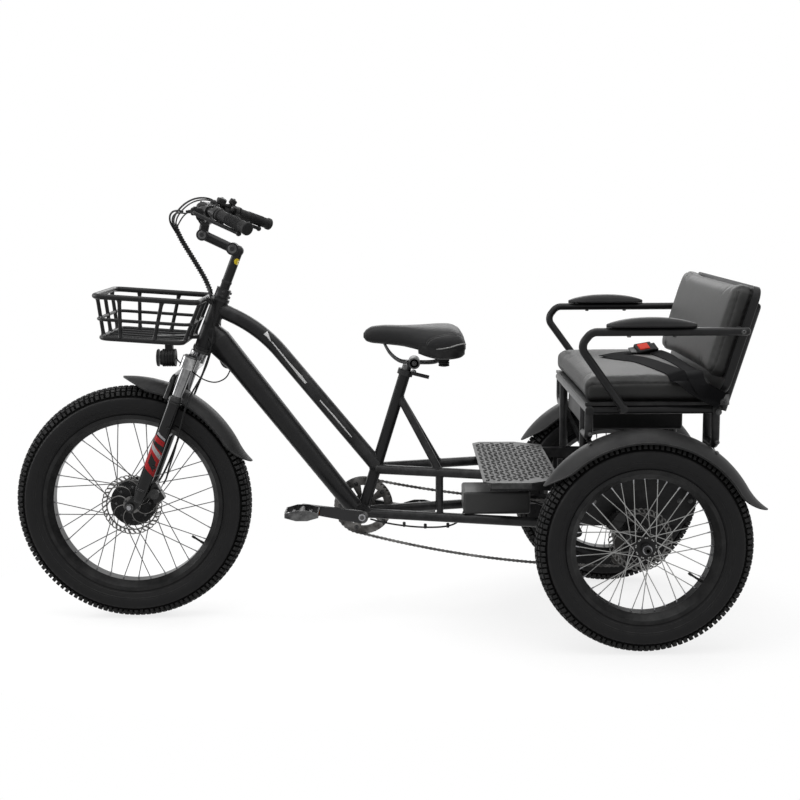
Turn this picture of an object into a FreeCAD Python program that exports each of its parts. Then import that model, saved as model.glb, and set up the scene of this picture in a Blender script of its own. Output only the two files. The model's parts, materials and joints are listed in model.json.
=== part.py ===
"""Passenger tricycle with fat tyres: a steered front wheel with a hub motor, a chain drive
and a two-seat bench between two wire wheels at the back.

Millimetres. X runs to the rear, Y to the rider's right, Z up from the ground.
Pieces are modelled with X counted from the front axle, and move together at the end so that
the origin lies on the ground under the middle of the vehicle.
"""
import FreeCAD, Part
import math
import os

V = FreeCAD.Vector
X_AXIS = V(1, 0, 0)
Y_AXIS = V(0, 1, 0)
Z_AXIS = V(0, 0, 1)
SIDES = (("left", -1), ("right", 1))

# Gaps shared by all pieces
RUNNING_GAP = 0.05
SEAT_GAP = 0.3
MOVING_GAP = 5.0

# Wheels
WHEELBASE = 1452.0
TRACK_WIDTH = 720.0
FRONT_TYRE_R = 348.0
REAR_TYRE_R = 298.0
TYRE_WIDTH = 98.0
TYRE_HEIGHT = 91.0
TREAD_WIDTH = 84.0
TREAD_DROP = 13.0
TYRE_BULGE_SHARE = 0.44
RIM_WIDTH = 80.0
RIM_WALL = 3.0
RIM_HOOK = 8.0
RIM_CHANNEL = 16.0
RIM_CHANNEL_SHARE = 0.5
SPOKE_R = 1.2
SPOKE_COUNT = 36
FRONT_SPOKE_LEAN = 38.0
REAR_SPOKE_LEAN = 65.0
SPOKE_RIM_SHARE = 0.12
MOTOR_FLANGE_R = 68.0
MOTOR_BODY_R = 60.0
MOTOR_COVER_R = 44.0
MOTOR_FLANGE_WIDTH = 56.0
MOTOR_WIDTH = 74.0
HUB_R = 20.0
HUB_FLANGE_R = 32.0
HUB_WIDTH = 76.0
FLANGE_THICKNESS = 4.0
SPOKE_CIRCLE_INSET = 4.0
DISC_R = 90.0
DISC_BAND = 17.0
DISC_CARRIER_R = 26.0
DISC_ARM_WIDTH = 7.0
DISC_ARM_LEAN = 22.0
DISC_ARMS = 6
DISC_WAVES = 12
DISC_WAVE_R = 16.0
DISC_WAVE_DEPTH = 3.0
DISC_SLOT_LENGTH = 11.0
DISC_SLOT_WIDTH = 3.0
DISC_THICKNESS = 2.0
FRONT_DISC_Y = 50.0
REAR_DISC_INSET = 55.0
FRONT_AXLE_R = 7.0
FRONT_AXLE_NUT_R = 12.0
FRONT_AXLE_NUT_LENGTH = 8.0
HALF_AXLE_R = 10.0
AXLE_NUT_R = 14.0
AXLE_CAP_LENGTH = 20.0
AXLE_STUB = 70.0

# Steering
STEER_ANGLE = 21.5
FORK_RAKE = 30.0
FORK_LEG_OFFSET = 14.0
FORK_SPREAD = 160.0
FORK_LEG_R = 20.0
FORK_LEG_BOTTOM = 22.0
FORK_LEG_TIP = 14.0
SEAL_R = 22.0
SEAL_HEIGHT = 9.0
STANCHION_R = 16.0
STANCHION_DEPTH = 80.0
LEG_TOP = 352.0
LEG_BORE_BOTTOM = 60.0
CROWN_BOTTOM = 443.0
CROWN_HEIGHT = 34.0
CROWN_DEPTH = 40.0
CROWN_BOSS_R = 23.0
CROWN_RACE_R = 20.0
ARCH_FORWARD = 27.0
ARCH_RISE = 50.0
ARCH_FOOT = 14.0
ARCH_R = 9.0
ARCH_INSET = 8.0
ARCH_BEND = 26.0
DROPOUT_THICKNESS = 10.0
DROPOUT_R = 17.0
DROPOUT_WIDTH = 26.0
DROPOUT_REACH = 52.0
DROPOUT_LEAN = 12.0
DROPOUT_INSET = 4.0
AXLE_OVERHANG = 14.0
STEERER_R = 14.0
HEAD_TUBE_R = 24.0
HEAD_TUBE_BOTTOM = 497.0
HEAD_TUBE_TOP = 652.0
HEADSET_R = 27.0
HEADSET_HEIGHT = 9.0
STEM_COLLAR_R = 21.0
STEM_COLLAR_HEIGHT = 36.0
RISER_R = 14.0
RISER_ELBOW_R = 16.0
RISER_TOP = 806.0
PIVOT_X = 308.0
PIVOT_RISE = 745.0
PIVOT_R = 18.0
PIVOT_WIDTH = 34.0
STEM_ARM_R = 14.0
KNUCKLE_X = 222.0
KNUCKLE_RISE = 786.0
KNUCKLE_R = 17.0
KNUCKLE_WIDTH = 38.0
BAR_X = 232.0
BAR_RISE = 832.0
BAR_R = 11.0
BAR_CLAMP_R = 20.0
BAR_CLAMP_WIDTH = 46.0
BAR_FLAT = 62.0
BAR_KNEE_X = 8.0
BAR_KNEE_Y = 150.0
BAR_KNEE_RISE = 26.0
BAR_BEND = 34.0
GRIP_R = 16.0
GRIP_FLANGE_R = 18.5
GRIP_FLANGE_LENGTH = 9.0
GRIP_INNER_X = 53.0
GRIP_INNER_Y = 200.0
GRIP_INNER_RISE = 19.0
GRIP_OUTER_X = 153.0
GRIP_OUTER_Y = 304.0
GRIP_OUTER_DROP = 23.0
GRIP_START = 20.0

# Hand controls
CLAMP_RING_R = 16.0
CLAMP_RING_LENGTH = 16.0
LEVER_PERCH_FORWARD = 48.0
LEVER_PERCH_WIDTH = 24.0
LEVER_PERCH_HEIGHT = 22.0
LEVER_BLADE_R = 5.5
LEVER_TIP_R = 8.0
LEVER_DROP = 16.0
LEVER_TIP_X = 118.0
LEVER_TIP_Y = 100.0
LEVER_TIP_DROP = 58.0
DISPLAY_WIDTH = 74.0
DISPLAY_DEPTH = 48.0
DISPLAY_THICKNESS = 15.0
DISPLAY_RISE = 30.0
DISPLAY_TILT = 30.0
DISPLAY_POST = 12.0
DISPLAY_Y = 36.0
DISPLAY_BACK = 14.0

# Fenders
FENDER_THICKNESS = 3.0
FENDER_WIDTH = 112.0
FENDER_DROP = 28.0
FENDER_GAP = 20.0
FRONT_FENDER_GAP = 10.0
FRONT_FENDER_SHIFT_X = 10.0
FRONT_FENDER_SHIFT_Z = 15.0
FRONT_FENDER_START = 26.0
FRONT_FENDER_END = 92.0
FRONT_FENDER_TAIL = 20.0
REAR_FENDER_START = 30.0
REAR_FENDER_END = 149.0
REAR_FENDER_TAIL = 26.0
FENDER_TAIL_R = 190.0
FENDER_TIP_R = 74.0
FENDER_STUD_R = 7.0

# Brake calipers
CALIPER_LENGTH = 58.0
CALIPER_DEPTH = 34.0
CALIPER_WALL = 7.0
CALIPER_PISTON_R = 15.0
CALIPER_PISTON_LENGTH = 14.0
CALIPER_ARM_WIDTH = 14.0
FRONT_CALIPER_ANGLE = 28.0
REAR_CALIPER_ANGLE = 142.0

# Main frame
BB_X = 677.5
BB_Z = 317.0
BB_SHELL_R = 24.0
BB_SHELL_WIDTH = 68.0
DOWN_TUBE_TOP_R = 35.0
DOWN_TUBE_BOTTOM_R = 26.0
DOWN_TUBE_HEAD = 69.0
DOWN_TUBE_NECK = 42.0
DOWN_TUBE_FOOT_X = 12.0
DOWN_TUBE_FOOT_Z = 9.0
GUSSET_R = 27.0
GUSSET_HEAD = 36.0
GUSSET_SHARE = 0.24
TOP_TUBE_R = 22.0
TOP_TUBE_HEAD = 24.0
TOP_TUBE_BEND_X = 386.0
TOP_TUBE_BEND_RISE = 511.0
TOP_TUBE_BEND_R = 400.0
TOP_TUBE_SEAT_SHARE = 0.323
SEAT_TUBE_R = 17.0
SEAT_TUBE_WALL = 3.0
SEAT_TUBE_TOP_X = 808.0
SEAT_TUBE_TOP_Z = 737.0
SEAT_POST_DEPTH = 110.0
SEAT_CLAMP_R = 23.0
SEAT_CLAMP_HEIGHT = 16.0
SEAT_LEVER_LENGTH = 46.0
SEAT_LEVER_R = 5.5
STRUT_R = 11.0
STRUT_SHARE = 0.825
STRUT_FOOT_X = 905.0
RAIL_R = 14.0
RAIL_FRONT_SPREAD = 34.0
RAIL_REAR_SPREAD = 311.0
UPPER_RAIL_X = 720.0
LOWER_RAIL_DROP = 5.0
RAIL_REAR_X = 252.0
POST_R = 9.5

# Rear subframe
SUBFRAME_INSET = 115.0
SUBFRAME_TUBE = 30.0
SUBFRAME_RISE = 146.0
SUBFRAME_FRONT_X = 412.0
SUBFRAME_REAR_X = 203.0
PLATE_THICKNESS = 6.0
PLATE_FRONT_X = 182.0
PLATE_REAR_X = 158.0
PLATE_CORNER = 30.0
PLATE_RISE = 27.0
LOWER_CROSSBAR_X = 165.0
LOWER_CROSSBAR_R = 13.0
LOWER_CROSSBAR_RISE = 5.0
BEARING_R = 32.0
BEARING_COLLAR_R = 22.0
BEARING_WIDTH = 26.0
BEARING_COLLAR = 8.0
DIFF_R = 46.0
DIFF_NECK_R = 20.0
DIFF_WIDTH = 70.0

# Drive train
CRANK_LENGTH = 172.0
CRANK_ANGLE = 171.0
CRANK_Y = 93.0
CRANK_THICKNESS = 14.0
CRANK_HUB_R = 18.0
CRANK_TIP_R = 12.5
CRANK_BOLT_R = 8.0
CRANK_BOLT_LENGTH = 2.0
SPINDLE_R = 9.0
SPIDER_R = 70.0
SPIDER_ARMS = 5
CHAIN_Y = 60.0
SAG_STEPS = 40
ARC_STEP = 0.1
CHAIN_PITCH = 12.7
RING_TEETH = 42
COG_TEETH = 15
PULLEY_TEETH = 11
RING_WINDOW_INNER_R = 36.0
RING_WINDOW_OUTER_R = 63.0
RING_WINDOW_ANGLE = 50.0
RING_THICKNESS = 3.0
GUARD_OVERHANG = 3.5
GUARD_THICKNESS = 2.0
GUARD_Y = 68.0
RING_BOLT_R = 6.0
TOOTH_CLEARANCE = 0.6
CHAIN_WIDTH = 7.0
CHAIN_PLATE_HEIGHT = 8.6
CHAIN_WAIST_HEIGHT = 5.6
UPPER_SAG = 24.0
LOWER_SAG = 26.0
BIG_COG_STEP = 7.0
COG_SPACING = 5.0
COG_THICKNESS = 2.0
PULLEY_WIDTH = 5.0
GUIDE_PULLEY_X = 2.0
GUIDE_PULLEY_DROP = 74.0
TENSION_PULLEY_X = 6.0
TENSION_PULLEY_DROP = 150.0
CAGE_THICKNESS = 2.5
CAGE_R = 14.0
CAGE_OFFSET = 7.0
PULLEY_PIN_R = 4.0
PEDAL_LENGTH = 96.0
PEDAL_WIDTH = 88.0
PEDAL_HEIGHT = 30.0
PEDAL_CAGE_WALL = 4.0
PEDAL_BARREL_R = 12.0
PEDAL_PIN_R = 5.0
PEDAL_TAPER = 9.0

# Footplate and controller box
FOOTPLATE_FRONT_X = 434.0
FOOTPLATE_REAR_X = 220.0
FOOTPLATE_WIDTH = 644.0
FOOTPLATE_REAR_WIDTH = 540.0
FOOTPLATE_TYRE_GAP = 4.0
FOOTPLATE_THICKNESS = 4.0
FOOTPLATE_CORNER = 22.0
FOOTPLATE_LIP = 10.0
FOOTPLATE_LIP_HEIGHT = 12.0
BOX_FRONT_X = 480.0
BOX_REAR_X = 286.0
BOX_NEAR_Y = 110.0
BOX_FAR_Y = 40.0
BOX_HEIGHT = 66.0
BOX_ROUNDING = 8.0

# Seats
BENCH_WIDTH = 720.0
BENCH_FRONT_X = 170.0
BENCH_REAR_X = 188.0
BENCH_THICKNESS = 62.0
CUSHION_ROUNDING = 22.0
BOARD_THICKNESS = 8.0
BOARD_INSET = 6.0
SEAT_OVER_FENDER = 49.0
SEAT_RAIL_R = 12.5
SIDE_RAIL_R = 11.5
SEAT_RAIL_INSET = 15.0
FRONT_CROSS_X = 152.0
REAR_CROSS_X = 190.0
LEG_R = 11.5
LEG_BEND = 24.0
LEG_FOOT_GAP = 1.0
BRACE_R = 8.0
BRACE_RUN = 74.0
STAY_R = 5.0
SEAT_BOX_FRONT_X = 143.0
SEAT_BOX_REAR_X = 131.0
SEAT_BOX_WIDTH = 400.0
SEAT_BOX_HEIGHT = 57.0
SEAT_BOX_DROP = 10.0
SEAT_BOX_STRAP_SHARE = 0.8
SEAT_BOX_STRAP = 20.0
SEAT_BOX_STRAP_THICKNESS = 3.0
BACK_ANGLE = 17.0
BACK_FOOT_X = 162.0
BACK_FOOT_RISE = 66.0
BACK_HEIGHT = 272.0
BACK_CUSHION = 56.0
BACK_WIDTH = 744.0
BACK_PANEL = 8.0
BACK_PANEL_DROP = 28.0
BACK_CORNER = 38.0
UPRIGHT_EDGE_SHARE = 0.9
BACK_ROUNDING = 20.0
PIVOT_TUBE_DROP = -41.0
UPRIGHT_INSET = 40.0
UPRIGHT_DROP = 74.0
UPRIGHT_SHARE = 0.8
ARM_TUBE_R = 11.0
ARM_GAP = 60.0
ARM_RISE = 218.0
ARM_REAR_X = 248.0
ARM_FRONT_X = 158.0
ARM_NOSE_X = 188.0
ARM_NOSE_DROP = 38.0
ARM_FOOT_X = 64.0
ARM_FOOT_RISE = 8.0
ARM_BEND = 30.0
PAD_FRONT_X = 120.0
PAD_REAR_X = 118.0
PAD_WIDTH = 50.0
PAD_THICKNESS = 28.0
PAD_ROUNDING = 11.0
BELT_WIDTH = 44.0
BELT_THICKNESS = 2.5
BELT_REAR_Y = 240.0
BELT_FRONT_Y = 40.0
BELT_REAR_INSET = 40.0
BELT_FRONT_INSET = 110.0
BUCKLE_X = 30.0
BUCKLE_LENGTH = 64.0
BUCKLE_WIDTH = 36.0
BUCKLE_THICKNESS = 16.0

# Basket and lamp
BASKET_FRONT_X = -69.0
BASKET_RIM_RISE = 621.0
BASKET_TILT = 4.1
BASKET_LENGTH = 294.0
BASKET_WIDTH = 308.0
BASKET_FLOOR_WIDTH = 298.0
BASKET_DEPTH = 117.0
BASKET_FRONT_INSET = 23.0
BASKET_REAR_INSET = 40.0
BASKET_CORNER = 26.0
BASKET_RIM_R = 8.0
BASKET_FLOOR_R = 7.0
BASKET_WIRE_R = 5.5
BASKET_MID_R = 4.8
BASKET_STAY_R = 5.0
BASKET_SLAT_R = 4.5
BASKET_SIDE_SHARES = (0.25, 0.66)
BASKET_END_SHARES = (0.17, 0.5, 0.83)
BASKET_SLAT_SHARES = (0.2, 0.4, 0.6, 0.8)
BASKET_MID_SHARE = 0.55
BRACKET_WIDTH = 30.0
BRACKET_THICKNESS = 5.0
LAMP_X = 115.0
LAMP_R = 26.0
LAMP_LENGTH = 38.0
LAMP_DROP = 30.0
LAMP_FINS = 5
LAMP_FIN_DEPTH = 3.0
LAMP_LENS_R = 22.0
LAMP_LENS_BULGE = 6.0
LAMP_PLATE_WIDTH = 76.0
LAMP_PLATE_THICKNESS = 4.0
LAMP_NECK_WIDTH = 22.0

# Saddle
SADDLE_NOSE_X = 124.0
SADDLE_TAIL_X = 172.0
SADDLE_TOP_RISE = 134.0
SADDLE_WIDTH = 232.0
SADDLE_STATION_SHARES = (0.0, 0.07, 0.2, 0.38, 0.56, 0.72, 0.86, 0.94, 1.0)
SADDLE_WIDTH_SHARES = (0.12, 0.22, 0.27, 0.36, 0.62, 0.94, 1.0, 0.9, 0.62)
SADDLE_TOP_SHARES = (0.76, 0.93, 0.98, 0.97, 0.98, 1.0, 0.98, 0.80, 0.46)
SADDLE_BOTTOM_SHARES = (0.58, 0.50, 0.42, 0.30, 0.12, 0.04, 0.0, 0.02, 0.14)
SADDLE_HEIGHT = 96.0
SADDLE_RAIL_R = 4.0
RAIL_NOSE_SHARES = (0.22, 0.5, 0.5)
RAIL_TAIL_SHARES = (0.88, 1.2, 0.2)
SADDLE_ROUND_SHARE = 0.8
SADDLE_SECTION_POINTS = 12
SADDLE_CLAMP_R = 17.0
SADDLE_CLAMP_WIDTH = 50.0
SPRING_R = 17.0
SPRING_HEIGHT = 26.0
SPRING_SHARE = 0.79
SPRING_Y = 42.0
SADDLE_CLAMP_X = 24.0
SADDLE_CLAMP_DROP = 112.0

# Cables; each route is a list of points chosen by hand, counted from the front axle's place on the ground
CABLE_BEND_SHARE = 0.45
CABLE_R = 2.8
BUNDLE_R = 7.0
BUNDLE_END = 667.0
BUNDLE_ROUTE = ((149, -56, 1166), (160, -42, 1131), (183, -28, 1088), (209, -14, 1040), (231, -4, 998))
LEFT_HOSE_ROUTE = ((186, -162, 1206), (160, -136, 1199), (146, -104, 1182), (146, -72, 1160), (157, -46, 1140))
RIGHT_HOSE_ROUTE = ((190, 164, 1216), (176, 138, 1234), (180, 96, 1246), (190, 48, 1247), (180, 0, 1236),
                    (160, -36, 1212), (148, -54, 1180), (155, -49, 1148))

STEER_RAD = math.radians(STEER_ANGLE)
STEER_UP = V(math.sin(STEER_RAD), 0, math.cos(STEER_RAD))
STEER_FORWARD = V(-math.cos(STEER_RAD), 0, math.sin(STEER_RAD))
FRONT_AXLE = V(0, 0, FRONT_TYRE_R)
STEER_FOOT = FRONT_AXLE - STEER_FORWARD * FORK_RAKE
HALF_TRACK = TRACK_WIDTH / 2
REAR_DISC_Y = HALF_TRACK - REAR_DISC_INSET
FRONT_BEAD_R = FRONT_TYRE_R - TYRE_HEIGHT
REAR_BEAD_R = REAR_TYRE_R - TYRE_HEIGHT
FORK_Y = FORK_SPREAD / 2
SUBFRAME_Y = HALF_TRACK - SUBFRAME_INSET
SUBFRAME_Z = REAR_TYRE_R + SUBFRAME_RISE
LOWER_RAIL_Z = BB_Z - LOWER_RAIL_DROP
RAIL_END_X = WHEELBASE - RAIL_REAR_X
RAIL_FRONT_Y = RAIL_FRONT_SPREAD / 2
RAIL_REAR_Y = RAIL_REAR_SPREAD / 2
SEAT_RAIL_Z = 2 * REAR_TYRE_R + FENDER_GAP + FENDER_THICKNESS + SEAT_OVER_FENDER
BOARD_Z = SEAT_RAIL_Z + SEAT_RAIL_R + SEAT_GAP
BENCH_Z = BOARD_Z + BOARD_THICKNESS + SEAT_GAP
BENCH_Y = BENCH_WIDTH / 2
SIDE_RAIL_Y = BENCH_Y - SEAT_RAIL_INSET
ARM_Y = BENCH_Y + ARM_GAP
FOOTPLATE_Z = SUBFRAME_Z + SUBFRAME_TUBE / 2 + SEAT_GAP


def steer_point(along, forward=0.0, side=0.0):
    """A point given by its distance up the steering axis, ahead of it and to its side."""
    return STEER_FOOT + STEER_UP * along + STEER_FORWARD * forward + V(0, side, 0)


def rod(start, end, radius):
    """A round bar between two points."""
    return Part.makeCylinder(radius, (end - start).Length, start, end - start)


def cone(start, end, start_r, end_r):
    """A tapered round bar between two points."""
    return Part.makeCone(start_r, end_r, (end - start).Length, start, end - start)


def bend_edges(points, bends):
    """Straight runs joined by tangent arcs of the given radii."""
    edges = []
    last = points[0]
    for index in range(1, len(points) - 1):
        corner = points[index]
        back = (points[index - 1] - corner).normalize()
        ahead = (points[index + 1] - corner).normalize()
        half = back.getAngle(ahead) / 2
        reach = bends[index - 1] / math.tan(half)
        middle = (back + ahead).normalize()
        centre = corner + middle * (bends[index - 1] / math.sin(half))
        start = corner + back * reach
        end = corner + ahead * reach
        edges.append(Part.LineSegment(last, start).toShape())
        edges.append(Part.Arc(start, centre - middle * bends[index - 1], end).toShape())
        last = end
    edges.append(Part.LineSegment(last, points[-1]).toShape())
    return edges


def swept(edges, start, direction, radius):
    """A round bar along a chain of edges."""
    profile = Part.Wire(Part.Circle(start, direction, radius).toShape())
    return Part.Wire(edges).makePipeShell([profile], True, False)


def tube_path(points, radius, bends):
    """A bent round bar through the given corners."""
    return swept(bend_edges(points, bends), points[0], points[1] - points[0], radius)


def ring_path(points, radius, bend):
    """A closed round bar with equal bends at its corners."""
    start = (points[0] + points[1]) * 0.5
    loop = [start] + points[1:] + [points[0], start]
    return swept(bend_edges(loop, [bend] * len(points)), start, points[1] - points[0], radius)


def cable(points, radius):
    """A flexible round line through the given points, with bends as wide as its runs allow."""
    bends = []
    for index in range(1, len(points) - 1):
        back = points[index - 1] - points[index]
        ahead = points[index + 1] - points[index]
        half = back.getAngle(ahead) / 2
        bends.append(min(back.Length, ahead.Length) * CABLE_BEND_SHARE * math.tan(half))
    return tube_path(points, radius, bends)


def fuse(shapes):
    """One solid from pieces that touch."""
    return shapes[0].multiFuse(shapes[1:]).removeSplitter()


def revolved(profile, centre):
    """A ring about the Y axis through a point, from (radius, y) corners."""
    points = [V(centre.x, centre.y + y, centre.z + r) for r, y in profile]
    points.append(points[0])
    return Part.Face(Part.makePolygon(points)).revolve(centre, Y_AXIS, 360)


def disc(centre, radius, width):
    """A round slab about the Y axis, centred on a point."""
    return Part.makeCylinder(radius, width, centre - Y_AXIS * (width / 2), Y_AXIS)


def box(low, high):
    """A block between two corners."""
    return Part.makeBox(high.x - low.x, high.y - low.y, high.z - low.z, low)


def block(centre, length, width, height):
    """A block centred on a point, sized along X, Y and Z."""
    half = V(length / 2, width / 2, height / 2)
    return box(centre - half, centre + half)


def rounded(shape, radius):
    """A block with all its edges rounded."""
    return shape.makeFillet(radius, shape.Edges)


def prism(corners, thickness):
    """An upright plate centred on the plane of its corners, which share one Y."""
    face = Part.Face(Part.makePolygon(corners + [corners[0]]))
    face.translate(V(0, -thickness / 2, 0))
    return face.extrude(V(0, thickness, 0))


def link_plate(start, end, start_r, end_r, thickness):
    """An upright flat link with round ends."""
    along = end - start
    length = along.Length
    along = along.normalize()
    across = V(-along.z, 0, along.x)
    cosine = (start_r - end_r) / length
    sine = math.sqrt(1 - cosine * cosine)
    corners = []
    for centre, radius, way in ((start, start_r, 1), (end, end_r, 1), (end, end_r, -1), (start, start_r, -1)):
        corners.append(centre + along * (radius * cosine) + across * (radius * sine * way))
    return fuse([prism(corners, thickness), disc(start, start_r, thickness), disc(end, end_r, thickness)])


def tyre(centre, radius, bead):
    """A fat tyre: beads between the rim's edges, bulged side walls and a crowned tread."""
    seat = RIM_WIDTH / 2 - RIM_WALL - SEAT_GAP
    lip = bead + RIM_HOOK + SEAT_GAP
    half = TYRE_WIDTH / 2
    bulge = bead + TYRE_HEIGHT * TYRE_BULGE_SHARE
    shoulder = radius - TREAD_DROP

    def at(r, y):
        return centre + V(0, y, r)

    edges = [Part.LineSegment(at(bead, -seat), at(lip, -seat)).toShape(),
             Part.Arc(at(lip, -seat), at(bulge, -half), at(shoulder, -TREAD_WIDTH / 2)).toShape(),
             Part.Arc(at(shoulder, -TREAD_WIDTH / 2), at(radius, 0), at(shoulder, TREAD_WIDTH / 2)).toShape(),
             Part.Arc(at(shoulder, TREAD_WIDTH / 2), at(bulge, half), at(lip, seat)).toShape(),
             Part.LineSegment(at(lip, seat), at(bead, seat)).toShape(),
             Part.LineSegment(at(bead, seat), at(bead, -seat)).toShape()]
    return Part.Face(Part.Wire(edges)).revolve(centre, Y_AXIS, 360)


def rim(centre, bead):
    """A wide single-wall rim with upturned edges and a dropped middle."""
    half = RIM_WIDTH / 2
    drop = half * RIM_CHANNEL_SHARE
    slope = RIM_CHANNEL / 2
    seat = bead - SEAT_GAP
    floor = seat - RIM_CHANNEL
    under = floor - RIM_WALL
    top = bead + RIM_HOOK
    low = seat - RIM_WALL
    profile = [(top, -half), (top, -half + RIM_WALL), (seat, -half + RIM_WALL), (seat, -drop - slope),
               (floor, -drop), (floor, drop), (seat, drop + slope), (seat, half - RIM_WALL),
               (top, half - RIM_WALL), (top, half), (low, half), (under, drop), (under, -drop), (low, -half)]
    return revolved(profile, centre)


def spokes(centre, flange_r, flange_y, bead, lean_angle):
    """Crossed wire spokes from both hub flanges to the rim."""
    rim_r = bead - SEAT_GAP - RIM_CHANNEL - RIM_WALL / 2
    bars = []
    for index in range(SPOKE_COUNT):
        side = 1 if index % 2 else -1
        lean = 1 if (index // 2) % 2 else -1
        at_rim = 2 * math.pi * index / SPOKE_COUNT
        at_hub = at_rim + lean * math.radians(lean_angle)
        hub_end = V(flange_r * math.cos(at_hub), side * flange_y, flange_r * math.sin(at_hub))
        rim_end = V(rim_r * math.cos(at_rim), side * RIM_WIDTH * SPOKE_RIM_SHARE, rim_r * math.sin(at_rim))
        bars.append(rod(centre + hub_end, centre + rim_end, SPOKE_R))
    return bars


def brake_disc(centre):
    """A wavy slotted brake disc with swept arms."""
    thick = DISC_THICKNESS
    inner = DISC_R - DISC_BAND
    band = disc(centre, DISC_R, thick).cut(disc(centre, inner, thick * 2))
    cuts = []
    for index in range(DISC_WAVES):
        turn = 360 / DISC_WAVES * index
        wave = disc(centre + V(DISC_R + DISC_WAVE_R - DISC_WAVE_DEPTH, 0, 0), DISC_WAVE_R, thick * 2)
        wave.rotate(centre, Y_AXIS, turn)
        slot_centre = centre + V(DISC_R - DISC_BAND / 2, 0, 0)
        slot = block(slot_centre, DISC_SLOT_WIDTH, thick * 2, DISC_SLOT_LENGTH)
        slot.rotate(slot_centre, Y_AXIS, 360 / DISC_WAVES)
        slot.rotate(centre, Y_AXIS, turn + 180 / DISC_WAVES)
        cuts += [wave, slot]
    pieces = [band, disc(centre, DISC_CARRIER_R, thick)]
    for index in range(DISC_ARMS):
        arm = box(centre + V(0, -thick / 2, -DISC_ARM_WIDTH / 2),
                  centre + V(inner + DISC_ARM_WIDTH / 2, thick / 2, DISC_ARM_WIDTH / 2))
        arm.rotate(centre + V(DISC_CARRIER_R / 2, 0, 0), Y_AXIS, DISC_ARM_LEAN)
        arm.rotate(centre, Y_AXIS, 360 / DISC_ARMS * index)
        pieces.append(arm)
    whole = fuse(pieces).common(disc(centre, DISC_R, thick))
    for cutter in cuts:
        whole = whole.cut(cutter)
    return whole


def fender(centre, crown, start, end, tail):
    """A crowned mudguard over part of a wheel, with a flared rear end and rounded tips.

    The angles run from the rear, in degrees; crown is the radius of its inner face.
    """
    edge = crown - FENDER_DROP
    half = FENDER_WIDTH / 2
    lip = half + FENDER_THICKNESS / 2

    def arch(width, top):
        return Part.Arc(V(0, -width, edge), V(0, 0, top), V(0, width, edge)).toShape()

    left = Part.LineSegment(V(0, -lip, edge), V(0, -half, edge)).toShape()
    right = Part.LineSegment(V(0, half, edge), V(0, lip, edge)).toShape()
    outer = arch(lip, crown + FENDER_THICKNESS)
    face = Part.Face(Part.Wire(Part.__sortEdges__([outer, right, arch(half, crown), left])))
    face.translate(centre)
    face.rotate(centre, Y_AXIS, 90 - start)
    at_start = math.radians(start)
    pivot = centre + V(math.cos(at_start), 0, math.sin(at_start)) * (crown + FENDER_TAIL_R)
    shell = fuse([face.revolve(centre, -Y_AXIS, end - start), face.revolve(pivot, -Y_AXIS, tail)])
    at_tail = math.radians(start + tail)
    at_end = math.radians(end)
    tail_tip = pivot - V(math.cos(at_tail), 0, math.sin(at_tail)) * FENDER_TAIL_R
    front_tip = centre + V(math.cos(at_end), 0, math.sin(at_end)) * crown
    depth = FENDER_TIP_R - math.sqrt(FENDER_TIP_R ** 2 - half ** 2)
    for tip, turn in ((tail_tip, 90 - start - tail), (front_tip, -90 - end)):
        cutter = block(tip, depth * 2, FENDER_WIDTH + FENDER_TIP_R, FENDER_TIP_R * 2)
        cutter = cutter.cut(Part.makeCylinder(FENDER_TIP_R, FENDER_TIP_R * 2,
                                              tip - V(FENDER_TIP_R, 0, FENDER_TIP_R), Z_AXIS))
        cutter.rotate(tip, Y_AXIS, turn)
        shell = shell.cut(cutter)
    return shell


def caliper(wheel, disc_y, angle, toward):
    """A disc brake caliper astride a disc, its cylinder on the side that its mount is on."""
    gap = DISC_THICKNESS / 2 + MOVING_GAP
    reach = DISC_R - DISC_BAND / 2
    near = disc_y + toward * (gap + CALIPER_WALL * 2)
    far = disc_y - toward * (gap + CALIPER_WALL)
    middle = V(wheel.x, (near + far) / 2, wheel.z + reach)
    body = block(middle, CALIPER_LENGTH, abs(near - far), CALIPER_DEPTH)
    body = body.makeFillet(CALIPER_WALL / 2, body.Edges)
    piston = rod(V(wheel.x, near - toward * CALIPER_WALL, wheel.z + reach),
                 V(wheel.x, near + toward * CALIPER_PISTON_LENGTH, wheel.z + reach), CALIPER_PISTON_R)
    whole = fuse([body, piston])
    whole.rotate(wheel, Y_AXIS, 90 - angle)
    return whole.cut(disc(V(wheel.x, disc_y, wheel.z), DISC_R + MOVING_GAP, gap * 2))


parts = {}

# Front wheel
axle_bore_r = FRONT_AXLE_R + RUNNING_GAP
parts["front_tyre"] = tyre(FRONT_AXLE, FRONT_TYRE_R, FRONT_BEAD_R)
disc_seat = FRONT_DISC_Y - DISC_THICKNESS / 2 - SEAT_GAP
flange = MOTOR_FLANGE_WIDTH / 2
cover = MOTOR_WIDTH / 2
groove = flange - FLANGE_THICKNESS
boss = cover + FLANGE_THICKNESS
motor_profile = [(axle_bore_r, -disc_seat), (DISC_CARRIER_R, -disc_seat), (DISC_CARRIER_R, -cover),
                 (MOTOR_COVER_R, -cover), (MOTOR_BODY_R, -flange), (MOTOR_FLANGE_R, -flange),
                 (MOTOR_FLANGE_R, -groove), (MOTOR_BODY_R, -groove), (MOTOR_BODY_R, groove),
                 (MOTOR_FLANGE_R, groove), (MOTOR_FLANGE_R, flange), (MOTOR_BODY_R, flange),
                 (MOTOR_COVER_R, cover), (HUB_R, cover), (HUB_R, boss), (axle_bore_r, boss)]
parts["front_hub_motor"] = revolved(motor_profile, FRONT_AXLE)
flange_middle = flange - FLANGE_THICKNESS / 2
front_spokes = spokes(FRONT_AXLE, MOTOR_FLANGE_R - SPOKE_CIRCLE_INSET, flange_middle, FRONT_BEAD_R,
                      FRONT_SPOKE_LEAN)
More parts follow.
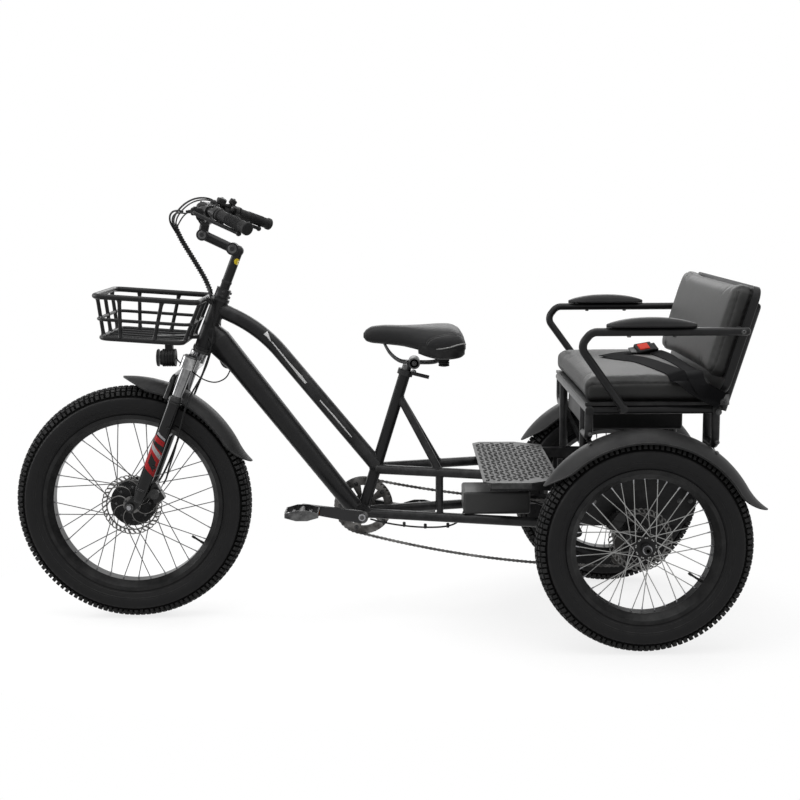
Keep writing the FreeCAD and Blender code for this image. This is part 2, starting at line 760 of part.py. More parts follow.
front_rim = fuse([rim(FRONT_AXLE, FRONT_BEAD_R)] + front_spokes)
parts["front_rim"] = front_rim.cut(disc(FRONT_AXLE, MOTOR_FLANGE_R + SEAT_GAP, MOTOR_WIDTH))
parts["front_disc"] = brake_disc(FRONT_AXLE - V(0, FRONT_DISC_Y, 0)).cut(
    disc(FRONT_AXLE, FRONT_AXLE_R + FLANGE_THICKNESS, FRONT_DISC_Y * 3))

# Rear wheels
for side, sign in SIDES:
    centre = V(WHEELBASE, sign * HALF_TRACK, REAR_TYRE_R)

    def on_axle(y):
        return V(WHEELBASE, sign * y, REAR_TYRE_R)

    parts["rear_tyre_" + side] = tyre(centre, REAR_TYRE_R, REAR_BEAD_R)
    wheel = [rim(centre, REAR_BEAD_R), disc(centre, HUB_R, HUB_WIDTH)]
    for s in (-1, 1):
        wheel.append(disc(centre + V(0, s * (HUB_WIDTH - FLANGE_THICKNESS) / 2, 0), HUB_FLANGE_R,
                          FLANGE_THICKNESS))
    wheel += spokes(centre, HUB_FLANGE_R - SPOKE_CIRCLE_INSET, (HUB_WIDTH - FLANGE_THICKNESS) / 2,
                    REAR_BEAD_R, REAR_SPOKE_LEAN)
    parts["rear_rim_" + side] = fuse(wheel).cut(disc(centre, HALF_AXLE_R + SEAT_GAP, HUB_WIDTH * 2))
    parts["rear_disc_" + side] = brake_disc(on_axle(REAR_DISC_Y)).cut(
        disc(centre, HALF_AXLE_R + SEAT_GAP, HALF_TRACK))
    hub_inner = HALF_TRACK - HUB_WIDTH / 2 - SEAT_GAP
    hub_outer = HALF_TRACK + HUB_WIDTH / 2 + SEAT_GAP
    axle_end = HALF_TRACK + AXLE_STUB
    shaft = rod(on_axle(DIFF_WIDTH / 2), on_axle(axle_end), HALF_AXLE_R)
    spacer = rod(on_axle(REAR_DISC_Y + DISC_THICKNESS / 2 + SEAT_GAP), on_axle(hub_inner), DISC_CARRIER_R)
    nut = rod(on_axle(hub_outer), on_axle(axle_end - AXLE_CAP_LENGTH / 2), AXLE_NUT_R)
    parts["rear_axle_" + side] = fuse([shaft, spacer, nut])

# Fork
legs = []
dropout_y = FORK_Y - DROPOUT_INSET
for s in (-1, 1):
    def on_leg(along):
        return steer_point(along, FORK_LEG_OFFSET, s * FORK_Y)

    foot = V(0, s * dropout_y, FRONT_TYRE_R)
    shoulder = on_leg(LEG_BORE_BOTTOM)
    legs.append(cone(on_leg(FORK_LEG_BOTTOM), shoulder, FORK_LEG_TIP, FORK_LEG_R))
    legs.append(rod(shoulder, on_leg(LEG_TOP), FORK_LEG_R))
    legs.append(rod(on_leg(LEG_TOP - SEAL_HEIGHT), on_leg(LEG_TOP), SEAL_R))
    web_top = steer_point(DROPOUT_REACH, FORK_LEG_OFFSET - DROPOUT_LEAN)
    web_top.y = foot.y
    legs.append(link_plate(foot, web_top, DROPOUT_R, DROPOUT_WIDTH / 2, DROPOUT_THICKNESS))
    nut_y = FORK_Y + AXLE_OVERHANG
    legs.append(rod(V(0, s * dropout_y, FRONT_TYRE_R), V(0, s * (nut_y - FRONT_AXLE_NUT_LENGTH / 2), FRONT_TYRE_R),
                    FRONT_AXLE_NUT_R))
arch_forward = FORK_LEG_OFFSET + ARCH_FORWARD
arch_low = LEG_TOP - ARCH_FOOT
arch_high = LEG_TOP + ARCH_RISE
arch_y = FORK_Y - ARCH_INSET
legs.append(tube_path([steer_point(arch_low, arch_forward, -FORK_Y), steer_point(arch_high, arch_forward, -arch_y),
                       steer_point(arch_high, arch_forward, arch_y), steer_point(arch_low, arch_forward, FORK_Y)],
                      ARCH_R, [ARCH_BEND, ARCH_BEND]))
axle_tip = V(0, FORK_Y + AXLE_OVERHANG, 0)
legs.append(rod(FRONT_AXLE - axle_tip, FRONT_AXLE + axle_tip, FRONT_AXLE_R))
fork_legs = fuse(legs)
crown_top = CROWN_BOTTOM + CROWN_HEIGHT
crown = []
for s in (-1, 1):
    low = steer_point(LEG_TOP - STANCHION_DEPTH, FORK_LEG_OFFSET, s * FORK_Y)
    high = steer_point(crown_top, FORK_LEG_OFFSET, s * FORK_Y)
    bore_bottom = steer_point(LEG_BORE_BOTTOM, FORK_LEG_OFFSET, s * FORK_Y)
    bore_top = steer_point(LEG_TOP + SEAL_HEIGHT, FORK_LEG_OFFSET, s * FORK_Y)
    fork_legs = fork_legs.cut(rod(bore_bottom, bore_top, STANCHION_R + SEAT_GAP))
    crown.append(rod(low, high, STANCHION_R))
    crown.append(rod(steer_point(CROWN_BOTTOM, FORK_LEG_OFFSET, s * FORK_Y), high, CROWN_BOSS_R))
parts["fork_legs"] = fork_legs
bridge = box(V(-CROWN_DEPTH / 2, -FORK_Y, 0), V(CROWN_DEPTH / 2, FORK_Y, CROWN_HEIGHT))
bridge.rotate(V(0, 0, 0), Y_AXIS, STEER_ANGLE)
bridge.translate(steer_point(CROWN_BOTTOM, FORK_LEG_OFFSET / 2))
steerer_foot = steer_point(CROWN_BOTTOM + CROWN_HEIGHT / 2)
crown += [bridge, rod(steerer_foot, steer_point(HEAD_TUBE_TOP + HEADSET_HEIGHT), STEERER_R),
          rod(steerer_foot, steer_point(HEAD_TUBE_BOTTOM - SEAT_GAP), CROWN_RACE_R)]
parts["fork_crown"] = fuse(crown)

# Stem and handlebar
stem_foot = HEAD_TUBE_TOP + HEADSET_HEIGHT + SEAT_GAP
collar_top = HEAD_TUBE_TOP + STEM_COLLAR_HEIGHT
pivot = V(PIVOT_X, 0, FRONT_TYRE_R + PIVOT_RISE)
knuckle = V(KNUCKLE_X, 0, FRONT_TYRE_R + KNUCKLE_RISE)
clamp = V(BAR_X, 0, FRONT_TYRE_R + BAR_RISE)
stem = fuse([rod(steer_point(stem_foot), steer_point(collar_top), STEM_COLLAR_R),
             rod(steer_point(collar_top), steer_point(RISER_TOP), RISER_R),
             disc(pivot, PIVOT_R, PIVOT_WIDTH), rod(steer_point(RISER_TOP), pivot, RISER_R),
             Part.makeSphere(RISER_ELBOW_R, steer_point(RISER_TOP)), rod(pivot, knuckle, STEM_ARM_R),
             disc(knuckle, KNUCKLE_R, KNUCKLE_WIDTH), rod(knuckle, clamp, STEM_ARM_R),
             disc(clamp, BAR_CLAMP_R, BAR_CLAMP_WIDTH)])
parts["stem"] = stem.cut(disc(clamp, BAR_R + SEAT_GAP, BAR_CLAMP_WIDTH * 2))


def bar_points(sign):
    """The bends of one half of the handlebar, from the middle out."""
    return [clamp, clamp + V(0, sign * BAR_FLAT, 0), clamp + V(BAR_KNEE_X, sign * BAR_KNEE_Y, BAR_KNEE_RISE),
            V(BAR_X + GRIP_INNER_X, sign * GRIP_INNER_Y, clamp.z + GRIP_INNER_RISE),
            V(BAR_X + GRIP_OUTER_X, sign * GRIP_OUTER_Y, clamp.z - GRIP_OUTER_DROP)]


parts["handlebar"] = fuse([tube_path(bar_points(s), BAR_R, [BAR_BEND] * 3) for s in (-1, 1)])
grips = []
controls = []
perch_fronts = {}
for s in (-1, 1):
    points = bar_points(s)
    along = (points[4] - points[3]).normalize()
    inner = points[3] + along * GRIP_START
    outer = points[4] + along * RIM_WALL
    sleeve = fuse([rod(inner, outer, GRIP_R), rod(inner, inner + along * GRIP_FLANGE_LENGTH, GRIP_FLANGE_R),
                   rod(outer - along * GRIP_FLANGE_LENGTH, outer, GRIP_FLANGE_R)])
    grips.append(sleeve.cut(rod(points[3], points[4] + along * SEAT_GAP, BAR_R + SEAT_GAP)))
    # brake lever: clamp ring on the bar, perch ahead of it and a long blade beside the grip
    lean = (points[3] - points[2]).normalize()
    ring_middle = points[2] + (points[3] - points[2]) * 0.5
    ring = rod(ring_middle - lean * (CLAMP_RING_LENGTH / 2), ring_middle + lean * (CLAMP_RING_LENGTH / 2),
               CLAMP_RING_R)
    perch = ring_middle + V(-LEVER_PERCH_FORWARD / 2, -s * LEVER_PERCH_WIDTH / 4, 0)
    perch_fronts[s] = perch - V(LEVER_PERCH_FORWARD / 2, 0, 0)
    body = rounded(block(perch, LEVER_PERCH_FORWARD, LEVER_PERCH_WIDTH, LEVER_PERCH_HEIGHT), LEVER_BLADE_R)
    knee = perch + V(-LEVER_PERCH_FORWARD / 4, s * LEVER_PERCH_WIDTH, -LEVER_DROP / 4)
    tip = perch + V(LEVER_TIP_X, s * LEVER_TIP_Y, -LEVER_TIP_DROP)
    blade = tube_path([perch + V(-LEVER_PERCH_FORWARD / 4, 0, 0), knee, tip], LEVER_BLADE_R, [LEVER_BLADE_R * 2])
    lever = fuse([ring, body, blade, Part.makeSphere(LEVER_TIP_R, tip)])
    controls.append(lever.cut(rod(points[2], points[3], BAR_R + SEAT_GAP)))
parts["grips"] = Part.makeCompound(grips)
display_foot = clamp + V(0, DISPLAY_Y, 0)
display = block(V(0, 0, 0), DISPLAY_DEPTH, DISPLAY_WIDTH, DISPLAY_THICKNESS)
display = display.makeFillet(DISPLAY_THICKNESS / 4, display.Edges)
display.rotate(V(0, 0, 0), Y_AXIS, DISPLAY_TILT)
display.translate(display_foot + V(DISPLAY_BACK, 0, DISPLAY_RISE))
mount = fuse([display, rod(display_foot, display_foot + V(DISPLAY_BACK, 0, DISPLAY_RISE), DISPLAY_POST / 2),
              disc(display_foot, CLAMP_RING_R, CLAMP_RING_LENGTH)])
controls.append(mount.cut(disc(clamp, BAR_R + SEAT_GAP, GRIP_OUTER_Y)))
controls = [c.cut(parts["stem"]).cut(parts["handlebar"]) for c in controls]
parts["hand_controls"] = Part.makeCompound([max(c.Solids, key=lambda piece: piece.Volume) for c in controls])
bundle_end = steer_point(BUNDLE_END, STEM_COLLAR_R + BUNDLE_R + SEAT_GAP)
lines = [cable([V(*point) for point in BUNDLE_ROUTE] + [bundle_end], BUNDLE_R)]
for s, route in ((-1, LEFT_HOSE_ROUTE), (1, RIGHT_HOSE_ROUTE)):
    lines.append(cable([perch_fronts[s]] + [V(*point) for point in route], CABLE_R))
parts["control_cables"] = fuse(lines).cut(parts["hand_controls"])

# Front fender and brake caliper
fender_centre = FRONT_AXLE + V(-FRONT_FENDER_SHIFT_X, 0, FRONT_FENDER_SHIFT_Z)
front_crown = FRONT_TYRE_R + FRONT_FENDER_GAP
arch_middle = steer_point(arch_high, arch_forward)
to_arch = (arch_middle - fender_centre).normalize()
stud = rod(fender_centre + to_arch * (front_crown + FENDER_THICKNESS / 2),
           arch_middle - to_arch * (ARCH_R + SEAT_GAP), FENDER_STUD_R)
parts["front_fender"] = fender(fender_centre, front_crown, FRONT_FENDER_START, FRONT_FENDER_END,
                               FRONT_FENDER_TAIL).fuse(stud)
front_caliper = caliper(FRONT_AXLE, -FRONT_DISC_Y, FRONT_CALIPER_ANGLE, -1)
arms = []
arm_y = -FRONT_DISC_Y - DISC_THICKNESS / 2 - MOVING_GAP - CALIPER_WALL
reach = DISC_R - DISC_BAND / 2
for way in (-1, 1):
    angle = math.radians(FRONT_CALIPER_ANGLE)
    out = V(math.cos(angle), 0, math.sin(angle))
    turn = V(-math.sin(angle), 0, math.cos(angle))
    start = FRONT_AXLE + out * reach + turn * (way * (CALIPER_LENGTH - CALIPER_ARM_WIDTH) / 2)
    start.y = arm_y
    leg_foot = steer_point((start - STEER_FOOT).dot(STEER_UP), FORK_LEG_OFFSET)
    leg_foot.y = arm_y
    arms.append(link_plate(start, leg_foot, CALIPER_ARM_WIDTH / 2, CALIPER_ARM_WIDTH / 2, CALIPER_WALL * 2))
solid_leg = rod(steer_point(0, FORK_LEG_OFFSET, -FORK_Y), steer_point(LEG_TOP, FORK_LEG_OFFSET, -FORK_Y),
                FORK_LEG_R + SEAT_GAP)
disc_room = disc(FRONT_AXLE - V(0, FRONT_DISC_Y, 0), DISC_R + MOVING_GAP, DISC_THICKNESS + MOVING_GAP * 2)
beyond_leg = rod(steer_point(0, FORK_LEG_OFFSET + FORK_LEG_R, -FORK_Y),
                 steer_point(LEG_TOP, FORK_LEG_OFFSET + FORK_LEG_R, -FORK_Y), FORK_LEG_R)
parts["front_caliper"] = fuse([front_caliper] + arms).cut(solid_leg).cut(beyond_leg).cut(disc_room).cut(fork_legs)

# Main frame
bb = V(BB_X, 0, BB_Z)
seat_top = V(SEAT_TUBE_TOP_X, 0, SEAT_TUBE_TOP_Z)
post_direction = (seat_top - bb).normalize()
post_r = SEAT_TUBE_R - SEAT_TUBE_WALL
bore = rod(steer_point(HEAD_TUBE_BOTTOM - HEADSET_HEIGHT), steer_point(HEAD_TUBE_TOP + HEADSET_HEIGHT * 2),
           STEERER_R + RUNNING_GAP)
head_tube = fuse([rod(steer_point(HEAD_TUBE_BOTTOM), steer_point(HEAD_TUBE_TOP + HEADSET_HEIGHT), HEAD_TUBE_R),
                  rod(steer_point(HEAD_TUBE_BOTTOM), steer_point(HEAD_TUBE_BOTTOM + HEADSET_HEIGHT), HEADSET_R),
                  rod(steer_point(HEAD_TUBE_TOP), steer_point(HEAD_TUBE_TOP + HEADSET_HEIGHT), HEADSET_R)])
head_solid = head_tube.copy()
parts["head_tube"] = head_tube.cut(bore)
shell = disc(bb, BB_SHELL_R, BB_SHELL_WIDTH)
seat_solid = fuse([rod(bb, seat_top, SEAT_TUBE_R), shell])
collar = rod(seat_top - post_direction * SEAT_CLAMP_HEIGHT, seat_top + post_direction * SEAT_GAP, SEAT_CLAMP_R)
lever_start = seat_top - post_direction * (SEAT_CLAMP_HEIGHT / 2) + V(SEAT_CLAMP_R, 0, 0)
lever_side = lever_start - V(0, SEAT_CLAMP_R + SEAT_LEVER_R, 0)
quick_lever = fuse([rod(lever_start + V(0, SEAT_CLAMP_R, 0), lever_side, SEAT_LEVER_R),
                    rod(lever_side, lever_side + V(SEAT_LEVER_LENGTH, 0, -SEAT_LEVER_LENGTH / 4), SEAT_LEVER_R)])
seat_tube = fuse([seat_solid, collar, quick_lever]).cut(disc(bb, SPINDLE_R + RUNNING_GAP, BB_SHELL_WIDTH * 2))
parts["seat_tube"] = seat_tube.cut(rod(seat_top - post_direction * (SEAT_POST_DEPTH + SEAT_CLAMP_HEIGHT),
                                       seat_top + post_direction * SEAT_CLAMP_R, post_r + SEAT_GAP))
down_head = steer_point(HEAD_TUBE_BOTTOM + DOWN_TUBE_HEAD)
down_foot = bb - V(DOWN_TUBE_FOOT_X, 0, DOWN_TUBE_FOOT_Z)
down_axis = (down_foot - down_head).normalize()
neck = down_head + down_axis * DOWN_TUBE_NECK
gusset_foot = down_head + (down_foot - down_head) * GUSSET_SHARE
down_tube = fuse([cone(down_head, neck, HEAD_TUBE_R, DOWN_TUBE_TOP_R),
                  cone(neck, down_foot, DOWN_TUBE_TOP_R, DOWN_TUBE_BOTTOM_R),
                  cone(steer_point(HEAD_TUBE_BOTTOM + GUSSET_HEAD), gusset_foot, HEAD_TUBE_R - RIM_WALL, GUSSET_R)])
race_room = rod(steer_point(CROWN_BOTTOM), steer_point(HEAD_TUBE_TOP), HEAD_TUBE_R)
parts["down_tube"] = down_tube.cut(seat_solid).cut(head_solid).cut(race_room)
top_path = [steer_point(HEAD_TUBE_TOP - TOP_TUBE_HEAD), V(TOP_TUBE_BEND_X, 0, FRONT_TYRE_R + TOP_TUBE_BEND_RISE),
            bb + (seat_top - bb) * TOP_TUBE_SEAT_SHARE]
top_tube = tube_path(top_path, TOP_TUBE_R, [TOP_TUBE_BEND_R])
parts["top_tube"] = top_tube.cut(seat_solid).cut(head_solid).cut(parts["down_tube"])


def rail_y(front_x, x):
    """Half the spread of a pair of rails at a place along them."""
    return RAIL_FRONT_Y + (RAIL_REAR_Y - RAIL_FRONT_Y) * (x - front_x) / (RAIL_END_X - front_x)


def rail(sign, front_x, end_x, z, radius):
    """One of a pair of rails that spread from the seat tube to the rear subframe."""
    return rod(V(front_x, sign * RAIL_FRONT_Y, z), V(end_x, sign * rail_y(front_x, end_x), z), radius)


lower_bar_x = WHEELBASE - LOWER_CROSSBAR_X
lower_end_x = lower_bar_x - LOWER_CROSSBAR_R
rails = []
lower = []
posts = []
struts = []
for s in (-1, 1):
    half_space = box(V(0, SEAT_GAP, -WHEELBASE), V(WHEELBASE * 2, WHEELBASE, WHEELBASE * 2))
    if s < 0:
        half_space.translate(V(0, -WHEELBASE - SEAT_GAP, 0))
    upper_rail = rail(s, UPPER_RAIL_X, RAIL_END_X, SUBFRAME_Z, RAIL_R)
    lower_rail = rail(s, BB_X, lower_end_x, LOWER_RAIL_Z, RAIL_R)
    rails.append(upper_rail.cut(seat_solid).cut(parts["top_tube"]).common(half_space))
    lower.append(lower_rail.cut(seat_solid).cut(parts["down_tube"]).common(half_space))
    foot = V(STRUT_FOOT_X, s * rail_y(UPPER_RAIL_X, STRUT_FOOT_X), SUBFRAME_Z)
    low_foot = V(STRUT_FOOT_X, s * rail_y(BB_X, STRUT_FOOT_X), LOWER_RAIL_Z)
    strut = rod(bb + (seat_top - bb) * STRUT_SHARE, foot, STRUT_R).cut(seat_solid).common(half_space)
    struts.append(strut.cut(upper_rail))
    posts.append(rod(low_foot, foot, POST_R).cut(upper_rail).cut(lower_rail))
parts["upper_rails"] = Part.makeCompound(rails)
parts["lower_rails"] = Part.makeCompound(lower)
parts["seat_struts"] = Part.makeCompound(struts)
parts["rail_posts"] = Part.makeCompound(posts)

# Rear subframe
half_tube = SUBFRAME_TUBE / 2
front_x = WHEELBASE - SUBFRAME_FRONT_X
rear_x = WHEELBASE + SUBFRAME_REAR_X
plate_front = WHEELBASE - PLATE_FRONT_X
plate_rear = WHEELBASE + PLATE_REAR_X
plate_low = REAR_TYRE_R + PLATE_RISE
sides = []
bearings = []
for s in (-1, 1):
    y = s * SUBFRAME_Y
    at_axle = V(WHEELBASE, y, REAR_TYRE_R)
    side = box(V(front_x, y - half_tube, SUBFRAME_Z - half_tube), V(rear_x, y + half_tube, SUBFRAME_Z + half_tube))
    lug_r = BEARING_R + BEARING_COLLAR
    plate = prism([V(plate_front, y, SUBFRAME_Z), V(plate_rear, y, SUBFRAME_Z),
                   V(plate_rear, y, plate_low + PLATE_CORNER), V(plate_rear - PLATE_CORNER, y, plate_low),
                   V(WHEELBASE + lug_r * 2, y, plate_low), V(WHEELBASE + lug_r, y, REAR_TYRE_R),
                   V(WHEELBASE - lug_r, y, REAR_TYRE_R), V(WHEELBASE - lug_r * 2, y, plate_low),
                   V(plate_front, y, plate_low)], PLATE_THICKNESS)
    side = fuse([side, plate, disc(at_axle, lug_r, PLATE_THICKNESS)])
    sides.append(side.cut(disc(at_axle, BEARING_R + SEAT_GAP, SUBFRAME_TUBE * 2)))
    bearing = fuse([disc(at_axle, BEARING_R, BEARING_WIDTH),
                    disc(at_axle, BEARING_COLLAR_R, BEARING_WIDTH + BEARING_COLLAR * 2)])
    bearings.append(bearing.cut(disc(at_axle, HALF_AXLE_R + RUNNING_GAP, BEARING_WIDTH * 4)))
parts["subframe_sides"] = Part.makeCompound(sides)
parts["axle_bearings"] = Part.makeCompound(bearings)
bars = []
bar_y = SUBFRAME_Y - half_tube - SEAT_GAP
for x in (front_x + half_tube, RAIL_END_X + half_tube + SEAT_GAP, rear_x - half_tube):
    bar = box(V(x - half_tube, -bar_y, SUBFRAME_Z - half_tube), V(x + half_tube, bar_y, SUBFRAME_Z + half_tube))
    for s in (-1, 1):
        bar = bar.cut(rail(s, UPPER_RAIL_X, RAIL_END_X, SUBFRAME_Z, RAIL_R))
    bars.append(bar)
plate_y = SUBFRAME_Y - PLATE_THICKNESS / 2 - SEAT_GAP
lower_bar_z = REAR_TYRE_R + LOWER_CROSSBAR_RISE
lower_bar = rod(V(lower_bar_x, -plate_y, lower_bar_z), V(lower_bar_x, plate_y, lower_bar_z), LOWER_CROSSBAR_R)
for s in (-1, 1):
    foot_low = V(lower_bar_x, s * (plate_y - PLATE_CORNER), lower_bar_z)
    foot_high = V(lower_bar_x, s * (plate_y - PLATE_CORNER), SUBFRAME_Z)
    lower_bar = lower_bar.fuse(rod(foot_low, foot_high - V(0, 0, half_tube + SEAT_GAP), POST_R))
    lower_bar = lower_bar.cut(rail(s, BB_X, lower_end_x, LOWER_RAIL_Z, RAIL_R))
bars.append(lower_bar)
parts["subframe_crossbars"] = Part.makeCompound(bars)

# Differential and derailleur
rear_axle = V(WHEELBASE, 0, REAR_TYRE_R)


def pitch_r(teeth):
    """The radius at which a chain's pins run round a sprocket."""
    return CHAIN_PITCH / 2 / math.sin(math.pi / teeth)


def sprocket_r(teeth):
    """The radius of a sprocket's solid body, inside the chain."""
    return pitch_r(teeth) - CHAIN_PLATE_HEIGHT / 2 - TOOTH_CLEARANCE


cog_y = CHAIN_Y + COG_THICKNESS * 2
neck_y = max(DIFF_WIDTH / 2 + BEARING_WIDTH, cog_y)
diff = [disc(rear_axle, DIFF_R, DIFF_WIDTH), disc(rear_axle, DIFF_R - RIM_WALL * 2, DIFF_WIDTH + RIM_WALL * 4),
        disc(rear_axle, DIFF_NECK_R, neck_y * 2)]
for step in range(3):
    cog_r = sprocket_r(COG_TEETH) + BIG_COG_STEP * step
    diff.append(disc(rear_axle + V(0, CHAIN_Y - COG_SPACING * step, 0), cog_r, COG_THICKNESS))
parts["differential"] = fuse(diff).cut(disc(rear_axle, HALF_AXLE_R + RUNNING_GAP, neck_y * 3))
guide = rear_axle + V(GUIDE_PULLEY_X, CHAIN_Y, -GUIDE_PULLEY_DROP)
tension = rear_axle + V(-TENSION_PULLEY_X, CHAIN_Y, -TENSION_PULLEY_DROP)
changer = [disc(guide, sprocket_r(PULLEY_TEETH), PULLEY_WIDTH), disc(tension, sprocket_r(PULLEY_TEETH), PULLEY_WIDTH)]
for way in (-1, 1):
    shift = V(0, way * CAGE_OFFSET, 0)
    changer.append(link_plate(guide + shift, tension + shift, CAGE_R, CAGE_R, CAGE_THICKNESS))
    changer += [rod(guide, guide + shift, PULLEY_PIN_R), rod(tension, tension + shift, PULLEY_PIN_R)]
hanger_y = V(0, CHAIN_Y - DIFF_WIDTH / 4, 0)
changer += [rod(guide - V(0, CAGE_OFFSET, 0), guide - hanger_y, CAGE_R / 2),
            rod(guide - hanger_y, rear_axle + V(0, DIFF_WIDTH / 4, -DIFF_R / 2), CAGE_R / 2)]
parts["derailleur"] = fuse(changer).cut(disc(rear_axle, DIFF_R + SEAT_GAP, DIFF_WIDTH * 2))

# Footplate and controller box
half = FOOTPLATE_WIDTH / 2
rear_half = FOOTPLATE_REAR_WIDTH / 2
corner = FOOTPLATE_CORNER
plate_front_x = WHEELBASE - FOOTPLATE_FRONT_X
plate_rear_x = WHEELBASE - FOOTPLATE_REAR_X
side_x = WHEELBASE - REAR_TYRE_R - FOOTPLATE_TYRE_GAP
outline = [V(plate_front_x, -half + corner, 0), V(plate_front_x, half - corner, 0),
           V(plate_front_x + corner, half, 0), V(side_x, half, 0), V(plate_rear_x, rear_half, 0),
           V(plate_rear_x, -rear_half, 0), V(side_x, -half, 0), V(plate_front_x + corner, -half, 0)]
outline.append(outline[0])
plate = Part.Face(Part.makePolygon(outline)).extrude(V(0, 0, FOOTPLATE_THICKNESS))
plate = [plate]
for s in (-1, 1):
    low = V(plate_front_x + corner, s * half - FOOTPLATE_LIP / 2, -FOOTPLATE_LIP_HEIGHT)
    lip = box(low, V(side_x, s * half + FOOTPLATE_LIP / 2, FOOTPLATE_THICKNESS))
    lip.translate(V(0, -s * FOOTPLATE_LIP / 2, 0))
    plate.append(lip)
footplate = fuse(plate)
footplate.translate(V(0, 0, FOOTPLATE_Z))
parts["footplate"] = footplate
box_low = V(WHEELBASE - BOX_FRONT_X, -BOX_NEAR_Y, LOWER_RAIL_Z + RAIL_R + SEAT_GAP)
controller = box(box_low, V(WHEELBASE - BOX_REAR_X, BOX_FAR_Y, box_low.z + BOX_HEIGHT))
parts["controller_box"] = rounded(controller, BOX_ROUNDING)

# Bench seat
bench_front = WHEELBASE - BENCH_FRONT_X
bench_rear = WHEELBASE + BENCH_REAR_X
bench_top = BENCH_Z + BENCH_THICKNESS
parts["seat_cushion"] = rounded(box(V(bench_front, -BENCH_Y, BENCH_Z), V(bench_rear, BENCH_Y, bench_top)),
                                CUSHION_ROUNDING)
board = box(V(bench_front + BOARD_INSET, -BENCH_Y + BOARD_INSET, BOARD_Z),
            V(bench_rear - BOARD_INSET, BENCH_Y - BOARD_INSET, BOARD_Z + BOARD_THICKNESS))
parts["seat_board"] = board
cross_x = (WHEELBASE - FRONT_CROSS_X, WHEELBASE + REAR_CROSS_X)
frame_tubes = []
for x in cross_x:
    frame_tubes.append(rod(V(x, -BENCH_Y, SEAT_RAIL_Z), V(x, BENCH_Y, SEAT_RAIL_Z), SEAT_RAIL_R))
for s in (-1, 1):
    frame_tubes.append(rod(V(cross_x[0], s * SIDE_RAIL_Y, SEAT_RAIL_Z), V(cross_x[1], s * SIDE_RAIL_Y, SEAT_RAIL_Z),
                           SIDE_RAIL_R))
parts["seat_cross_tubes"] = fuse(frame_tubes)
fender_crown = REAR_TYRE_R + FENDER_GAP
fender_top = fender_crown + FENDER_THICKNESS
legs = []
stays = []
rear_fenders = {}
for side, sign in SIDES:
    rear_fenders[side] = fender(V(WHEELBASE, sign * HALF_TRACK, REAR_TYRE_R), fender_crown, REAR_FENDER_START,
                                REAR_FENDER_END, REAR_FENDER_TAIL)
    parts["rear_fender_" + side] = rear_fenders[side]
    for index in (0, 1):
        x = cross_x[index]
        lift = fender_top * math.sin(math.acos(min(abs(x - WHEELBASE) / fender_top, 1)))
        foot_z = REAR_TYRE_R + lift + LEG_FOOT_GAP + LEG_R
        inner_y = sign * SUBFRAME_Y
        outer_y = sign * SIDE_RAIL_Y
        rail_z = SEAT_RAIL_Z - SEAT_RAIL_R / 2
        leg = [rod(V(x, inner_y, SUBFRAME_Z + half_tube + SEAT_GAP), V(x, inner_y, rail_z), SEAT_RAIL_R),
               tube_path([V(x, outer_y, rail_z), V(x, outer_y, foot_z), V(x, inner_y, foot_z)], LEG_R, [LEG_BEND])]
        if index == 0:
            leg.append(rod(V(x, inner_y, foot_z), V(x + BRACE_RUN, inner_y, SUBFRAME_Z), BRACE_R))
        leg = fuse(leg).cut(parts["seat_cross_tubes"]).cut(parts["subframe_sides"])
        legs.append(leg.cut(rear_fenders[side]))
        edge_r = fender_crown - FENDER_DROP + BRACE_R
        stay_x = x + SEAT_RAIL_R * (1 if index == 0 else -1)
        stay_lift = edge_r * math.sin(math.acos(min(abs(stay_x - WHEELBASE) / edge_r, 1)))
        stay_z = REAR_TYRE_R + stay_lift
        stay = rod(V(stay_x, inner_y, stay_z), V(stay_x, sign * (HALF_TRACK - FENDER_WIDTH / 2), stay_z), STAY_R)
        stays.append(stay.cut(legs[-1]).cut(rear_fenders[side]))
parts["seat_legs"] = Part.makeCompound(legs)
parts["fender_stays"] = Part.makeCompound(stays)
box_top = BOARD_Z - SEAT_RAIL_R * 2 - SEAT_BOX_DROP
low = V(WHEELBASE - SEAT_BOX_FRONT_X, -SEAT_BOX_WIDTH / 2, box_top - SEAT_BOX_HEIGHT)
seat_box = [rounded(box(low, V(WHEELBASE + SEAT_BOX_REAR_X, SEAT_BOX_WIDTH / 2, box_top)), BOX_ROUNDING)]
for x_way in (-1, 1):
    for y_way in (-1, 1):
        x = WHEELBASE + x_way * SEAT_BOX_REAR_X * SEAT_BOX_STRAP_SHARE
        y = y_way * (SEAT_BOX_WIDTH / 2 - SEAT_BOX_STRAP)
        seat_box.append(box(V(x - SEAT_BOX_STRAP / 2, y - SEAT_BOX_STRAP_THICKNESS, box_top - SEAT_BOX_STRAP),
                            V(x + SEAT_BOX_STRAP / 2, y, BOARD_Z - SEAT_GAP)))
parts["under_seat_box"] = fuse(seat_box)

# Backrest
back_foot = V(WHEELBASE + BACK_FOOT_X, 0, BENCH_Z + BACK_FOOT_RISE)
back_y = BACK_WIDTH / 2


def lean_back(shape):
    """Turns a piece modelled upright at the origin into the backrest's place."""
    shape.rotate(V(0, 0, 0), Y_AXIS, BACK_ANGLE)
    shape.translate(back_foot)
    return shape


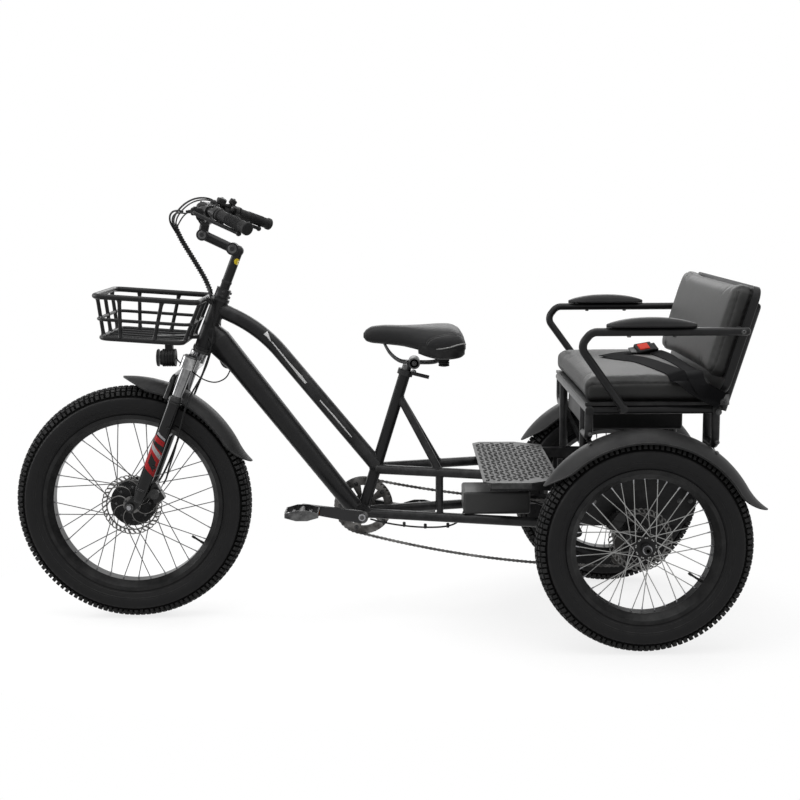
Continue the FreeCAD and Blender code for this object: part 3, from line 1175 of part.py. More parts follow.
pad = box(V(0, -back_y, 0), V(BACK_CUSHION, back_y, BACK_HEIGHT))
pad = pad.makeFillet(BACK_CORNER, [e for e in pad.Edges if abs(e.tangentAt(0).x) > UPRIGHT_EDGE_SHARE])
outline_edges = [e for e in pad.Edges if e.BoundBox.XLength < SEAT_GAP]
parts["backrest_cushion"] = lean_back(pad.makeFillet(BACK_ROUNDING, outline_edges))
panel_x = BACK_CUSHION + SEAT_GAP
parts["backrest_panel"] = lean_back(box(V(panel_x, -back_y + BOARD_INSET, -BACK_PANEL_DROP),
                                        V(panel_x + BACK_PANEL, back_y - BOARD_INSET, BACK_HEIGHT - BOARD_INSET)))
upright_x = panel_x + BACK_PANEL + SEAT_GAP + ARM_TUBE_R
upright_y = BENCH_Y - UPRIGHT_INSET
uprights = []
for s in (-1, 1):
    uprights.append(rod(V(upright_x, s * upright_y, -UPRIGHT_DROP),
                        V(upright_x, s * upright_y, BACK_HEIGHT * UPRIGHT_SHARE), ARM_TUBE_R))
for z in (PIVOT_TUBE_DROP, BACK_HEIGHT * UPRIGHT_SHARE):
    uprights.append(rod(V(upright_x, -upright_y, z), V(upright_x, upright_y, z), ARM_TUBE_R))
uprights = lean_back(fuse(uprights))
parts["backrest_uprights"] = uprights.cut(parts["seat_cross_tubes"]).cut(parts["seat_board"]).cut(parts["seat_legs"])
arms = []
pads = []
arm_z = SEAT_RAIL_Z + ARM_RISE
arm_rear = WHEELBASE + ARM_REAR_X
for s in (-1, 1):
    y = s * ARM_Y
    foot = V(WHEELBASE - ARM_FOOT_X, s * (BENCH_Y + ARM_TUBE_R + MOVING_GAP), SEAT_RAIL_Z + ARM_FOOT_RISE)
    bar = tube_path([V(arm_rear, y, arm_z), V(WHEELBASE - ARM_FRONT_X, y, arm_z),
                     V(WHEELBASE - ARM_NOSE_X, y, arm_z - ARM_NOSE_DROP), foot], ARM_TUBE_R, [ARM_BEND, ARM_BEND])
    lug = rod(foot + V(0, s * ARM_TUBE_R, 0), V(foot.x, s * SIDE_RAIL_Y, SEAT_RAIL_Z), ARM_TUBE_R)
    pin = rod(V(arm_rear - ARM_TUBE_R, y, arm_z), V(arm_rear - ARM_TUBE_R, s * SIDE_RAIL_Y, arm_z), POST_R)
    arm = fuse([bar, lug, pin, Part.makeSphere(ARM_TUBE_R, V(arm_rear, y, arm_z))])
    for neighbour in ("seat_cross_tubes", "seat_board", "backrest_panel", "backrest_cushion"):
        arm = arm.cut(parts[neighbour])
    arms.append(max(arm.Solids, key=lambda solid: solid.Volume))
    pad_low = V(WHEELBASE - PAD_FRONT_X, y - PAD_WIDTH / 2, arm_z + ARM_TUBE_R + SEAT_GAP)
    pad = box(pad_low, V(WHEELBASE + PAD_REAR_X, y + PAD_WIDTH / 2, pad_low.z + PAD_THICKNESS))
    pads.append(rounded(pad, PAD_ROUNDING))
parts["armrests"] = Part.makeCompound(arms)
parts["armrest_pads"] = Part.makeCompound(pads)

# Lap belt, lying on the cushion
belt_z = bench_top + SEAT_GAP
belt_rear = V(bench_rear - BELT_REAR_INSET, BELT_REAR_Y, belt_z)
belt_front = V(bench_front + BELT_FRONT_INSET, BELT_FRONT_Y, belt_z)
belt_length = (belt_rear - belt_front).Length
belt = box(V(0, -BELT_WIDTH / 2, 0), V(belt_length, BELT_WIDTH / 2, BELT_THICKNESS))
buckle = rounded(box(V(0, -BUCKLE_WIDTH / 2, 0), V(BUCKLE_LENGTH, BUCKLE_WIDTH / 2, BUCKLE_THICKNESS)), BELT_THICKNESS)
buckle.translate(V(BUCKLE_X, 0, 0))
belt = fuse([belt, buckle])
belt.rotate(V(0, 0, 0), Z_AXIS, math.degrees(math.atan2(belt_rear.y - belt_front.y, belt_rear.x - belt_front.x)))
belt.translate(belt_front)
parts["lap_belt"] = belt

# Rear brake calipers
calipers = []
for side, sign in SIDES:
    body = caliper(V(WHEELBASE, 0, REAR_TYRE_R), sign * REAR_DISC_Y, REAR_CALIPER_ANGLE, -sign)
    angle = math.radians(REAR_CALIPER_ANGLE)
    place = V(WHEELBASE, 0, REAR_TYRE_R) + V(math.cos(angle), 0, math.sin(angle)) * reach
    inner = SUBFRAME_Y + PLATE_THICKNESS / 2 + SEAT_GAP
    place.y = sign * inner
    outer = V(place.x, sign * (REAR_DISC_Y - DISC_THICKNESS / 2 - MOVING_GAP - CALIPER_WALL), place.z)
    bracket = rod(place, outer, CALIPER_PISTON_R)
    calipers.append(fuse([body, bracket]))
parts["rear_calipers"] = Part.makeCompound(calipers)

# Saddle and seat post
saddle_front = seat_top.x - SADDLE_NOSE_X
saddle_length = SADDLE_NOSE_X + SADDLE_TAIL_X
saddle_top = seat_top.z + SADDLE_TOP_RISE
sections = []
stations = zip(SADDLE_STATION_SHARES, SADDLE_WIDTH_SHARES, SADDLE_TOP_SHARES, SADDLE_BOTTOM_SHARES)
for at_share, width_share, top_share, bottom_share in stations:
    x = saddle_front + saddle_length * at_share
    half = SADDLE_WIDTH / 2 * width_share
    high = saddle_top - SADDLE_HEIGHT * (1 - top_share)
    low = saddle_top - SADDLE_HEIGHT * (1 - bottom_share)
    points = []
    for step in range(SADDLE_SECTION_POINTS):
        turn = 2 * math.pi * step / SADDLE_SECTION_POINTS
        across = math.copysign(abs(math.cos(turn)) ** SADDLE_ROUND_SHARE, math.cos(turn))
        up = math.copysign(abs(math.sin(turn)) ** SADDLE_ROUND_SHARE, math.sin(turn))
        points.append(V(x, half * across, (high + low) / 2 + (high - low) / 2 * up))
    curve = Part.BSplineCurve()
    curve.interpolate(points, PeriodicFlag=True)
    sections.append(Part.Wire(curve.toShape()))
cover = Part.makeLoft(sections, True, False)
clamp_middle = V(seat_top.x + SADDLE_CLAMP_X, 0, saddle_top - SADDLE_CLAMP_DROP)
under = [cover]
for s in (-1, 1):
    rail_side = s * SADDLE_CLAMP_WIDTH / 2
    along_share, side_share, height_share = RAIL_NOSE_SHARES
    nose_end = V(saddle_front + saddle_length * along_share, rail_side * side_share,
                 saddle_top - SADDLE_HEIGHT * (1 - height_share))
    along_share, side_share, height_share = RAIL_TAIL_SHARES
    tail_end = V(saddle_front + saddle_length * along_share, rail_side * side_share,
                 saddle_top - SADDLE_HEIGHT * (1 - height_share))
    rail_front = V(clamp_middle.x - SADDLE_CLAMP_WIDTH, rail_side, clamp_middle.z)
    rail_back = V(clamp_middle.x + SADDLE_CLAMP_WIDTH, rail_side, clamp_middle.z)
    under.append(tube_path([nose_end, rail_front, rail_back, tail_end], SADDLE_RAIL_R, [SPRING_R, SPRING_R]))
    spring = V(saddle_front + saddle_length * SPRING_SHARE, s * SPRING_Y, saddle_top - SADDLE_HEIGHT - SPRING_HEIGHT)
    under.append(rod(spring, spring + V(0, 0, SPRING_HEIGHT + SADDLE_HEIGHT / 2), SPRING_R))
parts["saddle"] = fuse(under)
post_top = seat_top + post_direction * ((clamp_middle.z - seat_top.z) / post_direction.z - SADDLE_CLAMP_R / 2)
head = disc(clamp_middle, SADDLE_CLAMP_R, SADDLE_CLAMP_WIDTH + SADDLE_RAIL_R * 3)
post = fuse([rod(seat_top - post_direction * SEAT_POST_DEPTH, post_top, post_r), head,
             rod(post_top, clamp_middle, post_r)])
parts["seat_post"] = post.cut(parts["saddle"])

# Basket, in its own tilted frame
def basket_place(shape):
    """Moves a piece of the basket from its own frame to its place on the tricycle."""
    shape.rotate(V(0, 0, 0), Y_AXIS, BASKET_TILT)
    shape.translate(V(BASKET_FRONT_X, 0, FRONT_TYRE_R + BASKET_RIM_RISE))
    return shape


def basket_ring(share):
    """The corners of the basket's outline, from the rim (0) to the floor (1)."""
    low_x = BASKET_FRONT_INSET * share
    high_x = BASKET_LENGTH - BASKET_REAR_INSET * share
    y = (BASKET_WIDTH + (BASKET_FLOOR_WIDTH - BASKET_WIDTH) * share) / 2
    z = -BASKET_DEPTH * share
    return [V(low_x, -y, z), V(high_x, -y, z), V(high_x, y, z), V(low_x, y, z)]


bars = [ring_path(basket_ring(0), BASKET_RIM_R, BASKET_CORNER),
        ring_path(basket_ring(BASKET_MID_SHARE), BASKET_MID_R, BASKET_CORNER),
        ring_path(basket_ring(1), BASKET_FLOOR_R, BASKET_CORNER)]
rim_ring = basket_ring(0)
floor_ring = basket_ring(1)
for edge in range(4):
    for share in BASKET_END_SHARES if edge % 2 else BASKET_SIDE_SHARES:
        if edge == 2:
            share = 1 - share
        high = rim_ring[edge] + (rim_ring[(edge + 1) % 4] - rim_ring[edge]) * share
        low = floor_ring[edge] + (floor_ring[(edge + 1) % 4] - floor_ring[edge]) * share
        bars.append(rod(low, high, BASKET_WIRE_R))
for share in BASKET_SLAT_SHARES:
    start = floor_ring[0] + (floor_ring[3] - floor_ring[0]) * share
    end = floor_ring[1] + (floor_ring[2] - floor_ring[1]) * share
    bars.append(rod(start, end, BASKET_SLAT_R))
basket = basket_place(fuse(bars))
bracket_z = FRONT_TYRE_R + BASKET_RIM_RISE - BASKET_DEPTH - BASKET_FLOOR_R * 2
head_x = steer_point((bracket_z - STEER_FOOT.z) / STEER_UP.z).x
bracket_x = BASKET_FRONT_X + BASKET_LENGTH / 2
bracket = box(V(bracket_x, -BRACKET_WIDTH / 2, bracket_z - BRACKET_THICKNESS),
              V(head_x, BRACKET_WIDTH / 2, bracket_z + BRACKET_THICKNESS))
rim_rear = V(BASKET_FRONT_X + BASKET_LENGTH, 0, FRONT_TYRE_R + BASKET_RIM_RISE - BASKET_RIM_R * 2)
stubs = [bracket]
for s in (-1, 1):
    shift = V(0, s * BRACKET_WIDTH / 2, 0)
    stubs.append(rod(rim_rear + shift, steer_point(HEAD_TUBE_TOP - TOP_TUBE_HEAD) + shift / 2, BASKET_STAY_R))
parts["basket"] = fuse([basket] + stubs).cut(head_solid).cut(parts["top_tube"])

# Headlamp under the basket
floor_front = bracket_z - BRACKET_THICKNESS - SEAT_GAP
lamp_middle = V(LAMP_X, 0, floor_front - LAMP_DROP - LAMP_R)
lamp = [Part.makeCylinder(LAMP_R, LAMP_LENGTH, lamp_middle - V(LAMP_LENGTH / 2, 0, 0), X_AXIS),
        Part.makeCylinder(LAMP_LENS_R, LAMP_LENGTH + LAMP_LENS_BULGE, lamp_middle - V(LAMP_LENGTH / 2 + LAMP_LENS_BULGE,
                                                                                     0, 0), X_AXIS),
        box(lamp_middle - V(LAMP_NECK_WIDTH / 2, LAMP_NECK_WIDTH / 2, 0),
            V(LAMP_X + LAMP_NECK_WIDTH / 2, LAMP_NECK_WIDTH / 2, floor_front)),
        box(V(bracket_x, -BRACKET_WIDTH / 2, floor_front - LAMP_PLATE_THICKNESS),
            V(bracket_x + LAMP_PLATE_WIDTH, BRACKET_WIDTH / 2, floor_front)),
        box(V(LAMP_X - LAMP_NECK_WIDTH / 2, -LAMP_NECK_WIDTH / 2, floor_front - LAMP_PLATE_THICKNESS),
            V(bracket_x + LAMP_PLATE_WIDTH / 2, LAMP_NECK_WIDTH / 2, floor_front))]
lamp = fuse(lamp)
for step in range(1, LAMP_FINS):
    x = LAMP_X - LAMP_LENGTH / 2 + LAMP_LENGTH * step / LAMP_FINS
    ring_cut = Part.makeCylinder(LAMP_R + RIM_WALL, LAMP_FIN_DEPTH, V(x, 0, lamp_middle.z), X_AXIS)
    ring_cut = ring_cut.cut(Part.makeCylinder(LAMP_R - LAMP_FIN_DEPTH, LAMP_FIN_DEPTH, V(x, 0, lamp_middle.z), X_AXIS))
    lamp = lamp.cut(ring_cut.cut(block(lamp_middle + V(0, 0, LAMP_R), LAMP_NECK_WIDTH * 2, LAMP_NECK_WIDTH, LAMP_R)))
parts["headlamp"] = lamp

# Crank, chainring and pedals
angle = math.radians(CRANK_ANGLE)
arm_vector = V(math.cos(angle), 0, math.sin(angle)) * CRANK_LENGTH
spindle_y = V(0, CRANK_Y, 0)
ring_face = CHAIN_Y + RING_THICKNESS / 2 + SEAT_GAP
crank_pieces = [rod(bb - spindle_y, bb + spindle_y, SPINDLE_R),
                rod(bb + V(0, ring_face, 0), bb + spindle_y, CRANK_HUB_R)]
for side, sign in SIDES:
    hub_end = bb + spindle_y * sign
    far_end = hub_end - arm_vector * sign
    pin_end = V(0, sign * (PEDAL_WIDTH + CRANK_THICKNESS), 0)
    crank_pieces += [link_plate(hub_end, far_end, CRANK_HUB_R, CRANK_TIP_R, CRANK_THICKNESS),
                     rod(hub_end, hub_end + V(0, sign * (CRANK_THICKNESS / 2 + CRANK_BOLT_LENGTH), 0), CRANK_BOLT_R),
                     rod(far_end, far_end + pin_end, PEDAL_PIN_R)]
    inner_y = CRANK_THICKNESS / 2 + MOVING_GAP
    middle = far_end + V(0, sign * (inner_y + PEDAL_WIDTH / 2), 0)
    cage = [disc(middle, PEDAL_BARREL_R, PEDAL_WIDTH)]
    for way in (-1, 1):
        plate_middle = middle + V(0, way * (PEDAL_WIDTH - PEDAL_CAGE_WALL) / 2, 0)
        low = PEDAL_HEIGHT / 2 - PEDAL_TAPER
        reach_x = PEDAL_LENGTH / 2
        cage.append(prism([plate_middle + V(-reach_x, 0, -low), plate_middle + V(-reach_x / 3, 0, -PEDAL_HEIGHT / 2),
                           plate_middle + V(reach_x / 3, 0, -PEDAL_HEIGHT / 2), plate_middle + V(reach_x, 0, -low),
                           plate_middle + V(reach_x, 0, low), plate_middle + V(reach_x / 3, 0, PEDAL_HEIGHT / 2),
                           plate_middle + V(-reach_x / 3, 0, PEDAL_HEIGHT / 2), plate_middle + V(-reach_x, 0, low)],
                          PEDAL_CAGE_WALL))
        cage.append(block(middle + V(way * (reach_x - PEDAL_CAGE_WALL / 2), 0, 0), PEDAL_CAGE_WALL, PEDAL_WIDTH,
                          low * 2))
        cage.append(block(middle + V(way * reach_x / 2, 0, 0), PEDAL_CAGE_WALL * 2, PEDAL_WIDTH, PEDAL_CAGE_WALL * 2))
    parts["pedal_" + side] = fuse(cage).cut(disc(middle, PEDAL_PIN_R + RUNNING_GAP, PEDAL_WIDTH * 2))
parts["crank_arms"] = fuse(crank_pieces)
ring_centre = bb + V(0, CHAIN_Y, 0)
guard_r = pitch_r(RING_TEETH) + GUARD_OVERHANG
ring = [disc(ring_centre, sprocket_r(RING_TEETH), RING_THICKNESS)]
window_depth = RING_THICKNESS * 2
cutters = []
guard_centre = bb + V(0, GUARD_Y, 0)
guard = disc(guard_centre, guard_r, GUARD_THICKNESS).cut(disc(guard_centre, RING_WINDOW_OUTER_R, window_depth))
bosses = []
for index in range(SPIDER_ARMS):
    turn = 360 / SPIDER_ARMS * index
    wedge = disc(ring_centre, RING_WINDOW_OUTER_R, window_depth).cut(
        disc(ring_centre, RING_WINDOW_INNER_R, window_depth * 2))
    half_window = math.radians(RING_WINDOW_ANGLE / 2)
    far = guard_r * 2
    sector = prism([ring_centre, ring_centre + V(math.cos(half_window), 0, math.sin(half_window)) * far,
                    ring_centre + V(math.cos(half_window), 0, -math.sin(half_window)) * far], window_depth)
    wedge = wedge.common(sector)
    wedge.rotate(ring_centre, Y_AXIS, turn)
    cutters.append(wedge)
    post = rod(ring_centre + V(SPIDER_R, 0, 0), guard_centre + V(SPIDER_R, 0, 0), RING_BOLT_R)
    post.rotate(ring_centre, Y_AXIS, turn + 180 / SPIDER_ARMS)
    bosses.append(post)
plate = ring[0]
for cutter in cutters:
    plate = plate.cut(cutter)
plate = plate.cut(disc(ring_centre, SPINDLE_R + SEAT_GAP, window_depth))
parts["chainring"] = fuse([plate, guard] + bosses)


# Chain: one fixed loop of links round the chainring, the cog and both derailleur pulleys
def tangent(first, second):
    """The points where a belt leaves one wheel and meets the next; each is x, z, radius and sense."""
    dx = second[0] - first[0]
    dz = second[1] - first[1]
    offset = second[3] * second[2] - first[3] * first[2]
    heading = math.atan2(dz, dx) - math.asin(offset / math.hypot(dx, dz))
    out_x = math.sin(heading)
    out_z = -math.cos(heading)
    ends = []
    for x, z, radius, sense in (first, second):
        ends.append((x + sense * radius * out_x, z + sense * radius * out_z))
    return ends


wheels = [(BB_X, BB_Z, pitch_r(RING_TEETH), -1), (WHEELBASE, REAR_TYRE_R, pitch_r(COG_TEETH), -1),
          (guide.x, guide.z, pitch_r(PULLEY_TEETH), 1), (tension.x, tension.z, pitch_r(PULLEY_TEETH), -1)]
sags = (UPPER_SAG, 0, 0, LOWER_SAG)
path = []
for index in range(4):
    leave, meet = tangent(wheels[index], wheels[(index + 1) % 4])
    steps = SAG_STEPS if sags[index] else 1
    for step in range(steps + 1):
        t = step / steps
        path.append((leave[0] + (meet[0] - leave[0]) * t,
                     leave[1] + (meet[1] - leave[1]) * t - 4 * sags[index] * t * (1 - t)))
    x, z, radius, sense = wheels[(index + 1) % 4]
    onward = tangent(wheels[(index + 1) % 4], wheels[(index + 2) % 4])[0]
    first = math.atan2(meet[1] - z, meet[0] - x)
    last = math.atan2(onward[1] - z, onward[0] - x)
    sweep = ((last - first) * sense) % (2 * math.pi)
    steps = max(4, int(sweep / ARC_STEP))
    for step in range(1, steps):
        a = first + sense * sweep * step / steps
        path.append((x + radius * math.cos(a), z + radius * math.sin(a)))
lengths = [math.hypot(path[i][0] - path[i - 1][0], path[i][1] - path[i - 1][1]) for i in range(len(path))]
total = sum(lengths)
links = round(total / CHAIN_PITCH)
outer_side = []
inner_side = []
walked = 0.0
index = 0
for half_link in range(links * 2):
    wanted = total * half_link / (links * 2)
    while walked + lengths[(index + 1) % len(path)] < wanted:
        index += 1
        walked += lengths[index % len(path)]
    ahead = path[(index + 1) % len(path)]
    behind = path[index % len(path)]
    run = math.hypot(ahead[0] - behind[0], ahead[1] - behind[1])
    t = (wanted - walked) / run
    x = behind[0] + (ahead[0] - behind[0]) * t
    z = behind[1] + (ahead[1] - behind[1]) * t
    out_x = (ahead[1] - behind[1]) / run
    out_z = -(ahead[0] - behind[0]) / run
    height = (CHAIN_WAIST_HEIGHT if half_link % 2 else CHAIN_PLATE_HEIGHT) / 2
    low_y = CHAIN_Y - CHAIN_WIDTH / 2
    outer_side.append(V(x - out_x * height, low_y, z - out_z * height))
    inner_side.append(V(x + out_x * height, low_y, z + out_z * height))
outer_wire = Part.makePolygon(outer_side + [outer_side[0]])
inner_wire = Part.makePolygon(inner_side + [inner_side[0]])
outer_face = Part.Face(outer_wire)
parts["chain"] = outer_face.cut(Part.Face(inner_wire)).extrude(V(0, CHAIN_WIDTH, 0))

ORIGIN_X = (parts["rear_fender_left"].BoundBox.XMax - FRONT_TYRE_R) / 2
os.makedirs("parts", exist_ok=True)
for name, shape in parts.items():
    shape.translate(V(-ORIGIN_X, 0, 0))
    shape.exportStep("parts/" + name + ".step")
print(len(parts), "parts", "origin", ORIGIN_X)
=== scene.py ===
"""Looks of an electric passenger tricycle: fat tyres, wire wheels, sprung saddle, wire basket,
padded bench and chain drive, dressed round the fixed CAD frame.

Sizes are in millimetres, with X counted from the front axle to the rear, Y to the rider's
right and Z up from the ground; at() turns such a place into the frame's metres.
"""
import json
from math import acos, asin, atan2, copysign, cos, exp, hypot, pi, radians, sin

import bmesh
import bpy
from mathutils import Matrix, Vector
from mathutils.bvhtree import BVHTree
from mathutils.kdtree import KDTree


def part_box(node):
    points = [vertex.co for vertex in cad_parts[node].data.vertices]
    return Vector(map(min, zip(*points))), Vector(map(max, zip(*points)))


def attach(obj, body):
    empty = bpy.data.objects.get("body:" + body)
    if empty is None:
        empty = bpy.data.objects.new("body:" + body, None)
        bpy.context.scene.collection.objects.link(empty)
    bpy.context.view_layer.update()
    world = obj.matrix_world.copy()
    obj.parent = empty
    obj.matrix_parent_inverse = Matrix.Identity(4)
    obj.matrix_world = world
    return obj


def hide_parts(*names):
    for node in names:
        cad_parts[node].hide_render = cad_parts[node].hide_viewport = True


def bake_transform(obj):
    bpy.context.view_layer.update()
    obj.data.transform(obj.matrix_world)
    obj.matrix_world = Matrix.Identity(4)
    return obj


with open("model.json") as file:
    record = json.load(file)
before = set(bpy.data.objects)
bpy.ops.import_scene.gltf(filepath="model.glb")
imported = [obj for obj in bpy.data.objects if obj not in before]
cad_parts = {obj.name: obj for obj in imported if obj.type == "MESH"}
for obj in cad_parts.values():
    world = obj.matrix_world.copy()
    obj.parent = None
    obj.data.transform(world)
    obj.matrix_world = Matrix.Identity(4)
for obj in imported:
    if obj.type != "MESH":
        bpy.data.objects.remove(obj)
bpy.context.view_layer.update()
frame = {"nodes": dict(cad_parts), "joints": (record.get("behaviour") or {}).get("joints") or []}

MM = 0.001
TURN = 2 * pi
SIDES = (("left", -1), ("right", 1))
JOINTS = {joint["name"]: joint for joint in frame["joints"]}
FRONT_AXLE = Vector(JOINTS["front_wheel_spin"]["pos_m"])
REAR_AXLE = {side: Vector(JOINTS["rear_wheel_%s_spin" % side]["pos_m"]) for side, sign in SIDES}
STEER_FOOT = Vector(JOINTS["steering"]["pos_m"])
STEER_UP = Vector(JOINTS["steering"]["axis"]).normalized()
STEER_FORWARD = Vector((-STEER_UP.z, 0, STEER_UP.x))
BB = Vector(JOINTS["crank_spin"]["pos_m"])
AHEAD = Vector((-1, 0, 0))
Y_AXIS = Vector((0, 1, 0))
UP = Vector((0, 0, 1))
SQUARE = (-AHEAD, Y_AXIS, UP)
WHEELBASE = 1452
HALF_TRACK = 360

# Wheels
FRONT_TYRE_R = 348
REAR_TYRE_R = 298
TYRE_HEIGHT = 91
BEAD_HALF = 36.7
TYRE_HALF = 49
WALL_START = 8.3
WIDEST_SHARE = 0.44
TREAD_HALF = 42
TREAD_DROP = 13
LUG_DEPTH = 8.0
LUG_TAPER = 0.7
TREAD_REPEAT = 33
VALVE_TURN = -33
SPOKE_COUNT = 36
SPOKE_R = 1.4
SPOKE_SEAT_SHARE = 0.24
SPOKE_ELBOW = 2.6
ELBOW_R = 2.1
NIPPLE_R = 2.3
NIPPLE_LENGTH = 13
VALVE = ((0, 4.2), (8, 4.0), (10, 3.2), (28, 3.0), (29, 4.0), (38, 3.8), (40, 3.0))
RIM_HALF = 40
RIM_WALL = 3
RIM_HOOK = 8
RIM_CHANNEL = 16
DISC_R = 90
FRONT_DISC_Y = -50
REAR_DISC_Y = 305
DISC_BRIDGES = 36
DISC_ARMS = 8

# Drive
CHAIN_Y = 60
CHAIN_PITCH = 12.7
RING_TEETH = 42
COG_TEETH = 15
PULLEY_TEETH = 11
UPPER_SAG = 24
LOWER_SAG = 26
GUIDE_PULLEY = (2, -74)
TENSION_PULLEY = (-6, -150)


def at(x, y, z):
    """A place counted in millimetres from the front axle's foot, in the frame's metres."""
    return Vector((FRONT_AXLE.x + x * MM, y * MM, z * MM))


def steer_at(along, forward=0.0, side=0.0):
    """A place up the steering axis, ahead of it and to its side."""
    return STEER_FOOT + STEER_UP * (along * MM) + STEER_FORWARD * (forward * MM) + Vector((0, side * MM, 0))


def mm(x, y, z):
    """A move given in millimetres, in metres."""
    return MM * Vector((x, y, z))


def turns(count, shift=0.0):
    """Even turns round a circle, the first one shifted by a share of a step."""
    return [TURN * (index + shift) / count for index in range(count)]


def add_object(name, data):
    """A new object in the scene."""
    made = bpy.data.objects.new(name, data)
    bpy.context.scene.collection.objects.link(made)
    return made


# Shader helpers

def new_group(name, inputs, outputs):
    """An empty shader node group with named value inputs and typed outputs."""
    group = bpy.data.node_groups.new(name, "ShaderNodeTree")
    for label, default in inputs:
        kind = "NodeSocketColor" if isinstance(default, tuple) else "NodeSocketFloat"
        group.interface.new_socket(label, in_out="INPUT", socket_type=kind).default_value = default
    for label, kind in outputs:
        group.interface.new_socket(label, in_out="OUTPUT", socket_type=kind)
    start = group.nodes.new("NodeGroupInput")
    end = group.nodes.new("NodeGroupOutput")
    return group, start, end


def node(tree, kind, **settings):
    """A node of that kind, with its settings and its sockets' values."""
    made = tree.nodes.new("ShaderNode" + kind)
    for label, value in settings.items():
        if label.startswith("in_"):
            made.inputs[label[3:].replace("_", " ")].default_value = value
        else:
            setattr(made, label, value)
    return made


def math_node(tree, operation, first, second=0.5, clamp=False):
    """A math node fed by sockets or plain numbers."""
    made = tree.nodes.new("ShaderNodeMath")
    made.operation = operation
    made.use_clamp = clamp
    for index, value in enumerate((first, second)):
        if isinstance(value, (int, float)):
            made.inputs[index].default_value = value
        else:
            tree.links.new(value, made.inputs[index])
    return made.outputs[0]


def mix_colour(tree, share, first, second):
    """A colour mix fed by sockets or plain values."""
    made = tree.nodes.new("ShaderNodeMix")
    made.data_type = "RGBA"
    for socket, value in ((made.inputs[0], share), (made.inputs[6], first), (made.inputs[7], second)):
        if isinstance(value, (int, float, tuple)):
            socket.default_value = value
        else:
            tree.links.new(value, socket)
    return made.outputs[2]


def ramp(tree, value, low, high):
    """Stretches a value so that low becomes 0 and high becomes 1."""
    made = tree.nodes.new("ShaderNodeMapRange")
    made.inputs["From Min"].default_value = low
    made.inputs["From Max"].default_value = high
    tree.links.new(value, made.inputs["Value"])
    return made.outputs["Result"]


def grain_group():
    """Fine surface grain and a slow blotchy variation, from object coordinates."""
    group, start, end = new_group("surface grain", (("Fine Scale", 900.0), ("Slow Scale", 9.0)),
                                  (("Fine", "NodeSocketFloat"), ("Slow", "NodeSocketFloat")))
    place = node(group, "TexCoord").outputs["Object"]
    for label, detail, output in (("Fine Scale", 2.0, "Fine"), ("Slow Scale", 4.0, "Slow")):
        noise = node(group, "TexNoise", in_Detail=detail, in_Roughness=0.55)
        group.links.new(place, noise.inputs["Vector"])
        group.links.new(start.outputs[label], noise.inputs["Scale"])
        group.links.new(noise.outputs["Fac"], end.inputs[output])
    return group


def wear_and_highlight_group():
    """Masks for edges, lightened where rubbed and, on the tyre's knobs, as a painted highlight, and for dust
    that settles on upward faces.
    """
    group, start, end = new_group("edge wear and dust", (("Edge Sharpness", 0.06), ("Dust Scale", 30.0)),
                                  (("Edge", "NodeSocketFloat"), ("Dust", "NodeSocketFloat")))
    geometry = node(group, "NewGeometry")
    place = node(group, "TexCoord").outputs["Object"]
    noise = node(group, "TexNoise", in_Detail=5.0, in_Roughness=0.6)
    group.links.new(place, noise.inputs["Vector"])
    group.links.new(start.outputs["Dust Scale"], noise.inputs["Scale"])
    raised = math_node(group, "SUBTRACT", geometry.outputs["Pointiness"], 0.5)
    scaled = math_node(group, "DIVIDE", raised, start.outputs["Edge Sharpness"], clamp=True)
    broken = math_node(group, "MULTIPLY", scaled, ramp(group, noise.outputs["Fac"], 0.35, 0.65), clamp=True)
    group.links.new(broken, end.inputs["Edge"])
    apart = node(group, "SeparateXYZ")
    group.links.new(geometry.outputs["Normal"], apart.inputs[0])
    upward = ramp(group, apart.outputs["Z"], 0.1, 1.0)
    dust = math_node(group, "MULTIPLY", upward, ramp(group, noise.outputs["Fac"], 0.3, 0.8), clamp=True)
    group.links.new(dust, end.inputs["Dust"])
    return group


def pebble_group():
    """Pebbled vinyl grain: raised cells with fine creases between them."""
    group, start, end = new_group("vinyl pebble", (("Cell Scale", 420.0),), (("Height", "NodeSocketFloat"),))
    place = node(group, "TexCoord").outputs["Object"]
    warp = node(group, "TexNoise", in_Scale=160.0, in_Detail=1.0)
    group.links.new(place, warp.inputs["Vector"])
    shift = node(group, "VectorMath", operation="MULTIPLY_ADD")
    group.links.new(warp.outputs["Color"], shift.inputs[0])
    shift.inputs[1].default_value = (0.003, 0.003, 0.003)
    group.links.new(place, shift.inputs[2])
    cells = node(group, "TexVoronoi", feature="DISTANCE_TO_EDGE")
    group.links.new(shift.outputs[0], cells.inputs["Vector"])
    group.links.new(start.outputs["Cell Scale"], cells.inputs["Scale"])
    group.links.new(ramp(group, cells.outputs["Distance"], 0.0, 0.18), end.inputs["Height"])
    return group


def weave_group():
    """Webbing weave: ribs along the strap crossed by finer picks, from UV in metres."""
    group, start, end = new_group("webbing weave", (("Rib", 700.0), ("Pick", 420.0)),
                                  (("Height", "NodeSocketFloat"),))
    apart = node(group, "SeparateXYZ")
    group.links.new(node(group, "UVMap").outputs[0], apart.inputs[0])
    waves = []
    for axis, label in (("X", "Pick"), ("Y", "Rib")):
        turned = math_node(group, "MULTIPLY", apart.outputs[axis], start.outputs[label])
        waves.append(math_node(group, "SINE", turned))
    crossed = math_node(group, "MULTIPLY", waves[0], waves[1])
    group.links.new(math_node(group, "MULTIPLY_ADD", crossed, 0.5), end.inputs["Height"])
    return group


GRAIN = grain_group()
WEAR_AND_HIGHLIGHT = wear_and_highlight_group()
PEBBLE = pebble_group()
WEAVE = weave_group()


def place_group(tree, group, **values):
    """Places a shared node group in a material with its own values."""
    made = tree.nodes.new("ShaderNodeGroup")
    made.node_tree = group
    for label, value in values.items():
        made.inputs[label.replace("_", " ")].default_value = value
    return made


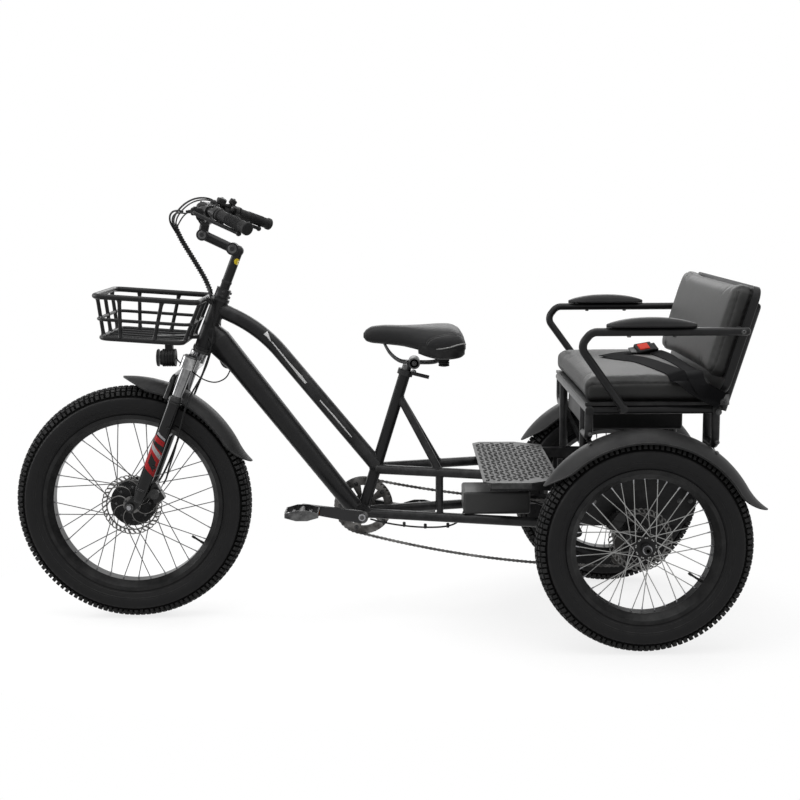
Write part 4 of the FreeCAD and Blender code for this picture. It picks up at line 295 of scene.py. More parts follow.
def bump(tree, shader, height, distance):
    """Feeds a height in millimetres to a shader's normal."""
    made = node(tree, "Bump", in_Strength=1.0, in_Distance=distance * MM)
    tree.links.new(height, made.inputs["Height"])
    tree.links.new(made.outputs["Normal"], shader.inputs["Normal"])


def finish(name, colour, roughness, metallic=0.0, fine=900.0, grain_mm=0.05, edge=None, edge_sharpness=0.06,
           dust=0.015, dust_colour=(0.34, 0.33, 0.31, 1), spread=0.08, coat=0.0, pebble=0.0, pebble_mm=0.12,
           specular=0.16, slow=9.0, drift_share=0.08):
    """A worked finish: colour that drifts, grain in the relief, edges lightened where rubbed (on the tyre, a
    painted highlight) and a little dust.
    """
    material = bpy.data.materials.new(name)
    material.use_nodes = True
    tree = material.node_tree
    shader = tree.nodes["Principled BSDF"]
    shader.inputs["Metallic"].default_value = metallic
    shader.inputs["Coat Weight"].default_value = coat
    shader.inputs["Coat Roughness"].default_value = 0.12
    shader.inputs["Specular IOR Level"].default_value = specular
    grain = place_group(tree, GRAIN, Fine_Scale=fine, Slow_Scale=slow)
    wear_and_highlight = place_group(tree, WEAR_AND_HIGHLIGHT, Edge_Sharpness=edge_sharpness)
    base = colour + (1,)
    darker = tuple(part * (1 - spread) for part in colour) + (1,)
    lighter = tuple(min(part * (1 + spread), 1) for part in colour) + (1,)
    drift = mix_colour(tree, ramp(tree, grain.outputs["Slow"], 0.3, 0.7), darker, lighter)
    worn_and_highlit = mix_colour(tree, wear_and_highlight.outputs["Edge"], drift, (edge or base[:3]) + (1,))
    dusty = mix_colour(tree, math_node(tree, "MULTIPLY", wear_and_highlight.outputs["Dust"], dust), worn_and_highlit, dust_colour)
    tree.links.new(dusty, shader.inputs["Base Color"])
    uneven = math_node(tree, "MULTIPLY_ADD", grain.outputs["Slow"], drift_share)
    tree.nodes[-1].inputs[2].default_value = roughness - drift_share / 2
    tree.links.new(uneven, shader.inputs["Roughness"])
    height = grain.outputs["Fine"]
    if pebble:
        cells = place_group(tree, PEBBLE, Cell_Scale=pebble)
        height = math_node(tree, "ADD", cells.outputs["Height"], math_node(tree, "MULTIPLY", height, 0.3))
        bump(tree, shader, height, pebble_mm)
    else:
        bump(tree, shader, height, grain_mm)
    return material


def sewn_webbing(name, colour):
    """Woven seat-belt webbing."""
    material = finish(name, colour, 0.85, dust=0.0, specular=0.04)
    tree = material.node_tree
    shader = tree.nodes["Principled BSDF"]
    weave = place_group(tree, WEAVE)
    bump(tree, shader, weave.outputs["Height"], 0.15)
    return material


def clear_lens(name):
    """The lamp's clear front, slightly fluted."""
    material = bpy.data.materials.new(name)
    material.use_nodes = True
    tree = material.node_tree
    shader = tree.nodes["Principled BSDF"]
    shader.inputs["Base Color"].default_value = (0.9, 0.92, 0.94, 1)
    shader.inputs["Transmission Weight"].default_value = 0.55
    shader.inputs["Roughness"].default_value = 0.08
    rings = node(tree, "TexWave", wave_type="RINGS", rings_direction="X", in_Scale=160.0)
    tree.links.new(node(tree, "TexCoord").outputs["Object"], rings.inputs["Vector"])
    bump(tree, shader, rings.outputs["Fac"], 0.2)
    return material


PAINT = finish("satin black paint", (0.0095, 0.0095, 0.010), 0.34, fine=700, grain_mm=0.006,
               edge=(0.03, 0.03, 0.031), dust=0.01, spread=0.05, specular=0.18)
GLOSS = finish("gloss black casting", (0.006, 0.006, 0.0065), 0.12, coat=0.06, grain_mm=0.008,
               edge=(0.06, 0.06, 0.06), specular=0.2)
CHROME = finish("dark chrome tube", (0.11, 0.11, 0.113), 0.13, metallic=1.0, grain_mm=0.008,
                edge=(0.4, 0.4, 0.4))
STEEL = finish("stainless steel", (0.25, 0.25, 0.26), 0.26, metallic=1.0, fine=2200, grain_mm=0.02)
SPOKE = finish("dull spoke steel", (0.27, 0.27, 0.265), 0.34, metallic=1.0, fine=2200, grain_mm=0.01,
               dust=0.0)
# Painted shade: a darker copy of the spoke steel, for the front wheel's spokes.
SPOKE_SHADED = finish("spoke steel darkened as painted shade", (0.070, 0.070, 0.070), 0.36, metallic=0.9, fine=2200, grain_mm=0.01,
                    dust=0.0)
DISC_STEEL = finish("ground disc steel", (0.115, 0.113, 0.110), 0.30, metallic=1.0, fine=2600, grain_mm=0.03)
DARK_STEEL = finish("blackened steel", (0.032, 0.032, 0.033), 0.36, metallic=0.85, edge=(0.14, 0.14, 0.14))
CHAIN_STEEL = finish("oiled chain steel", (0.045, 0.043, 0.041), 0.34, metallic=0.9, edge=(0.18, 0.175, 0.17))
# Painted highlight: the tyre's lighter edge colour brightens the edges of the knobs.
TYRE = finish("tyre rubber", (0.0142, 0.0142, 0.0147), 0.58, fine=1100, grain_mm=0.02,
              edge=(0.03, 0.03, 0.03), dust=0.03, specular=0.13, spread=0.05)
# Painted shade: the carcass between the tread blocks is coloured far darker than the blocks, standing in for
# the shade in the recesses.
TYRE_RECESS_SHADE = finish("tyre rubber darkened as painted shade", (0.003, 0.003, 0.003), 0.8, fine=1100, grain_mm=0.05, dust=0.0,
                     specular=0.05)
RIM = finish("black anodised rim", (0.0065, 0.0065, 0.007), 0.28, metallic=0.1, grain_mm=0.006,
             edge=(0.02, 0.02, 0.02), dust=0.0, spread=0.03, slow=2.0, specular=0.18, drift_share=0.02)
MOTOR = finish("painted motor casting", (0.007, 0.007, 0.0075), 0.42, fine=1300, grain_mm=0.05,
               edge=(0.04, 0.04, 0.04))
FENDER = finish("grained fender plastic", (0.0205, 0.0205, 0.0210), 0.46, fine=900, grain_mm=0.02, dust=0.03,
                edge=(0.04, 0.04, 0.04), spread=0.05)
PLASTIC = finish("black moulded plastic", (0.0095, 0.0095, 0.010), 0.44, fine=1700, grain_mm=0.05,
                 edge=(0.03, 0.03, 0.03))
VINYL = finish("dark grey vinyl", (0.032, 0.032, 0.0315), 0.50, pebble=520.0, pebble_mm=0.09, spread=0.05,
               dust=0.02, edge=(0.07, 0.07, 0.07), edge_sharpness=0.2, specular=0.15)
SADDLE_VINYL = finish("black saddle vinyl", (0.0165, 0.0165, 0.017), 0.5, pebble=620.0, pebble_mm=0.07,
                      spread=0.05)
VINYL_THREAD = finish("dark grey thread", (0.060, 0.060, 0.059), 0.6, fine=4000, grain_mm=0.08)
SILVER_TRIM = finish("pale grey piping", (0.30, 0.30, 0.295), 0.4, pebble=700.0, pebble_mm=0.05)
# Painted highlight: the back shell is coloured lighter than the other black plastic, for a bright rim round
# the padding.
BACK_SHELL_HIGHLIT = finish("black moulded back shell lightened as painted highlight", (0.014, 0.014, 0.0145), 0.36, pebble=420.0, pebble_mm=0.05)
BOX_LID = finish("controller case", (0.060, 0.060, 0.060), 0.42, fine=1500, grain_mm=0.03,
                 edge=(0.08, 0.08, 0.08))
HOSE = finish("black cable sheath", (0.009, 0.009, 0.0095), 0.38, fine=1400, grain_mm=0.02)
THREAD = finish("grey thread", (0.20, 0.20, 0.20), 0.7, fine=4000, grain_mm=0.08)
FOAM_PAD = finish("moulded armrest foam", (0.020, 0.020, 0.0205), 0.50, pebble=560.0, pebble_mm=0.08,
                  dust=0.03)
GRIP = finish("grip rubber", (0.013, 0.013, 0.0135), 0.62, fine=1600, grain_mm=0.07, dust=0.03)
FLOOR_PLATE = finish("footplate paint", (0.020, 0.020, 0.020), 0.46, fine=700, grain_mm=0.10, dust=0.03,
                     edge=(0.08, 0.08, 0.08))
WEBBING = sewn_webbing("dark webbing", (0.0065, 0.0065, 0.007))
RED = finish("red button plastic", (0.50, 0.030, 0.015), 0.34, grain_mm=0.02, spread=0.04)
DECAL_RED = finish("red decal film", (0.40, 0.018, 0.020), 0.3, grain_mm=0.01, spread=0.04)
DECAL_WHITE = finish("pale decal film", (0.42, 0.42, 0.43), 0.3, grain_mm=0.01, spread=0.03)
YELLOW = finish("yellow sticker film", (0.68, 0.54, 0.04), 0.35, grain_mm=0.01, spread=0.04)
STRIPE = finish("light grey stripe film", (0.62, 0.62, 0.62), 0.35, grain_mm=0.01, spread=0.04)
LENS = clear_lens("clear lamp lens")
SCREEN = finish("display glass", (0.012, 0.013, 0.014), 0.10, grain_mm=0.005)
AMBER = finish("amber reflector", (0.55, 0.15, 0.012), 0.2, pebble=300.0, pebble_mm=0.3)

CAD_FINISH = {
    PAINT: ("head_tube", "down_tube", "top_tube", "seat_tube", "seat_struts", "upper_rails", "lower_rails",
            "rail_posts", "subframe_sides", "subframe_crossbars", "seat_cross_tubes", "seat_legs",
            "backrest_uprights", "armrests", "fender_stays", "basket", "stem", "handlebar", "rear_axle_left",
            "rear_axle_right"),
    GLOSS: ("fork_legs", "front_caliper", "rear_calipers"),
    CHROME: ("fork_crown",),
    MOTOR: ("front_hub_motor", "differential"),
    DARK_STEEL: ("axle_bearings", "crank_arms", "pedal_left", "pedal_right", "seat_post"),
    CHAIN_STEEL: ("chainring", "derailleur"),
    BOX_LID: ("controller_box",),
    PLASTIC: ("seat_board", "backrest_panel", "under_seat_box", "hand_controls", "headlamp"),
    FLOOR_PLATE: ("footplate",),
}


def dress_cad_nodes():
    """Gives each CAD node that stays in view its finish."""
    for material, names in CAD_FINISH.items():
        for name in names:
            mesh = frame["nodes"][name].data
            mesh.materials.clear()
            mesh.materials.append(material)


# Mesh helpers

def grid_faces(rows, around, wrap=False, caps=True, strip=False):
    """Faces between rows of points: rings with flat ends, a closed loop of rings, or an open strip."""
    faces = []
    for row in range(rows if wrap else rows - 1):
        first = row * around
        follow = (row + 1) % rows * around
        for step in range(around - 1 if strip else around):
            onward = (step + 1) % around
            faces.append([first + step, first + onward, follow + onward, follow + step])
    if caps and not wrap and not strip:
        faces.append(list(range(around)))
        faces.append([(rows - 1) * around + step for step in range(around)])
    return faces


def with_normals_out(mesh):
    """The mesh with all its faces looking outward."""
    work = bmesh.new()
    work.from_mesh(mesh)
    bmesh.ops.recalc_face_normals(work, faces=work.faces)
    work.to_mesh(mesh)
    work.free()
    return mesh


def stand(name, mesh, materials, body, replaces=()):
    """Makes a mesh's object, rides it on its body and hides the CAD parts it stands for."""
    for material in materials:
        mesh.materials.append(material)
    mesh.polygons.foreach_set("use_smooth", [True] * len(mesh.polygons))
    piece = add_object(name, mesh)
    if body:
        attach(piece, body)
    if replaces:
        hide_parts(*replaces)
    return piece


class Form:
    """Points and faces of one piece while it is being built."""

    def __init__(self, name):
        self.name = name
        self.points = []
        self.faces = []
        self.paints = []

    def add(self, points, faces, paint=0):
        """Adds points and the faces between them, in one of the piece's materials."""
        first = len(self.points)
        self.points += [Vector(point) for point in points]
        self.faces += [[first + index for index in face] for face in faces]
        self.paints += [paint] * len(faces)

    def mesh(self):
        """The mesh of what was added."""
        mesh = bpy.data.meshes.new(self.name)
        mesh.from_pydata(self.points, [], self.faces)
        return with_normals_out(mesh)

    def place(self, body, materials, slot, replaces=(), sharp=38):
        """The finished piece, with edges sharper than an angle in degrees left crisp."""
        mesh = self.mesh()
        piece = stand(self.name, mesh, materials, body, replaces)
        mesh.polygons.foreach_set("material_index", self.paints)
        mesh.set_sharp_from_angle(angle=radians(sharp))
        return piece


def arc(start, middle, end, count):
    """Points along the circle through three flat points."""
    (ax, ay), (bx, by), (cx, cy) = start, middle, end
    a, b, c = (x * x + y * y for x, y in (start, middle, end))
    d = 2 * (ax * (by - cy) + bx * (cy - ay) + cx * (ay - by))
    ux = (a * (by - cy) + b * (cy - ay) + c * (ay - by)) / d
    uy = (a * (cx - bx) + b * (ax - cx) + c * (bx - ax)) / d
    radius = hypot(ax - ux, ay - uy)
    first = atan2(ay - uy, ax - ux)
    through = (atan2(by - uy, bx - ux) - first) % TURN
    sweep = (atan2(cy - uy, cx - ux) - first) % TURN
    if through > sweep:
        sweep -= TURN
    angles = [first + sweep * step / count for step in range(count + 1)]
    return [(ux + radius * cos(turn), uy + radius * sin(turn)) for turn in angles]


def wheel_point(centre, r, y, turn):
    """A point at radius r and side y, turned about a wheel's axle."""
    return centre + Vector((r * cos(turn) * MM, y * MM, r * sin(turn) * MM))


def add_lathe(form, centre, profile, steps, paint=0):
    """A ring about the Y axis from (radius, y) corners."""
    points = [wheel_point(centre, r, y, turn) for turn in turns(steps) for r, y in profile]
    form.add(points, grid_faces(steps, len(profile), wrap=True), paint)


def across_along(points, closed=False):
    """Two steady cross directions at each point along a line."""
    count = len(points)
    runs = []
    for index in range(count):
        ahead = points[(index + 1) % count] if closed or index < count - 1 else points[index]
        behind = points[index - 1] if closed or index else points[index]
        runs.append((ahead - behind).normalized())
    side = runs[0].orthogonal().normalized()
    frames = []
    for run in runs:
        side = (side - run * side.dot(run)).normalized()
        frames.append((side, run.cross(side)))
    return frames


def add_tube(form, points, radius, sides=8, paint=0, closed=False, flat=1.0):
    """A round bar along a line of points; the radius, in mm, may change along it."""
    ring = []
    for index, (side, up) in enumerate(across_along(points, closed)):
        r = radius[index] if isinstance(radius, list) else radius
        for turn in turns(sides):
            ring.append(points[index] + (side * cos(turn) + up * sin(turn) * flat) * (r * MM))
    form.add(ring, grid_faces(len(points), sides, wrap=closed), paint)


def add_spun(form, start, direction, profile, sides=12, paint=0):
    """A turned shape about any line, from (distance along, radius) pairs in mm."""
    run = direction.normalized()
    side = run.orthogonal().normalized()
    up = run.cross(side)
    ring = []
    for along, r in profile:
        for turn in turns(sides):
            ring.append(start + run * (along * MM) + (side * cos(turn) + up * sin(turn)) * (r * MM))
    form.add(ring, grid_faces(len(profile), sides), paint)


def add_bolt(form, place, direction, radius=4.0, height=3.0, paint=0):
    """A socket-head screw on its washer."""
    washer = radius * 1.45
    add_spun(form, place, direction, ((0, washer), (0.7, washer), (0.9, washer * 0.96), (0.9, radius),
                                      (height * 0.8, radius), (height, radius * 0.85), (height, radius * 0.5),
                                      (height * 0.5, radius * 0.48)), 12, paint)


def add_hex(form, place, direction, radius=6.0, height=5.0, paint=0):
    """A hexagon nut or bolt head on its washer."""
    add_spun(form, place, direction, ((0, radius * 1.35), (1.2, radius * 1.35)), 16, paint)
    flats = ((1.2, radius), (height * 0.85, radius), (height, radius * 0.86))
    add_spun(form, place, direction, flats, 6, paint)


def add_block(form, centre, axes, halves, paint=0, chamfer=0.18):
    """A block with chamfered edges, on three directions, with half sizes in mm."""
    cut = min(halves) * chamfer
    points = []
    for sx in (-1, 1):
        for sy in (-1, 1):
            for sz in (-1, 1):
                for inset in range(3):
                    sizes = [half - (0 if inset == index else cut) for index, half in enumerate(halves)]
                    move = [sign * size * MM for sign, size in zip((sx, sy, sz), sizes)]
                    points.append(centre + axes[0] * move[0] + axes[1] * move[1] + axes[2] * move[2])
    hull = bmesh.new()
    for point in points:
        hull.verts.new(point)
    bmesh.ops.convex_hull(hull, input=hull.verts)
    hull.verts.index_update()
    faces = [[vert.index for vert in face.verts] for face in hull.faces]
    form.add([vert.co.copy() for vert in hull.verts], faces, paint)
    hull.free()


# Wheels

def tyre_section(radius):
    """The tyre's outline from its bead to the crown and across, as (radius, y) points."""
    bead = radius - TYRE_HEIGHT
    shoulder = (radius - TREAD_DROP, TREAD_HALF)
    side = arc((bead + WALL_START, BEAD_HALF), (bead + TYRE_HEIGHT * WIDEST_SHARE, TYRE_HALF), shoulder, 16)
    crown = arc((radius - TREAD_DROP, TREAD_HALF), (radius, 0), (radius - TREAD_DROP, -TREAD_HALF), 18)
    return side + crown[1:] + [(r, -y) for r, y in reversed(side)][1:]


def measured(section):
    """The section with the distance of each point from the crown, positive on the right side."""
    total = [0.0]
    for (ra, ya), (rb, yb) in zip(section, section[1:]):
        total.append(total[-1] + hypot(rb - ra, yb - ya))
    middle = total[-1] / 2
    return [(middle - gone, r, y) for gone, (r, y) in zip(total, section)]


def on_section(table, s):
    """The point and outward direction at a distance from the crown."""
    for (sa, ra, ya), (sb, rb, yb) in zip(table, table[1:]):
        if sb <= s <= sa:
            t = (sa - s) / (sa - sb)
            length = hypot(rb - ra, yb - ya)
            return ra + (rb - ra) * t, ya + (yb - ya) * t, -(yb - ya) / length, (rb - ra) / length
    return table[-1][1], table[-1][2], 0.0, -1.0


NUDGE = 0.01
TYRE_STEPS = 120
SHOULDER_AT = 40
SHOULDER_RUN = 20
SHOULDER_SHARE = 0.4
WALL_LOW = 30
WALL_INSET = 0.5
WALL_BANDS = ((13, 16), (22, 24))
WALL_RINGS = ((15, 0.24), (26, 0.18), (29, 0.18))
WALL_RING_HALF = 1.2
WALL_RING_SUNK = 0.9
LUG_ROOT = 1.5
LUG_SUNK = 0.25
LUG_ROUND = 0.3
TREAD_EDGE = 60.0
TREAD_FADE = 6.0
LUG_PATTERN = (
    # across, shift along the repeat, length, width, all in mm
    (7.5, 0.00, 9.0, 10.0), (-7.5, 0.00, 9.0, 10.0), (0.0, 0.50, 8.5, 9.0),
    (21.0, 0.02, 8.0, 8.0), (-21.0, 0.02, 8.0, 8.0), (18.5, 0.50, 9.0, 11.0), (-18.5, 0.50, 9.0, 11.0),
    (34.5, 0.00, 9.0, 11.5), (-34.5, 0.00, 9.0, 11.5), (34.0, 0.50, 7.5, 9.0), (-34.0, 0.50, 7.5, 9.0),
    (49.0, 0.50, 8.5, 14.5), (-49.0, 0.50, 8.5, 14.5), (51.5, 0.01, 6.5, 12.0), (-51.5, 0.01, 6.5, 12.0),
)


def add_lug(form, centre, table, turn, across, length, width):
    """One tread block: a foot on the carcass and a smaller top at the tyre's outer surface."""
    points = []
    layers = ((LUG_DEPTH + LUG_ROOT, 0.0), (LUG_SUNK + LUG_TAPER, LUG_ROUND),
              (LUG_SUNK, LUG_TAPER + LUG_ROUND))
    for depth, taper in layers:
        for s_way, t_way in ((-1, -1), (1, -1), (1, 1), (-1, 1)):
            r, y, normal_r, normal_y = on_section(table, across + s_way * (width / 2 - taper))
            reach = t_way * (length / 2 - taper) / table[0][1]
            points.append(wheel_point(centre, r - normal_r * depth, y - normal_y * depth, turn + reach))
    form.add(points, grid_faces(len(layers), 4))


def build_tyre(name, centre, radius, body):
    """A fat knobby tyre: casing, side-wall rings and rows of tread blocks."""
    form = Form(name + "_knobby")
    table = measured(tyre_section(radius))
    bead = radius - TYRE_HEIGHT
    profile = []
    for s, r, y in table:
        depth = LUG_DEPTH * min(max((TREAD_EDGE + TREAD_FADE - abs(s)) / TREAD_FADE, 0), 1)
        depth *= 1 - SHOULDER_SHARE * min(max((abs(s) - SHOULDER_AT) / SHOULDER_RUN, 0), 1)
        inside = min(max(s, table[-1][0] + NUDGE), table[0][0] - NUDGE)
        normal_r, normal_y = on_section(table, inside)[2:]
        height = r - bead
        if any(low < height < high for low, high in WALL_BANDS):
            depth = 0
        if height <= WALL_LOW:
            depth += WALL_INSET
        profile.append((r - normal_r * depth, y - normal_y * depth))
    profile += [(bead + WALL_INSET, -BEAD_HALF), (bead + WALL_INSET, BEAD_HALF)]
    add_lathe(form, centre, profile, TYRE_STEPS)
    # The carcass faces across the tread take the darker rubber, painted shade between the knobs.
    for index in range(len(form.paints)):
        row = index % len(profile)
        if row < len(table) and abs(table[row][0]) < TREAD_EDGE:
            form.paints[index] = 1
    for ring, rise in WALL_RINGS:
        r, y = on_section(table, next(s for s, r, y in table if r - bead >= ring))[:2]
        for sign in (-1, 1):
            foot = sign * (y - WALL_RING_SUNK)
            ring_profile = [(r + WALL_RING_HALF, foot), (r, sign * (y + rise)), (r - WALL_RING_HALF, foot)]
            add_lathe(form, centre, ring_profile, TYRE_STEPS)
    repeats = round(TURN * radius / TREAD_REPEAT)
    for index in range(repeats):
        for across, shift, length, width in LUG_PATTERN:
            add_lug(form, centre, table, TURN * (index + shift) / repeats, across, length, width)
    form.place(body, [TYRE, TYRE_RECESS_SHADE], "tyre", (name,), sharp=30)


RIM_GAP = 0.3
RIM_STEPS = 144


def rim_profile(bead):
    """A wide single-wall rim with upturned edges and a dropped middle."""
    seat = bead - RIM_GAP
    floor = seat - RIM_CHANNEL
    half = RIM_HALF
    drop = half / 2
    slope = RIM_CHANNEL / 2
    return [(bead + RIM_HOOK, -half), (bead + RIM_HOOK, -half + RIM_WALL), (seat, -half + RIM_WALL),
            (seat, -drop - slope), (floor, -drop), (floor, drop), (seat, drop + slope),
            (seat, half - RIM_WALL), (bead + RIM_HOOK, half - RIM_WALL),
            (bead + RIM_HOOK, half), (seat - RIM_WALL, half),
            (floor - RIM_WALL, drop), (floor - RIM_WALL, -drop), (seat - RIM_WALL, -half)]


def add_rim(form, centre, radius, flange_r, flange_y, lean_angle):
    """A rim laced with crossed spokes in their nipples, with its valve."""
    bead = radius - TYRE_HEIGHT
    add_lathe(form, centre, rim_profile(bead), RIM_STEPS)
    well = bead - RIM_GAP - RIM_CHANNEL - RIM_WALL
    nipple = ((0, NIPPLE_R), (NIPPLE_LENGTH * 0.8, NIPPLE_R * 0.85), (NIPPLE_LENGTH, SPOKE_R))
    for index, at_rim in enumerate(turns(SPOKE_COUNT)):
        side = 1 if index % 2 else -1
        lean = 1 if (index // 2) % 2 else -1
        hub_end = wheel_point(centre, flange_r, side * flange_y, at_rim + lean * radians(lean_angle))
        rim_end = wheel_point(centre, well + 1, side * RIM_HALF * SPOKE_SEAT_SHARE, at_rim)
        add_tube(form, [hub_end, rim_end], SPOKE_R, 8, 1)
        add_spun(form, rim_end, hub_end - rim_end, nipple, 8, 2)
        elbow = mm(0, side * SPOKE_ELBOW, 0)
        add_tube(form, [hub_end - elbow, hub_end + elbow], ELBOW_R, 8, 1)
    valve = wheel_point(centre, well, 0, radians(VALVE_TURN))
    add_spun(form, valve, centre - valve, VALVE, 12, 3)


HUB_HALF = 38
HUB_HALF_PROFILE = ((10.5, 0), (22, 0), (32, 0.5), (32, 3.6), (22, 5), (18, 12))
FRONT_LACING = (64, 26, 38)
REAR_LACING = (28, 36, 65)


def build_wheels():
    """All three wheels; the rear ones show their hub barrels and flanges."""
    build_tyre("front_tyre", FRONT_AXLE, FRONT_TYRE_R, "front_wheel")
    form = Form("front_rim_laced")
    add_rim(form, FRONT_AXLE, FRONT_TYRE_R, *FRONT_LACING)
    # The front wheel's spokes take the darker copy of the spoke steel, painted shade.
    form.place("front_wheel", [RIM, SPOKE_SHADED, STEEL, PLASTIC], "rim_black", ("front_rim",))
    hub = [(r, y - HUB_HALF) for r, y in HUB_HALF_PROFILE]
    hub += [(r, -y) for r, y in reversed(hub)]
    for side in REAR_AXLE:
        body = "rear_wheel_" + side
        build_tyre("rear_tyre_" + side, REAR_AXLE[side], REAR_TYRE_R, body)
        form = Form("rear_rim_" + side + "_laced")
        add_rim(form, REAR_AXLE[side], REAR_TYRE_R, *REAR_LACING)
        add_lathe(form, REAR_AXLE[side], hub, 48)
        form.place(body, [RIM, SPOKE, STEEL, PLASTIC], "rim_black", ("rear_rim_" + side,))


DISC_THICK = 1.0
DISC_WAVE = 1.1
DISC_BOLT_R = 22


def add_brake_disc(form, centre):
    """A wavy disc: scalloped edge, slanted bridges between its slots and swept arms."""
    steps = DISC_BRIDGES * 6
    bands = ([], [])
    for turn in turns(steps):
        wave = cos(turn * DISC_BRIDGES) * DISC_WAVE
        for band, high, low in ((bands[0], DISC_R - 1.4 + wave * 0.9, DISC_R - 4.2 + wave * 0.5),
                                (bands[1], DISC_R - 13.5, DISC_R - 17.5)):
            for r, y in ((high, -DISC_THICK), (high, DISC_THICK), (low, DISC_THICK), (low, -DISC_THICK)):
                band.append(wheel_point(centre, r, y, turn))
    for band in bands:
        form.add(band, grid_faces(steps, 4, wrap=True))
    for turn in turns(DISC_BRIDGES):
        outer = wheel_point(centre, DISC_R - 3, 0, turn + 0.10)
        inner = wheel_point(centre, DISC_R - 15, 0, turn)
        run = (inner - outer).normalized()
        halves = ((inner - outer).length / MM / 2, DISC_THICK, 2.3)
        add_block(form, (outer + inner) / 2, (run, Y_AXIS, run.cross(Y_AXIS)), halves, 0, 0.05)
    steps = 8
    for turn in turns(DISC_ARMS):
        line = []
        for step in range(steps + 1):
            t = step / steps
            line.append(wheel_point(centre, 22 + 53 * t, 0, turn + 0.85 * t * t))
        sizes = [2.7 - 0.8 * sin(pi * step / steps) for step in range(steps + 1)]
        add_tube(form, line, sizes, 8, 0, flat=0.3)
    add_lathe(form, centre, [(11, -DISC_THICK), (26, -DISC_THICK), (26, DISC_THICK), (11, DISC_THICK)], 48)


def build_brake_discs():
    """The three brake discs and their bolts."""
    for name, axle, y, body, out in (
            ("front_disc", FRONT_AXLE, FRONT_DISC_Y, "front_wheel", -1),
            ("rear_disc_left", REAR_AXLE["left"], HALF_TRACK - REAR_DISC_Y, "rear_wheel_left", 1),
            ("rear_disc_right", REAR_AXLE["right"], REAR_DISC_Y - HALF_TRACK, "rear_wheel_right", -1)):
        centre = axle + mm(0, y, 0)
        form = Form(name + "_slotted")
        add_brake_disc(form, centre)
        for turn in turns(6, 0.5):
            add_bolt(form, wheel_point(centre, DISC_BOLT_R, out, turn), Y_AXIS * out, 3.2, 2.6, 1)
        form.place(body, [DISC_STEEL, DARK_STEEL], "disc_steel", (name,))


# Soft goods

CLOTH_FRAMES = 20


def smooth_path(points, per_run=8):
    """A soft line through chosen points."""
    points = [Vector(point) for point in points]
    line = []
    for index in range(len(points) - 1):
        before = points[max(index - 1, 0)]
        start, end = points[index], points[index + 1]
        after = points[min(index + 2, len(points) - 1)]
        for step in range(per_run):
            t = step / per_run
            square = 2 * before - 5 * start + 4 * end - after
            cube = 3 * start - before - 3 * end + after
            line.append(0.5 * ((2 * start) + (end - before) * t + square * t * t + cube * t * t * t))
    line.append(points[-1])
    return line


def even_points(line, gap):
    """Places a set distance apart along a line, in metres."""
    gone = [0.0]
    for start, end in zip(line, line[1:]):
        gone.append(gone[-1] + (end - start).length)
    count = max(int(gone[-1] / gap), 1)
    places = []
    index = 0
    for step in range(count + 1):
        wanted = min(gone[-1] * step / count, gone[-1])
        while index < len(line) - 2 and gone[index + 1] < wanted:
            index += 1
        run = max(gone[index + 1] - gone[index], 1e-9)
        places.append(line[index].lerp(line[index + 1], (wanted - gone[index]) / run))
    return places


def rounded_block(halves, radius, cells):
    """A box with round edges, as an even grid on each of its sides."""
    grid = bmesh.new()
    bmesh.ops.create_cube(grid, size=2)
    bmesh.ops.subdivide_edges(grid, edges=grid.edges, cuts=cells, use_grid_fill=True)
    for vert in grid.verts:
        place = Vector([part * half for part, half in zip(vert.co, halves)])
        core = Vector([min(max(part, radius - half), half - radius) for part, half in zip(place, halves)])
        away = place - core
        vert.co = core + away.normalized() * radius if away.length > 1e-9 else place
    mesh = bpy.data.meshes.new("block")
    grid.to_mesh(mesh)
    grid.free()
    return mesh


def evaluated(body):
    """The mesh that an object shows once its modifiers have run; the object itself goes."""
    done = bpy.data.meshes.new_from_object(body.evaluated_get(bpy.context.evaluated_depsgraph_get()))
    bpy.data.objects.remove(body)
    return done


def remesh(mesh, voxel):
    """Even faces all over a closed mesh."""
    body = add_object("remeshed", mesh)
    modifier = body.modifiers.new("even", "REMESH")
    modifier.mode = "VOXEL"
    modifier.voxel_size = voxel * MM
    return evaluated(body)


def swell(mesh, most, pressure=4.0):
    """Inflates a cover like filled fabric and keeps every point within reach of its place."""
    rest = [vert.co.copy() for vert in mesh.vertices]
    body = add_object("swelling", mesh)
    cloth = body.modifiers.new("filled", "CLOTH")
    cloth.settings.use_pressure = True
    cloth.settings.uniform_pressure_force = pressure
    cloth.settings.effector_weights.gravity = 0
    cloth.settings.quality = 4
    cloth.point_cache.frame_start = 1
    cloth.point_cache.frame_end = CLOTH_FRAMES
    for frame_number in range(1, CLOTH_FRAMES + 1):
        bpy.context.scene.frame_set(frame_number)
    done = evaluated(body)
    for vert, place in zip(done.vertices, rest):
        move = vert.co - place
        if move.length > most * MM:
            vert.co = place + move.normalized() * (most * MM)
    bpy.context.scene.frame_set(1)
    return done


def divided(mesh):
    """The mesh with one round of smooth subdivision."""
    body = add_object("divided", mesh)
    body.modifiers.new("finer", "SUBSURF").levels = 1
    return evaluated(body)


def surface_tree(mesh):
    """A search tree over a mesh's faces."""
    return BVHTree.FromPolygons([vert.co.copy() for vert in mesh.vertices],
                                [list(face.vertices) for face in mesh.polygons])


def sink_seams(mesh, seams, depth, width):
    """Pulls a cover in along its seams, with small puckers beside the stitches."""
    line = []
    for seam in seams:
        line += even_points(seam, 3 * MM)
    tree = KDTree(len(line))
    for index, place in enumerate(line):
        tree.insert(place, index)
    tree.balance()
    normals = [vert.normal.copy() for vert in mesh.vertices]
    for vert, normal in zip(mesh.vertices, normals):
        place, index, distance = tree.find(vert.co)
        near = exp(-(distance / (width * MM)) ** 2)
        if near > 0.01:
            pucker = 1 + 0.22 * sin(index * 0.9)
            vert.co -= normal * (depth * MM * near * pucker)


